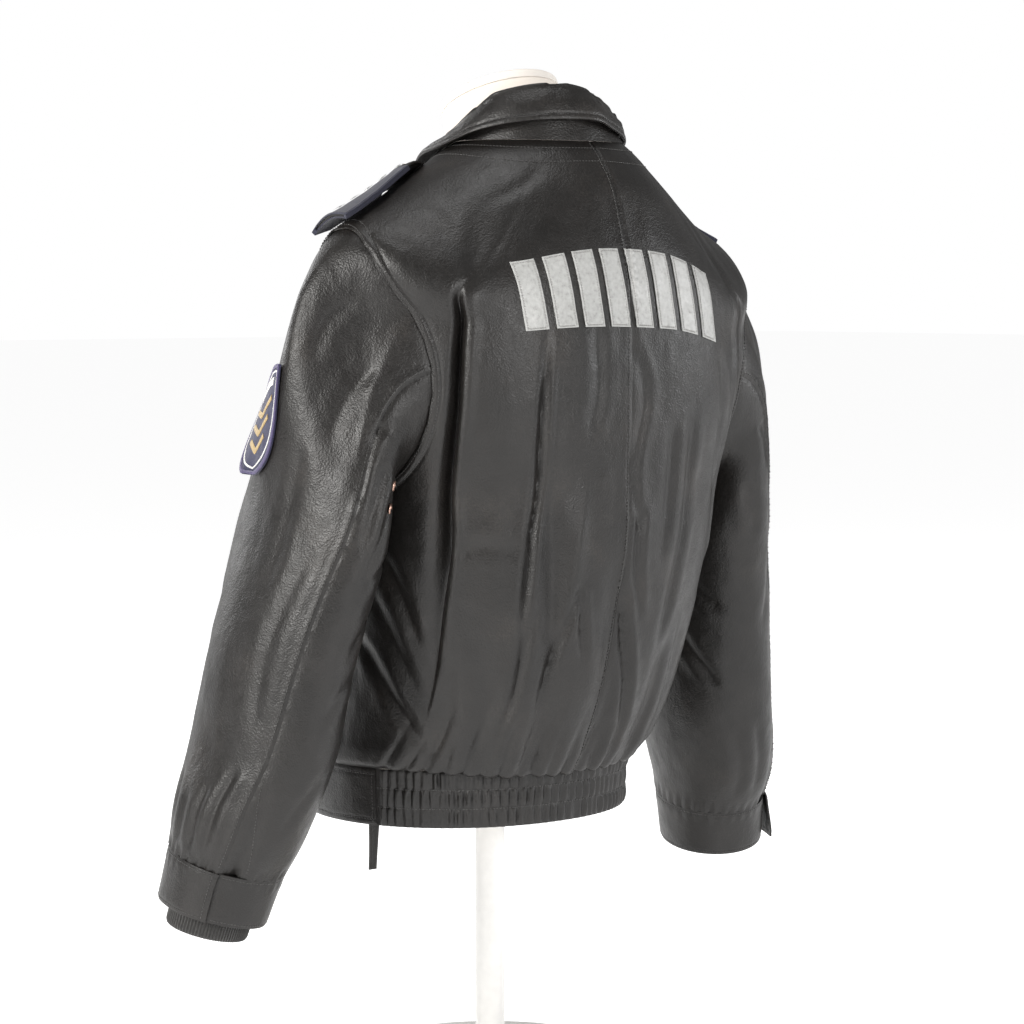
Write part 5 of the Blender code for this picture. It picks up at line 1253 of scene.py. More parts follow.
def make_cuffs(sizes, materials):
    """Leather cuffs with stitched edges, and ribbed knit cuffs: radius + rib * wave(turn)."""
    for side, flip in SIDES:
        mirror = np.array([flip, 1.0, 1.0])
        outer, normals = cuff_surface(side)
        inner = outer - normals * CUFF_LEATHER
        obj = shell("dressed_cuff_" + side, placed(outer * mirror), placed(inner * mirror),
                    materials["leather"], "black_leather", ["cuff_" + side])
        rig.sheet(obj, flat=(0.385, 0.052), held="gathered", rests_on=["knit_cuff_" + side])
        turns = np.linspace(0.0, 360.0, 480, endpoint=False)
        drop = KNIT_DROP_LEFT if side == "left" else KNIT_DROP_RIGHT
        rings = []
        for v in np.linspace(KNIT_TOP, CUFF_END, 18):
            share_down = float(ramp(v, KNIT_TOP, CUFF_END - 0.02))
            ring = sleeve_ring(turns, np.full_like(turns, v))
            middle = ring.mean(axis=0)
            wide = np.linalg.norm(ring - middle, axis=-1) - KNIT_INSET
            size = wide * (1 - share_down) + KNIT_NECK * share_down
            rings.append((middle, unit(ring - middle), size))
        run = unit(rings[-1][0] - rings[-2][0])
        for share in np.linspace(0.0, 1.0, 14)[1:]:
            size = np.full_like(turns, KNIT_NECK + (KNIT_END - KNIT_NECK) * share)
            rings.append((rings[17][0] + run * drop * share, rings[17][1], size - 0.0012 * ramp(share, 0.86, 1.0)))
        rib = np.cos(np.radians(turns) * 80.0)
        outer = np.stack([middle + out * (size - 0.0004 + 0.0005 * rib)[:, None] for middle, out, size in rings])
        inner = np.stack([middle + out * (size - KNIT_WALL)[:, None] for middle, out, size in rings])
        obj = shell("dressed_knit_" + side, placed(outer * mirror), placed(inner * mirror),
                    materials["knit"], "black_knit", ["knit_cuff_" + side], True)
        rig.sheet(obj, flat=(0.30, 0.062 if side == "left" else 0.047), held="stretched", rests_on=["cuff_" + side])


def gather_height(angle, down, base):
    """Height of the gathers: each channel has its own uneven waves between its seams."""
    channel = np.clip(np.floor(down * CHANNELS), 0, CHANNELS - 1)
    inside = down * CHANNELS - channel
    arch = np.clip(np.sin(math.pi * inside), 0.0, 1.0) ** 0.55
    turn = (angle - ELASTIC_START) / (ELASTIC_END - ELASTIC_START) * GATHERS * 2 * math.pi
    spot = np.stack([angle * 0.003, channel * 0.05, 0 * angle], axis=-1)
    sway = 1.5 * lattice(spot, 0.014, 41) + 0.8 * channel + 0.9 * (inside - 0.5) * lattice(spot, 0.009, 44)
    tall = 0.72 + 0.45 * lattice(spot, 0.010, 47)
    crest = (0.5 + 0.5 * np.cos(turn + sway)) ** 0.8
    seam = 0.30 * (1 - arch) * crest
    return GATHER_DEPTH * 1.15 * (arch * crest * tall + seam)


def make_waistband(sizes, materials):
    """Waistband: elastic back with gathered channels, and plain front parts."""
    downs = np.linspace(0.0, 1.0, 46)
    angles = np.linspace(ELASTIC_START, ELASTIC_END, GATHERS * 11 + 1)
    grid_angle, grid_down = np.meshgrid(angles, downs)
    flat, out = band_point(grid_angle, grid_down, np.zeros_like(grid_down))
    ends = ramp(grid_angle, ELASTIC_START, ELASTIC_START + 3) * (1 - ramp(grid_angle, ELASTIC_END - 3, ELASTIC_END))
    raised = gather_height(grid_angle, grid_down, flat) * ends * ramp(grid_down, 0.0, 0.03)
    outer, out = band_point(grid_angle, grid_down, raised)
    inner = flat - out * sizes.leather
    obj = shell("dressed_waistband_back", placed(outer), placed(inner), materials["leather"], "black_leather",
                ["waistband_back"])
    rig.sheet(obj, flat=(0.56, 0.0565), held="gathered", rests_on=["back_panel_left"])
    start = front_columns(0.0)[0]
    limits = {"left": (start, ELASTIC_START), "right": (ELASTIC_END, 180.0 - start)}
    for side, (first, last) in limits.items():
        angles = np.linspace(first + 0.03, last - 0.03, 180)
        grid_angle, grid_down = np.meshgrid(angles, np.linspace(0.0, 1.0, 36))
        flat, out = band_point(grid_angle, grid_down, np.zeros_like(grid_down))
        edge = np.minimum(grid_down, 1 - grid_down)
        move = 0.0010 * (1 - np.exp(-(edge / 0.035) ** 2))
        move = move - 0.0006 * np.exp(-((edge - 0.10) / 0.028) ** 2)
        move = move + crumple(flat, 53, 0.0006) * ramp(edge, 0.0, 0.1)
        outer, out = band_point(grid_angle, grid_down, move)
        obj = shell("dressed_waistband_" + side, placed(outer), placed(flat - out * sizes.leather),
                    materials["leather"], "black_leather", ["waistband_" + side])
        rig.sheet(obj, flat=(0.32, 0.0565), held="laid", rests_on=["front_panel_" + side])


def collar_grid(angles, count):
    """Collar surfaces at the given directions, with count fine steps across."""
    outer, inner = collar_section(angles)
    knots = np.arange(outer.shape[0], dtype=float)
    where = np.concatenate([np.linspace(0, 2, 10)[:-1], np.linspace(2, 6, 22)[:-1], np.linspace(6, 8, count)])

    def finer(points):
        flat = points.reshape(len(knots), -1)
        columns = [smooth(knots, flat[:, place], where) for place in range(flat.shape[1])]
        return np.stack(columns, axis=-1).reshape(len(where), -1, 3)
    return finer(outer), finer(inner), where


def collar_edges():
    """Directions of the collar from one front end to the other."""
    return np.linspace(-90.0 + COLLAR_FRONT_GAP, 270.0 - COLLAR_FRONT_GAP, 300)


COLLAR_CREASES = (
    (1.8, 5.0, 0.5, ((97.0, 0.50), (95.0, 0.62), (92.0, 0.74))),
    (1.4, 6.0, 0.5, ((60.0, 0.52), (66.0, 0.66), (70.0, 0.80))),
    (1.6, 6.0, 0.5, ((8.0, 0.50), (16.0, 0.66), (20.0, 0.84))),
    (1.4, 6.0, 0.5, ((128.0, 0.52), (122.0, 0.68), (118.0, 0.84))),
    (1.6, 6.0, 0.5, ((-30.0, 0.52), (-24.0, 0.68), (-20.0, 0.84))),
    (1.6, 6.0, 0.5, ((205.0, 0.52), (199.0, 0.68), (196.0, 0.84))),
)


def make_collar(sizes, materials):
    """Turned-down collar: sections up the stand, over the fold and down the fall."""
    angles = collar_edges()
    outer, inner, where = collar_grid(angles, 30)
    outward = unit(outer - inner)
    share = where / 8.0
    index = np.linspace(0.0, 1.0, len(where))

    def surface(angle, part):
        row = np.interp(part, share, np.arange(len(share)))
        place = np.interp(angle, angles, np.arange(len(angles)))
        return outer[np.clip(np.round(row).astype(int), 0, len(share) - 1),
                     np.clip(np.round(place).astype(int), 0, len(angles) - 1)]
    move = crease_move(outer, outward, surface, COLLAR_CREASES) * sizes.crease
    move = move + crumple(outer, 61, sizes.crumple * 0.8) * ramp(share, 0.42, 0.6)[:, None]
    edge = np.linalg.norm(outer - outer[-1:], axis=-1)
    move = move + 0.0007 * np.exp(-((edge - 0.0028) / 0.0024) ** 4) - 0.0007 * np.exp(-((edge - 0.0060) / 0.0009) ** 2)
    ends = ramp(index, 0.0, 0.05)
    outer = outer + outward * (move * ends[:, None])[..., None]
    obj = shell("dressed_collar", placed(outer), placed(inner), materials["leather"], "black_leather", ["collar"])
    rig.sheet(obj, flat=(0.60, 0.096), held="folded", rests_on=["back_panel_left", "front_panel_left"])


def make_bars(sizes, materials):
    """Reflective bars: points of the dressed back moved out, with a stitched border."""
    pitch = (BARS_LEFT_X - BARS_RIGHT_X) / BARS
    grid_across, grid_up = np.meshgrid(np.linspace(0.0, 1.0, 26), np.linspace(0.0, 1.0, 84))
    for number in range(BARS):
        start = BARS_RIGHT_X + pitch * (number + 0.5 * (1 - BAR_SHARE))
        x = start + pitch * BAR_SHARE * grid_across + BAR_LEAN_X * (grid_up - 0.5)
        t = BAR_LOW_T + (BAR_TOP_T - BAR_LOW_T) * grid_up + BAR_RISE * x
        face, outward = body_dressed(angle_at_x(x, t), t, sizes)
        side = np.minimum(grid_across, 1 - grid_across) * pitch * BAR_SHARE
        end = np.minimum(grid_up, 1 - grid_up) * 0.083
        edge = np.minimum(side, end)
        high = 0.0011 + 0.0005 * ramp(edge, 0.0, 0.0008) - 0.0005 * np.exp(-((edge - 0.0020) / 0.0005) ** 2)
        outer = face + outward * high[..., None]
        obj = shell("dressed_bar_%d" % (number + 1), placed(outer), placed(face + outward * 0.0003),
                    materials["film"], "reflective_film", ["reflective_bar_%d" % (number + 1)])
        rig.sheet(obj, flat=(pitch * BAR_SHARE, 0.083), held="laid", rests_on=["back_panel_left", "back_panel_right"])
        loop = []
        for a, b, steps in ((0, 0, 0), (0, 1, 1), (1, 1, 2), (1, 0, 3)):
            corners = ((0.10, 0.026), (0.10, 0.974), (0.90, 0.974), (0.90, 0.026))
            first = np.array(corners[steps])
            last = np.array(corners[(steps + 1) % 4])
            count = 60 if steps % 2 == 0 else 14
            loop.append(first + (last - first) * np.linspace(0.0, 1.0, count)[:-1, None])
        path = np.concatenate(loop)
        x = start + pitch * BAR_SHARE * path[:, 0] + BAR_LEAN_X * (path[:, 1] - 0.5)
        t = BAR_LOW_T + (BAR_TOP_T - BAR_LOW_T) * path[:, 1] + BAR_RISE * x
        face, outward = body_dressed(angle_at_x(x, t), t, sizes)
        stitches("bar_stitches_%d" % (number + 1), placed(face + outward * 0.0014), outward, materials["grey_thread"],
                 "reflective_film", pitch=0.0026, length=0.0019)


def stitches(name, line, outward, material, slot, pitch=STITCH_PITCH, length=STITCH_LENGTH,
             radius=STITCH_RADIUS, skip=None):
    """Row of short rounded stitches along a line: one small spindle per pitch of its length."""
    step = np.linalg.norm(np.diff(line, axis=0), axis=1)
    run = np.concatenate([[0.0], np.cumsum(step)])
    places = np.arange(0.5 * pitch, run[-1], pitch)
    centre = np.stack([np.interp(places, run, line[:, axis]) for axis in range(3)], axis=-1)
    ahead = np.stack([np.interp(places + 0.3 * pitch, run, line[:, axis]) for axis in range(3)], axis=-1)
    back = np.stack([np.interp(places - 0.3 * pitch, run, line[:, axis]) for axis in range(3)], axis=-1)
    out = unit(np.stack([np.interp(places, run, outward[:, axis]) for axis in range(3)], axis=-1))
    along = unit(ahead - back)
    side = unit(np.cross(along, out))
    out = np.cross(side, along)
    rings = ((-0.5, 0.0, -0.9), (-0.38, 0.8, 0.0), (0.0, 1.0, 0.35), (0.38, 0.8, 0.0), (0.5, 0.0, -0.9))
    turns = np.arange(6) * math.pi / 3
    points = []
    for part, wide, rise in rings:
        if wide == 0.0:
            points.append((centre + along * part * length + out * rise * radius)[:, None, :])
            continue
        ring = np.cos(turns)[None, :, None] * side[:, None, :] + np.sin(turns)[None, :, None] * out[:, None, :]
        middle = centre + along * part * length + out * rise * radius
        points.append(middle[:, None, :] + ring * wide * radius)
    points = np.concatenate(points, axis=1)
    faces = []
    for step_place in range(6):
        after = (step_place + 1) % 6
        faces.append((0, 1 + step_place, 1 + after))
        faces.append((1 + step_place, 7 + step_place, 7 + after, 1 + after))
        faces.append((7 + step_place, 13 + step_place, 13 + after, 7 + after))
        faces.append((19, 13 + after, 13 + step_place))
    every = []
    for number in range(len(centre)):
        every.extend(tuple(20 * number + corner for corner in face) for face in faces)
    return make_object(name, points.reshape(-1, 3), every, material, slot, smooth_angle=80.0)


def sew(name, surface_points, outward, materials, mirror=1.0, **sizes):
    """Black stitches along points of the left or right side."""
    flip = np.array([mirror, 1.0, 1.0])
    return stitches(name, placed(surface_points * flip), outward * flip, materials["thread"], "black_leather", **sizes)


def make_sewing(sizes, materials):
    """Stitch rows beside the seams of body, sleeves, cuffs, waistband and collar."""
    lift = 0.00015
    for word, arc in (("left", 0.0042), ("right", -0.0042)):
        t = np.linspace(0.02, 0.995, 260)
        centre = torso(np.full_like(t, 90.0), t)
        wide = np.linalg.norm(torso(np.full_like(t, 89.0), t) - centre, axis=-1)
        if word == "left":
            points, out = body_dressed(90.0 - arc / wide, t, sizes)
            sew("sewing_back_seam", points + out * lift, out, materials)
    for row, back in enumerate((0.0040, 0.0105)):
        for side, low, high in (("left", -84.0, 89.6), ("right", 90.4, 264.0)):
            angle = np.linspace(low, high, 150)
            points, out = body_dressed(angle, np.full_like(angle, 1.0 - back / 0.33), sizes)
            sew("sewing_neck_%s_%d" % (side, row + 1), points + out * lift, out, materials)
    for side, flip in SIDES:
        turns = np.linspace(0.0, 360.0, 260)
        for row, away in enumerate((0.0020, 0.0072)):
            angle, t = armhole(turns)
            grow = away / 0.175 * 57.3
            angle = angle + grow * np.sin(np.radians(turns))
            t = t + away / 0.52 * np.cos(np.radians(turns))
            if flip < 0:
                angle = 180.0 - angle
            points, out = body_dressed(angle, t, sizes)
            sew("sewing_armhole_%s_%d" % (side, row + 1), points + out * lift, out, materials)
        v = np.linspace(0.02, 0.985, 260)
        rear = table(SEAM_ANGLE_COLUMNS, SEAM_ANGLE_ROWS, "v", "rear", v)
        points, out = sleeve_dressed(rear - 2.9, v, flip < 0, sizes)
        sew("sewing_hindarm_" + side, points + out * lift, out, materials, flip)
        v = np.linspace(VENT_START - 0.02, 0.985, 60)
        rear = table(SEAM_ANGLE_COLUMNS, SEAM_ANGLE_ROWS, "v", "rear", v)
        points, out = sleeve_dressed(rear + 2.0 + 22.0 * ramp(v, VENT_START - 0.02, 1.0), v, flip < 0, sizes)
        sew("sewing_vent_" + side, points + out * lift, out, materials, flip)
        outer, normals = cuff_surface(side)
        for word, row in (("top", 2), ("end", 31)):
            line = outer[row, 3:-12]
            sew("sewing_cuff_%s_%s" % (word, side), line + normals[row, 3:-12] * lift, normals[row, 3:-12],
                materials, flip)
        sew("sewing_cuff_lap_" + side, outer[2:32, 3] + normals[2:32, 3] * lift, normals[2:32, 3], materials, flip)
        t = np.linspace(0.0, 0.985, 260)
        for row, away in enumerate((0.0055, 0.0110)):
            point, out = front_frame(t)
            x = point[:, 0] + flip * (ZIP_HALF_GAP + away)
            wide = table(TORSO_COLUMNS, TORSO_ROWS, "t", "half_width", t)
            power = table(TORSO_COLUMNS, TORSO_ROWS, "t", "squareness", t) / 2
            middle = table(TORSO_COLUMNS, TORSO_ROWS, "t", "middle_x", t)
            c = np.sign(x - middle) * (np.abs(x - middle) / wide) ** power
            angle = -np.degrees(np.arccos(np.clip(c, -1, 1)))
            angle = np.where(angle < -180, angle + 360, angle)
            if flip < 0:
                angle = 360.0 + angle
            points, out = body_dressed(angle, t, sizes)
            sew("sewing_front_%s_%d" % (side, row + 1), points + out * lift, out, materials)
    for number in range(1, CHANNELS):
        angle = np.linspace(ELASTIC_START + 0.5, ELASTIC_END - 0.5, 700)
        down = np.full_like(angle, number / CHANNELS)
        raised = gather_height(angle, down, None) + 0.0002
        points, out = band_point(angle, down, raised)
        sew("sewing_channel_%d" % number, points, out, materials)
    start = front_columns(0.0)[0]
    for side, first, last in (("left", start + 2, ELASTIC_START - 0.6), ("right", ELASTIC_END + 0.6, 178.0 - start)):
        for word, down in (("top", 0.10), ("end", 0.90)):
            angle = np.linspace(first, last, 160)
            points, out = band_point(angle, np.full_like(angle, down), np.full_like(angle, 0.0007))
            sew("sewing_band_%s_%s" % (word, side), points, out, materials)
        down = np.linspace(0.06, 0.94, 30)
        edge = last - 0.8 if side == "left" else first + 0.8
        points, out = band_point(np.full_like(down, edge), down, np.full_like(down, 0.0012))
        sew("sewing_band_joint_" + side, points, out, materials)
    outer, inner, where = collar_grid(collar_edges(), 30)
    outward = unit(outer - inner)
    edge = np.linalg.norm(outer - outer[-1:], axis=-1)
    row = np.argmin(np.abs(edge - 0.0060), axis=0)
    place = np.arange(outer.shape[1])
    line = outer[row, place][4:-4]
    out = outward[row, place][4:-4]
    sew("sewing_collar_edge", line - out * 0.0002, out, materials)


def patch_shape(rows):
    """Half width of the shield at each share of its height, 1 at its widest."""
    low = np.clip(rows - 0.35, 0.0, None) / 0.655
    shape = np.sqrt(np.clip(1 - low ** 2.2, 0.0, 1.0))
    shape = shape - 0.10 * np.clip(1 - rows / 0.35, 0.0, None) ** 2
    return np.maximum(shape, 0.10)


def patch_place(rows, across):
    """Points under the patch and outward directions; across is metres from its middle line."""
    step = sleeve(np.array([PATCH_ANGLE]), np.array([PATCH_TOP_V + 0.02]))
    step = step - sleeve(np.array([PATCH_ANGLE]), np.array([PATCH_TOP_V - 0.02]))
    v = PATCH_TOP_V + rows * PATCH_HEIGHT / (np.linalg.norm(step) / 0.04)
    widths = sleeve(np.full_like(v, PATCH_ANGLE + 5), v) - sleeve(np.full_like(v, PATCH_ANGLE - 5), v)
    per_turn = np.linalg.norm(widths, axis=-1) / 10.0
    turns = PATCH_ANGLE + across / per_turn
    face = sleeve(turns, v)
    out = sleeve_normal_of(sleeve, turns, v)
    share = across / (PATCH_HALF_WIDTH * patch_shape(rows))
    curl = PATCH_CURL * ramp(-share, -0.2, 1.0)
    return face + out * (PATCH_LIFT + curl)[..., None], out


def patch_strip(name, rows, across, half, high, material, slot):
    """Raised strip on the patch along a path given by height share and sideways metres."""
    path = np.stack([rows * PATCH_HEIGHT, across], axis=-1)
    run = unit(np.gradient(path, axis=0))
    side = np.stack([-run[:, 1], run[:, 0]], axis=-1)
    sides = np.linspace(-1.0, 1.0, 7)
    grid = path[:, None, :] + side[:, None, :] * sides[None, :, None] * half
    base, out = patch_place(np.clip(grid[..., 0] / PATCH_HEIGHT, 0.0, 1.0), grid[..., 1])
    arch = PATCH_WALL + high * np.sqrt(np.clip(1 - 0.9 * sides ** 2, 0.0, 1.0))
    outer = base + out * arch[None, :, None]
    return shell(name, placed(outer), placed(base + out * PATCH_WALL * 0.8), material, slot)


def make_patch(sizes, materials):
    """Shield patch: twill ground, overlocked rim, thin border and plain chevrons."""
    rows = np.linspace(0.0, 1.0, 60)
    sides = np.linspace(-1.0, 1.0, 50)
    grid_side, grid_row = np.meshgrid(sides, rows)
    across = grid_side * PATCH_HALF_WIDTH * patch_shape(grid_row)
    base, out = patch_place(grid_row, across)
    puff = 0.0003 * lattice(base, 0.006, 71)[..., None]
    obj = shell("dressed_patch", placed(base + out * (PATCH_WALL - 0.0003 + puff)), placed(base),
                materials["patch"], "patch_cloth", ["sleeve_patch"])
    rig.sheet(obj, flat=(0.084, 0.100), held="laid", rests_on=["upper_sleeve_left"], area=0.0068)
    for name, inset, half, high, material in (
        ("patch_rim", 0.0016, 0.0020, 0.0011, "overlock"),
        ("patch_border", 0.0068, 0.0009, 0.0004, "white_thread"),
    ):
        down = np.linspace(0.0, 1.0, 70)
        edge = PATCH_HALF_WIDTH * patch_shape(down) - inset
        edge = np.maximum(edge, 0.0004)
        y = inset / PATCH_HEIGHT + down * (1 - 2 * inset / PATCH_HEIGHT)
        top = np.linspace(-1.0, 1.0, 40)[1:-1]
        row_path = np.concatenate([np.full(len(top), y[0]), y, y[::-1][1:]])
        side_path = np.concatenate([top * edge[0], edge, -edge[::-1][1:]])
        patch_strip(name, row_path, side_path, half, high, materials[material], "patch_cloth")
    for number in range(3):
        place = 0.30 + 0.17 * number
        wide = 0.024 - 0.004 * number
        reach = np.linspace(-1.0, 1.0, 41)
        dip = 0.13 * (1 - np.abs(reach)) ** 1.0
        patch_strip("patch_chevron_%d" % (number + 1), place + dip, reach * wide, 0.0026, 0.0006,
                    materials["gold_thread"], "patch_cloth")
    reach = np.linspace(-1.0, 1.0, 30)
    patch_strip("patch_bar", np.full(30, 0.155), reach * 0.022, 0.0034, 0.0006, materials["white_thread"],
                "patch_cloth")


def turned(name, base, axis, profile, steps, material, slot, replaced=(), around=False):
    """Surface turned about an axis from (radius, height) pairs, closed at both ends or as a ring."""
    axis = unit(np.asarray(axis, dtype=float))
    helper = np.array([0.0, 0.0, 1.0]) if abs(axis[2]) < 0.9 else np.array([1.0, 0.0, 0.0])
    side = unit(np.cross(axis, helper))
    other = np.cross(axis, side)
    turn = 2 * math.pi * np.arange(steps) / steps
    ring = np.cos(turn)[:, None] * side + np.sin(turn)[:, None] * other
    points = np.concatenate([base + ring * radius + axis * height for radius, height in profile])
    count = len(profile)
    faces = []
    for row in range(count if around else count - 1):
        after_row = (row + 1) % count
        for step in range(steps):
            after = (step + 1) % steps
            faces.append((row * steps + step, row * steps + after, after_row * steps + after, after_row * steps + step))
    if not around:
        faces.append(tuple(range(steps))[::-1])
        faces.append(tuple(range((count - 1) * steps, count * steps)))
    return make_object(name, points, faces, material, slot, replaced, smooth_angle=35.0)


def make_epaulettes(sizes, materials):
    """Shoulder straps and cloth slides: epaulette_point(x, across) + direction * height."""
    slide = np.linspace(SLIDE_OUTER_X, SLIDE_INNER_X, 60)
    along = np.concatenate([np.linspace(STRAP_OUTER_X, SLIDE_INNER_X, 40), np.linspace(SLIDE_INNER_X, STRAP_INNER_X, 30)[1:]])
    ends = np.clip((along - STRAP_INNER_X) / 0.016, 0.0, 1.0)
    half = STRAP_HALF_WIDTH * np.sqrt(1 - (1 - ends) ** 2 * 0.86)
    sides = np.linspace(-1.0, 1.0, 25)
    grid_x = np.repeat(along[:, None], len(sides), axis=1)
    grid_side = half[:, None] * sides[None, :]
    edge = np.minimum(half[:, None] - np.abs(grid_side), grid_x - STRAP_INNER_X)
    for side, flip in SIDES:
        mirror = np.array([flip, 1.0, 1.0])
        raised = STRAP_LIFTS[side]
        under = epaulette_point(grid_x, grid_side, raised)
        normal = epaulette_normal(grid_x, grid_side, raised)
        move = 0.0004 * ramp(edge, 0.0, 0.0012) - 0.0005 * np.exp(-((edge - 0.0035) / 0.0008) ** 2)
        top = under + normal * (STRAP_WALL - 0.0004 + move)[..., None]
        obj = shell("dressed_strap_" + side, placed(top * mirror), placed(under * mirror), materials["leather"],
                    "black_leather", ["epaulette_strap_" + side])
        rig.sheet(obj, flat=(0.043, 0.150), held="laid", rests_on=["front_panel_" + side])
        loops = []
        for reach, low, high, wave in (
            (SLIDE_HALF_WIDTH, -SLIDE_GAP - SLIDE_WALL, STRAP_WALL + SLIDE_GAP + SLIDE_WALL, 1.0),
            (STRAP_HALF_WIDTH + SLIDE_GAP, -SLIDE_GAP, STRAP_WALL + SLIDE_GAP, 0.0),
        ):
            across = np.linspace(-1.0, 1.0, 33)
            grid_a, grid_b = np.meshgrid(across, slide)
            base = epaulette_point(grid_b, grid_a * reach, raised)
            up = epaulette_normal(grid_b, grid_a * reach, raised)
            rim = np.minimum((1 - np.abs(grid_a)) * reach, np.minimum(SLIDE_OUTER_X - grid_b, grid_b - SLIDE_INNER_X))
            roll = wave * (0.0006 * np.exp(-((rim - 0.0014) / 0.0012) ** 2) - 0.0005 * np.exp(-(rim / 0.0005) ** 2))
            top_rows = base + up * (high + roll)[..., None]
            low_rows = (base + up * low)[:, ::-1]
            loops.append(np.concatenate([top_rows, low_rows], axis=1))
        obj = shell("dressed_slide_" + side, placed(loops[0] * mirror), placed(loops[1] * mirror), materials["navy"],
                    "navy_cloth", ["rank_slide_" + side], True)
        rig.sheet(obj, flat=(0.108, 0.100), held="laid", rests_on=["epaulette_strap_" + side])
        place = epaulette_point(np.array(BUTTON_X), np.array(0.0), raised)
        up = epaulette_normal(np.array(BUTTON_X), np.array(0.0), raised)
        base = placed((place + up * (STRAP_WALL + SEAM_GAP)) * mirror)
        dome = [(BUTTON_RADIUS * 0.5, 0.0), (BUTTON_RADIUS * 0.9, 0.0002), (BUTTON_RADIUS, 0.0008),
                (BUTTON_RADIUS * 0.98, 0.0014), (BUTTON_RADIUS * 0.92, 0.0016), (BUTTON_RADIUS * 0.86, 0.0014)]
        dome = dome + [(BUTTON_RADIUS * 0.84 * math.cos(a), 0.0015 + 0.0019 * math.sin(a))
                       for a in np.linspace(0.05, 1.5, 9)]
        turned("dressed_button_" + side, base, up * mirror, dome, 48, materials["silver"], "silver_metal",
               ["epaulette_button_" + side])
        for number in range(STARS):
            node = frame["nodes"]["star_%s_%d" % (side, number + 1)]
            node.material_slots[0].material = materials["silver"]


def make_eyelets(sizes, materials):
    """Vent eyelets: a rolled ring, radius + roll * (cos a, sin a), over a near-black disc of painted shade in the hole.
    """
    middle = 0.5 * (EYELET_RADIUS + EYELET_HOLE)
    roll = 0.5 * (EYELET_RADIUS - EYELET_HOLE)
    circle = np.linspace(0.0, 2 * math.pi, 14, endpoint=False)
    profile = [(middle + roll * math.cos(a), 0.0002 + 0.0011 * math.sin(a)) for a in circle]
    for place in named(EYELET_COLUMNS, EYELET_ROWS):
        side = place["side"]
        mirror = np.array([1.0 if side == "left" else -1.0, 1.0, 1.0])
        point, out = sleeve_dressed(np.array([[place["turn"]]]), np.array([[place["v"]]]), side == "right", sizes)
        base = placed(point[0, 0] * mirror)
        axis = out[0, 0] * mirror
        turned("dressed_eyelet_%s_%d" % (side, place["number"]), base, axis, profile, 40,
               materials["copper"], "copper_metal", ["eyelet_%s_%d" % (side, place["number"])], True)
        # painted shade: a closed near-black disc fills each ring's hole and stands for the shade seen down the vent
        turned("eyelet_hole_%s_%d" % (side, place["number"]), base, axis,
               [(EYELET_HOLE * 1.1, -0.0006), (EYELET_HOLE * 1.1, 0.0002)], 24, materials["hole"], "copper_metal")


def make_strap_end(sizes, materials):
    """Strap end below the front of the hem: a tapering strip with a slight bend."""
    z = np.linspace(STRAP_END_TOP, STRAP_END_LOW, 60)
    share = np.linspace(0.0, 1.0, 60)
    half = 0.5 * (STRAP_END_WIDTH + (STRAP_END_TIP - STRAP_END_WIDTH) * ramp(share, 0.1, 1.0))
    front = torso_base(np.array(-90.0), np.array(0.0))[1] + BAND_TAPER + LEATHER + 0.0011
    sides = np.linspace(-1.0, 1.0, 13)
    grid = np.zeros((60, 13, 3))
    grid[..., 0] = STRAP_END_X + 0.004 * share[:, None] ** 2 + half[:, None] * sides[None, :]
    edge = np.minimum((1 - np.abs(sides))[None, :] * half[:, None], (1 - share)[:, None] * 0.11)
    grid[..., 1] = front + 0.002 * share[:, None] + 0.0004 * np.exp(-((edge - 0.0025) / 0.0006) ** 2)
    grid[..., 2] = z[:, None]
    obj = shell("dressed_strap_end", placed(grid), placed(grid + np.array([0.0, 0.0020, 0.0])), materials["leather"],
                "black_leather", ["front_strap_end"])
    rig.sheet(obj, flat=(0.0165, 0.111), held="hung", rests_on=["waistband_left"], area=0.0016)


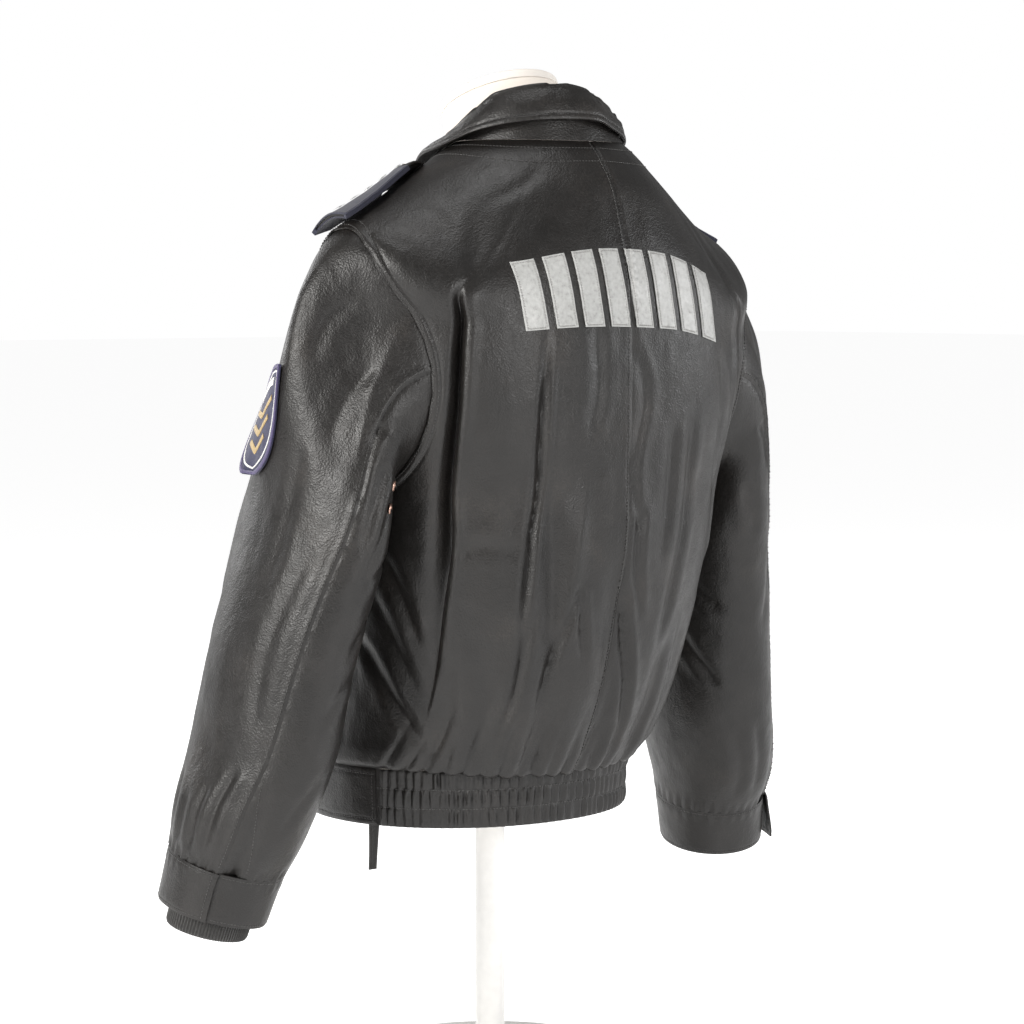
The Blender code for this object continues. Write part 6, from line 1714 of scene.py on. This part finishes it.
def make_zip(sizes, materials):
    """Zip: woven tape strip with rows of moulded teeth that mesh down its middle."""
    t = np.concatenate([np.linspace(-0.1, 0.0, 20)[:-1], np.linspace(0.0, 0.995, 200)])
    point, out = front_frame(t)
    across = np.array([1.0, 0.0, 0.0])
    sides = np.linspace(-1.0, 1.0, 9)
    outer = point[:, None, :] + sides[None, :, None] * CHAIN_HALF_WIDTH * across - out[:, None, :] * 0.0006
    obj = shell("dressed_zip_tape", placed(outer), placed(outer - out[:, None, :] * 0.0012), materials["tape"],
                "zip_chain_black", ["zip_chain"])
    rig.sheet(obj, flat=(0.010, 0.70), held="laid", rests_on=["front_panel_left", "front_panel_right"], area=0.0041)
    run = np.concatenate([[0.0], np.cumsum(np.linalg.norm(np.diff(point, axis=0), axis=1))])
    places = np.arange(0.004, run[-1] - 0.004, 0.0014)
    centre = np.stack([np.interp(places, run, point[:, axis]) for axis in range(3)], axis=-1)
    away = unit(np.stack([np.interp(places, run, out[:, axis]) for axis in range(3)], axis=-1))
    up = unit(np.cross(away, across))
    corners = ((-0.0004, -0.0005), (0.0024, -0.00045), (0.0024, 0.00045), (-0.0004, 0.0005))
    points = []
    faces = []
    for number in range(len(places)):
        flip = 1.0 if number % 2 == 0 else -1.0
        for high, shrink in ((-0.0008, 1.0), (0.0004, 1.0), (0.0008, 0.72)):
            for x, z in corners:
                points.append(centre[number] + across * flip * (0.001 + (x - 0.001) * shrink) + up[number] * z * shrink
                              + away[number] * high)
        first = 12 * number
        for ring in (0, 4):
            for step in range(4):
                after = (step + 1) % 4
                quad = (first + ring + step, first + ring + after, first + ring + 4 + after, first + ring + 4 + step)
                faces.append(quad if flip < 0 else quad[::-1])
        top = (first + 8, first + 9, first + 10, first + 11)
        low = (first + 3, first + 2, first + 1, first)
        faces.append(top if flip < 0 else top[::-1])
        faces.append(low if flip < 0 else low[::-1])
    make_object("zip_teeth", placed(np.array(points)), faces, materials["teeth"], "zip_chain_black", smooth_angle=30.0)
    frame["nodes"]["zip_slider"].material_slots[0].material = materials["silver"]
    frame["nodes"]["zip_pull"].material_slots[0].material = materials["silver"]


def make_form(sizes, materials):
    """Dress form: sections drawn in from the torso surface, neck, cap, pole and base."""
    steps = 144
    angles = np.linspace(0.0, 360.0, steps, endpoint=False)
    signed = np.where(angles > 180.0, angles - 360.0, angles)
    knots = column(FORM_COLUMNS, FORM_ROWS, "t")
    rows = []
    for t in np.concatenate([np.linspace(knots[0], 0.8, 50)[:-1], np.linspace(0.8, knots[-1], 26)]):
        base = torso_base(signed, np.full(steps, t))
        out = torso_base_normal(signed, np.full(steps, t))
        out[:, 2] = out[:, 2] * (1 - np.interp(t, knots, column(FORM_COLUMNS, FORM_ROWS, "upright")))
        inset = np.interp(t, knots, column(FORM_COLUMNS, FORM_ROWS, "inset"))
        wave = np.sin(np.radians(signed))
        deeper = FORM_FRONT_EXTRA * np.clip(-wave * 3, 0.0, 1.0) + FORM_SIDE_EXTRA * np.clip(np.abs(wave) * 3, 0.0, 1.0)
        rows.append(base - unit(out) * (inset + deeper)[:, None])
    middle = rows[0].mean(axis=0)
    low_rows = []
    for share in np.linspace(1.0, 0.0, 9)[:-1]:
        ring = middle + (rows[0] - middle) * (1 - 0.07 * share ** 2 - 0.05 * ramp(share, 0.85, 1.0))
        ring[:, 2] = rows[0][:, 2] + (FORM_LOW - rows[0][:, 2]) * share
        low_rows.append(ring)
    tilt = math.radians(NECK_TILT)
    axis = np.array([0.0, -math.sin(tilt), math.cos(tilt)])
    side = np.array([1.0, 0.0, 0.0])
    turn = np.radians(signed)
    ring = np.cos(turn)[:, None] * side + np.sin(turn)[:, None] * np.cross(axis, side)
    top_middle = np.array([NECK_TOP_X, NECK_TOP_Y, NECK_TOP_Z])
    neck_top = top_middle + ring * NECK_RADIUS
    neck_rows = []
    for share in np.linspace(0.0, 1.0, 22)[1:]:
        ease = share ** 0.75
        neck_rows.append(rows[-1] + (neck_top - rows[-1]) * np.array([ease, ease, share]))
    rows = low_rows + rows + neck_rows
    points = np.concatenate(rows)
    step = np.arange(steps)
    after = (step + 1) % steps
    quads = [np.stack([row * steps + step, row * steps + after, (row + 1) * steps + after,
                       (row + 1) * steps + step], axis=-1) for row in range(len(rows) - 1)]
    faces = [tuple(face) for face in np.concatenate(quads).tolist()]
    faces.append(tuple(range(steps))[::-1])
    faces.append(tuple(range((len(rows) - 1) * steps, len(rows) * steps)))
    make_object("dressed_form", placed(points), faces, materials["form"], "form_cream", ["form_torso"], smooth_angle=60.0)
    profile = [(NECK_RADIUS * 0.99, 0.0), (NECK_RADIUS + 0.0004, 0.0006), (NECK_RADIUS + 0.0004, NECK_CAP * 0.6)]
    profile = profile + [(NECK_RADIUS + 0.0004 - 0.010 * (1 - math.cos(a)), NECK_CAP * 0.6 + NECK_CAP * 0.4 * math.sin(a))
                         for a in np.linspace(0.2, 1.57, 8)]
    turned("dressed_neck_cap", placed(top_middle + axis * 0.0004), axis, profile, 144, materials["cap"],
           "form_cap_cream", ["form_neck_cap"])
    foot = placed(np.array([0.0, -SHOULDER_BACK, -SHOULDER_HEIGHT]))
    up = np.array([0.0, 0.0, 1.0])
    high = SHOULDER_HEIGHT + FORM_LOW - 0.0004
    turned("dressed_pole", foot, up, [(POLE_RADIUS, BASE_HEIGHT + 0.0003), (POLE_RADIUS, high)], 64,
           materials["stand"], "stand_white", ["form_pole"])
    rim = [(BASE_RADIUS - 0.003 + 0.003 * math.cos(a), BASE_HEIGHT - 0.003 + 0.003 * math.sin(a))
           for a in np.linspace(0.0, 1.57, 7)]
    turned("dressed_base", foot, up, [(BASE_RADIUS - 0.001, 0.0), (BASE_RADIUS, 0.001)] + rim + [(0.024, BASE_HEIGHT)],
           128, materials["stand"], "stand_white", ["form_base"])
    turned("base_collar", foot, up, [(0.022, BASE_HEIGHT + 0.0002), (0.022, BASE_HEIGHT + 0.010),
                                     (0.020, BASE_HEIGHT + 0.012), (POLE_RADIUS + 0.0004, BASE_HEIGHT + 0.012),
                                     (POLE_RADIUS + 0.0004, BASE_HEIGHT + 0.0002)], 64, materials["stand"],
           "stand_white", (), True)


CAMERA_PLACE = (1.929, 2.368, 0.806)
CAMERA_TARGET = (0.017, 0.056, 0.584)
CAMERA_LENS = 105.5
FLOOR_GLOW = 0.74
LIGHT_COLUMNS = ("name", "place", "size", "power", "colour")
LIGHT_ROWS = (
    ("key_light", (3.3, 0.2, 1.7), 1.5, 120.0, (1.0, 0.985, 0.955)),
    ("back_light", (0.2, 3.4, 1.2), 1.0, 40.0, (1.0, 0.99, 0.98)),
    ("fill_light", (-2.9, 1.9, 1.2), 1.2, 34.0, (0.98, 0.99, 1.0)),
    ("top_light", (0.2, 0.2, 3.6), 1.6, 26.0, (1.0, 1.0, 1.0)),
    ("front_light", (0.6, -3.6, 1.9), 2.2, 60.0, (1.0, 1.0, 1.0)),
)


class Nodes:
    """Short way to add and link shader nodes of one material."""

    def __init__(self, name, colour, roughness, metallic=0.0):
        self.material = bpy.data.materials.new(name)
        self.material.use_nodes = True
        self.tree = self.material.node_tree
        self.shader = self.tree.nodes["Principled BSDF"]
        self.shader.inputs["Base Color"].default_value = (*colour, 1.0)
        self.shader.inputs["Roughness"].default_value = roughness
        self.shader.inputs["Metallic"].default_value = metallic
        self.place = self.tree.nodes.new("ShaderNodeTexCoord").outputs["Object"]

    def noise(self, scale, detail=3.0, stretch=None):
        """Noise value at a scale per metre."""
        source = self.place
        if stretch:
            mapping = self.tree.nodes.new("ShaderNodeMapping")
            mapping.inputs["Scale"].default_value = stretch
            self.tree.links.new(source, mapping.inputs["Vector"])
            source = mapping.outputs["Vector"]
        node = self.tree.nodes.new("ShaderNodeTexNoise")
        node.inputs["Scale"].default_value = scale
        node.inputs["Detail"].default_value = detail
        self.tree.links.new(source, node.inputs["Vector"])
        return node.outputs[0]

    def cells(self, scale):
        """Distance to the nearest cell middle, smooth between cells."""
        node = self.tree.nodes.new("ShaderNodeTexVoronoi")
        node.feature = "SMOOTH_F1"
        node.inputs["Scale"].default_value = scale
        self.tree.links.new(self.place, node.inputs["Vector"])
        return node.outputs["Distance"]

    def bands(self, scale, direction):
        """Even bands: twill or knit rows."""
        node = self.tree.nodes.new("ShaderNodeTexWave")
        node.bands_direction = direction
        node.inputs["Scale"].default_value = scale
        self.tree.links.new(self.place, node.inputs["Vector"])
        return node.outputs["Fac"]

    def range(self, value, low, high, first, last):
        """Value mapped from low..high to first..last."""
        node = self.tree.nodes.new("ShaderNodeMapRange")
        node.inputs["From Min"].default_value = low
        node.inputs["From Max"].default_value = high
        node.inputs["To Min"].default_value = first
        node.inputs["To Max"].default_value = last
        self.tree.links.new(value, node.inputs["Value"])
        return node.outputs["Result"]

    def add(self, first, second):
        """Sum of two values."""
        node = self.tree.nodes.new("ShaderNodeMath")
        node.operation = "ADD"
        self.tree.links.new(first, node.inputs[0])
        self.tree.links.new(second, node.inputs[1])
        return node.outputs[0]

    def colour(self, value, stops):
        """Base colour through a ramp of (position, colour)."""
        node = self.tree.nodes.new("ShaderNodeValToRGB")
        line = node.color_ramp
        line.elements[0].position = stops[0][0]
        line.elements[0].color = (*stops[0][1], 1.0)
        line.elements[1].position = stops[-1][0]
        line.elements[1].color = (*stops[-1][1], 1.0)
        for position, shade in stops[1:-1]:
            line.elements.new(position).color = (*shade, 1.0)
        self.tree.links.new(value, node.inputs["Fac"])
        self.tree.links.new(node.outputs["Color"], self.shader.inputs["Base Color"])

    def roughness(self, value):
        """Roughness from a value."""
        self.tree.links.new(value, self.shader.inputs["Roughness"])

    def bump(self, *layers):
        """Chain of bumps: each layer is (value, distance in metres, strength)."""
        before = None
        for value, distance, strength in layers:
            node = self.tree.nodes.new("ShaderNodeBump")
            node.inputs["Distance"].default_value = distance
            node.inputs["Strength"].default_value = strength
            self.tree.links.new(value, node.inputs["Height"])
            if before is not None:
                self.tree.links.new(before, node.inputs["Normal"])
            before = node.outputs["Normal"]
        self.tree.links.new(before, self.shader.inputs["Normal"])


def leather_finish(settings):
    """Black satin leather with pebbled grain and paler rubbed places."""
    dark = np.array(settings.leather_colour)
    nodes = Nodes("black_leather_grain", tuple(dark), 0.42)
    nodes.shader.inputs["Specular IOR Level"].default_value = 0.42
    pale = tuple(dark * 2.6 + np.array([0.004, 0.003, 0.002]))
    broad = nodes.noise(16.0, 5.0)
    fine = nodes.noise(420.0, 3.0)
    nodes.colour(nodes.add(nodes.range(broad, 0.3, 0.7, 0.0, 0.75), nodes.range(fine, 0.3, 0.7, -0.12, 0.22)),
                 ((0.15, tuple(dark)), (0.6, tuple(dark * 1.5)), (1.0, pale)))
    nodes.roughness(nodes.add(nodes.range(nodes.noise(55.0, 4.0), 0.3, 0.7, 0.36, 0.46),
                              nodes.range(fine, 0.3, 0.7, -0.04, 0.06)))
    nodes.bump((nodes.noise(85.0, 4.0, (1.0, 1.0, 0.7)), 0.0022, 0.35), (nodes.cells(620.0), 0.00055, 0.55),
               (nodes.noise(1300.0, 2.0), 0.0002, 0.35))
    return nodes.material


def knit_finish():
    """Fine black knit."""
    nodes = Nodes("black_knit_rib", (0.014, 0.013, 0.012), 0.92)
    nodes.shader.inputs["Sheen Weight"].default_value = 0.35
    nodes.shader.inputs["Sheen Roughness"].default_value = 0.5
    value = nodes.noise(700.0, 3.0, (1.0, 1.0, 0.5))
    nodes.colour(value, ((0.25, (0.008, 0.008, 0.007)), (0.8, (0.030, 0.028, 0.027))))
    nodes.bump((value, 0.0004, 0.6), (nodes.bands(420.0, "Z"), 0.0002, 0.4))
    return nodes.material


def cloth_finish(name, dark, pale, scale=330.0):
    """Twill cloth: slanting bands broken up by noise."""
    nodes = Nodes(name, dark, 0.88)
    nodes.shader.inputs["Sheen Weight"].default_value = 0.20
    value = nodes.add(nodes.range(nodes.bands(scale, "DIAGONAL"), 0.0, 1.0, 0.0, 0.5),
                      nodes.range(nodes.noise(900.0), 0.3, 0.7, 0.0, 0.5))
    nodes.colour(value, ((0.1, dark), (0.9, pale)))
    nodes.bump((value, 0.0003, 0.5))
    return nodes.material


def film_finish():
    """Silver-grey reflective film with tiny beads and rubbed specks."""
    nodes = Nodes("reflective_film_beads", (0.46, 0.46, 0.45), 0.42)
    value = nodes.noise(260.0, 5.0)
    nodes.colour(value, ((0.25, (0.24, 0.24, 0.23)), (0.42, (0.34, 0.34, 0.33)), (0.75, (0.42, 0.42, 0.41))))
    nodes.roughness(nodes.range(nodes.noise(90.0), 0.3, 0.7, 0.32, 0.52))
    nodes.bump((nodes.cells(1100.0), 0.0003, 0.35), (nodes.noise(60.0, 4.0), 0.0016, 0.25))
    return nodes.material


def metal_finish(name, colour, roughness):
    """Metal with fine brushed scratches and a little tarnish."""
    nodes = Nodes(name, colour, roughness, 1.0)
    value = nodes.noise(300.0, 4.0, (1.0, 1.0, 6.0))
    shade = tuple(part * 0.72 for part in colour)
    nodes.colour(value, ((0.25, shade), (0.6, colour)))
    nodes.roughness(nodes.range(value, 0.3, 0.7, roughness + 0.10, roughness - 0.04))
    nodes.bump((value, 0.0001, 0.25))
    return nodes.material


def thread_finish(name, colour):
    """Twisted thread."""
    nodes = Nodes(name, colour, 0.62)
    nodes.shader.inputs["Sheen Weight"].default_value = 0.3
    value = nodes.bands(900.0, "DIAGONAL")
    nodes.colour(value, ((0.0, tuple(part * 0.6 for part in colour)), (1.0, colour)))
    nodes.bump((value, 0.0001, 0.5))
    return nodes.material


def plain_finish(name, colour, roughness, scale, depth):
    """Smooth surface with a faint uneven tone and grain."""
    nodes = Nodes(name, colour, roughness)
    value = nodes.noise(scale, 4.0)
    nodes.colour(value, ((0.2, tuple(part * 0.93 for part in colour)), (0.8, colour)))
    nodes.roughness(nodes.range(value, 0.3, 0.7, roughness - 0.05, roughness + 0.05))
    nodes.bump((value, depth, 0.3))
    return nodes.material


FINISHES = {}


def finishes(settings):
    """All materials of the jacket, made once."""
    if FINISHES:
        return FINISHES
    FINISHES["leather"] = leather_finish(settings)
    FINISHES["knit"] = knit_finish()
    FINISHES["navy"] = cloth_finish("navy_cloth_twill", (0.006, 0.006, 0.014), (0.020, 0.021, 0.045))
    FINISHES["patch"] = cloth_finish("patch_cloth_twill", (0.010, 0.010, 0.030), (0.030, 0.030, 0.075))
    FINISHES["film"] = film_finish()
    FINISHES["silver"] = metal_finish("silver_metal_brushed", (0.86, 0.86, 0.85), 0.26)
    FINISHES["copper"] = metal_finish("copper_metal_worn", (0.62, 0.40, 0.32), 0.30)
    FINISHES["thread"] = thread_finish("black_thread", (0.030, 0.028, 0.026))
    FINISHES["grey_thread"] = thread_finish("grey_thread", (0.30, 0.29, 0.28))
    FINISHES["white_thread"] = thread_finish("white_thread", (0.78, 0.77, 0.74))
    FINISHES["gold_thread"] = thread_finish("gold_thread", (0.42, 0.29, 0.11))
    FINISHES["overlock"] = thread_finish("overlock_thread", (0.060, 0.045, 0.13))
    FINISHES["tape"] = cloth_finish("zip_tape_weave", (0.008, 0.008, 0.008), (0.026, 0.025, 0.024), 500.0)
    FINISHES["teeth"] = plain_finish("zip_teeth_black", (0.016, 0.016, 0.016), 0.35, 400.0, 0.0001)
    # painted shade: near-black colour of the disc that stands for the shade inside each eyelet's hole
    FINISHES["hole"] = plain_finish("eyelet_hole_dark", (0.004, 0.004, 0.004), 0.8, 300.0, 0.0001)
    FINISHES["form"] = plain_finish("form_cream_jersey", (0.80, 0.735, 0.665), 0.85, 900.0, 0.0003)
    FINISHES["cap"] = plain_finish("form_cap_cream_board", (0.84, 0.79, 0.73), 0.60, 200.0, 0.0002)
    FINISHES["stand"] = plain_finish("stand_white_paint", (0.82, 0.81, 0.79), 0.36, 120.0, 0.0002)
    return FINISHES


def make_stage(settings):
    """Pale floor, white surroundings, soft lights and the camera."""
    scene = bpy.context.scene
    bpy.ops.mesh.primitive_plane_add(size=80.0, location=(0.0, 0.0, -0.0005))
    floor = bpy.context.object
    floor.name = "floor"
    nodes = Nodes("floor_pale", (0.90, 0.90, 0.90), 0.9)
    nodes.shader.inputs["Emission Color"].default_value = (1.0, 1.0, 1.0, 1.0)
    nodes.shader.inputs["Emission Strength"].default_value = FLOOR_GLOW
    floor.data.materials.append(nodes.material)
    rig.stage(floor)
    world = bpy.data.worlds.new("studio")
    world.use_nodes = True
    tree = world.node_tree
    backdrop = tree.nodes["Background"]
    backdrop.inputs["Color"].default_value = (1.0, 1.0, 1.0, 1.0)
    studio = tree.nodes.new("ShaderNodeBackground")
    studio.inputs["Color"].default_value = (1.0, 1.0, 1.0, 1.0)
    studio.inputs["Strength"].default_value = settings.surroundings
    seen = tree.nodes.new("ShaderNodeLightPath")
    mix = tree.nodes.new("ShaderNodeMixShader")
    tree.links.new(seen.outputs["Is Camera Ray"], mix.inputs["Fac"])
    tree.links.new(studio.outputs["Background"], mix.inputs[1])
    tree.links.new(backdrop.outputs["Background"], mix.inputs[2])
    tree.links.new(mix.outputs["Shader"], tree.nodes["World Output"].inputs["Surface"])
    scene.world = world
    scene.view_settings.view_transform = "Standard"
    target = Vector(CAMERA_TARGET)
    for light in named(LIGHT_COLUMNS, LIGHT_ROWS):
        data = bpy.data.lights.new(light["name"], "AREA")
        data.shape = "DISK"
        data.size = light["size"]
        data.energy = light["power"] * settings.light_power
        data.color = light["colour"]
        lamp = bpy.data.objects.new(light["name"], data)
        lamp.location = light["place"]
        lamp.rotation_euler = (target - Vector(light["place"])).to_track_quat("-Z", "Y").to_euler()
        scene.collection.objects.link(lamp)
    data = bpy.data.cameras.new("photo_camera")
    data.lens = CAMERA_LENS
    data.sensor_width = 36.0
    camera = bpy.data.objects.new("photo_camera", data)
    camera.location = CAMERA_PLACE
    camera.rotation_euler = (target - Vector(CAMERA_PLACE)).to_track_quat("-Z", "Y").to_euler()
    scene.collection.objects.link(camera)
    scene.camera = camera


class JacketSettings(bpy.types.PropertyGroup):
    """Sizes and colours that a user would change."""

    leather: bpy.props.FloatProperty(
        name="Leather thickness",
        description="Wall of the leather panels",
        default=0.0015,
        min=0.001,
        max=0.003,
        precision=4,
        unit="LENGTH",
    )
    crease: bpy.props.FloatProperty(
        name="Crease depth",
        description="Depth of the folds and creases, 1 as photographed",
        default=1.0,
        min=0.0,
        max=1.5,
        subtype="FACTOR",
    )
    crumple: bpy.props.FloatProperty(
        name="Crumple",
        description="Height of the uneven waves of the worn leather",
        default=0.0012,
        min=0.0,
        max=0.003,
        precision=4,
        unit="LENGTH",
    )
    leather_colour: bpy.props.FloatVectorProperty(
        name="Leather colour",
        description="Darkest colour of the leather",
        default=(0.0075, 0.0066, 0.0060),
        min=0.0,
        max=1.0,
        subtype="COLOR",
    )
    light_power: bpy.props.FloatProperty(
        name="Light power",
        description="Factor on the power of the studio lights",
        default=1.0,
        min=0.0,
        max=4.0,
        subtype="FACTOR",
    )
    surroundings: bpy.props.FloatProperty(
        name="Surroundings",
        description="Brightness of the white studio round the jacket",
        default=0.25,
        min=0.0,
        max=2.0,
        subtype="FACTOR",
    )


def run_maker(operator, context, *makers):
    """Runs the functions that make an operator's pieces and stops on an error."""
    settings = context.scene.jacket_settings
    materials = finishes(settings)
    for maker in makers:
        try:
            maker(settings, materials)
        except (KeyError, ValueError, IndexError) as problem:
            raise RuntimeError("%s could not be finished: %s" % (operator.bl_label, problem)) from problem
    return {"FINISHED"}


class JACKET_OT_panels(bpy.types.Operator):
    """Dress the back and front panels"""

    bl_idname = "jacket.panels"
    bl_label = "Body panels"

    def execute(self, context):
        return run_maker(self, context, make_panels)


class JACKET_OT_sleeves(bpy.types.Operator):
    """Dress the sleeves, the leather cuffs and the knit cuffs"""

    bl_idname = "jacket.sleeves"
    bl_label = "Sleeves and cuffs"

    def execute(self, context):
        return run_maker(self, context, make_sleeves, make_cuffs)


class JACKET_OT_waistband(bpy.types.Operator):
    """Dress the elastic and plain parts of the waistband"""

    bl_idname = "jacket.waistband"
    bl_label = "Waistband"

    def execute(self, context):
        return run_maker(self, context, make_waistband)


class JACKET_OT_collar(bpy.types.Operator):
    """Dress the turned-down collar"""

    bl_idname = "jacket.collar"
    bl_label = "Collar"

    def execute(self, context):
        return run_maker(self, context, make_collar)


class JACKET_OT_trim(bpy.types.Operator):
    """Add the reflective bars, sleeve patch, eyelets and front strap end"""

    bl_idname = "jacket.trim"
    bl_label = "Bars, patch and eyelets"

    def execute(self, context):
        return run_maker(self, context, make_bars, make_patch, make_eyelets, make_strap_end)


class JACKET_OT_epaulettes(bpy.types.Operator):
    """Dress the shoulder straps, rank slides and buttons"""

    bl_idname = "jacket.epaulettes"
    bl_label = "Epaulettes"

    def execute(self, context):
        return run_maker(self, context, make_epaulettes)


class JACKET_OT_zip(bpy.types.Operator):
    """Add the zip tape and teeth"""

    bl_idname = "jacket.zip"
    bl_label = "Zip"

    def execute(self, context):
        return run_maker(self, context, make_zip)


class JACKET_OT_sewing(bpy.types.Operator):
    """Sew the rows of stitches beside the seams"""

    bl_idname = "jacket.sewing"
    bl_label = "Stitches"

    def execute(self, context):
        return run_maker(self, context, make_sewing)


class JACKET_OT_form(bpy.types.Operator):
    """Dress the form, its neck cap, pole and base"""

    bl_idname = "jacket.form"
    bl_label = "Dress form"

    def execute(self, context):
        return run_maker(self, context, make_form)


class JACKET_OT_stage(bpy.types.Operator):
    """Add the floor, lights and camera"""

    bl_idname = "jacket.stage"
    bl_label = "Stage"

    def execute(self, context):
        make_stage(context.scene.jacket_settings)
        return {"FINISHED"}


PIECES = ("panels", "sleeves", "waistband", "collar", "trim", "epaulettes", "zip", "sewing", "form", "stage")


class JACKET_PT_sidebar(bpy.types.Panel):
    """Settings and steps of the jacket"""

    bl_idname = "JACKET_PT_sidebar"
    bl_label = "Police uniform jacket"
    bl_space_type = "VIEW_3D"
    bl_region_type = "UI"
    bl_category = "Jacket"

    def draw(self, context):
        settings = context.scene.jacket_settings
        for name in ("leather", "crease", "crumple", "leather_colour", "light_power", "surroundings"):
            self.layout.prop(settings, name)
        for piece in PIECES:
            self.layout.operator("jacket." + piece)


CLASSES = (
    JacketSettings,
    JACKET_OT_panels,
    JACKET_OT_sleeves,
    JACKET_OT_waistband,
    JACKET_OT_collar,
    JACKET_OT_trim,
    JACKET_OT_epaulettes,
    JACKET_OT_zip,
    JACKET_OT_sewing,
    JACKET_OT_form,
    JACKET_OT_stage,
    JACKET_PT_sidebar,
)


def register():
    """Adds the classes and the scene's settings."""
    for item in CLASSES:
        bpy.utils.register_class(item)
    bpy.types.Scene.jacket_settings = bpy.props.PointerProperty(type=JacketSettings)


def unregister():
    """Removes the classes and the scene's settings."""
    del bpy.types.Scene.jacket_settings
    for item in reversed(CLASSES):
        bpy.utils.unregister_class(item)


def main():
    """Builds every piece and writes the boxes of the solids and of the visible pieces."""
    register()
    for piece in PIECES:
        getattr(bpy.ops.jacket, piece)()
    visual_box = [[float(value) for value in corner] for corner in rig.bounds()]
    with open("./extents.json", "w") as sizes:
        json.dump({"cad": CAD_BOX, "visual": visual_box}, sizes)


if __name__ == "__main__":
    main()
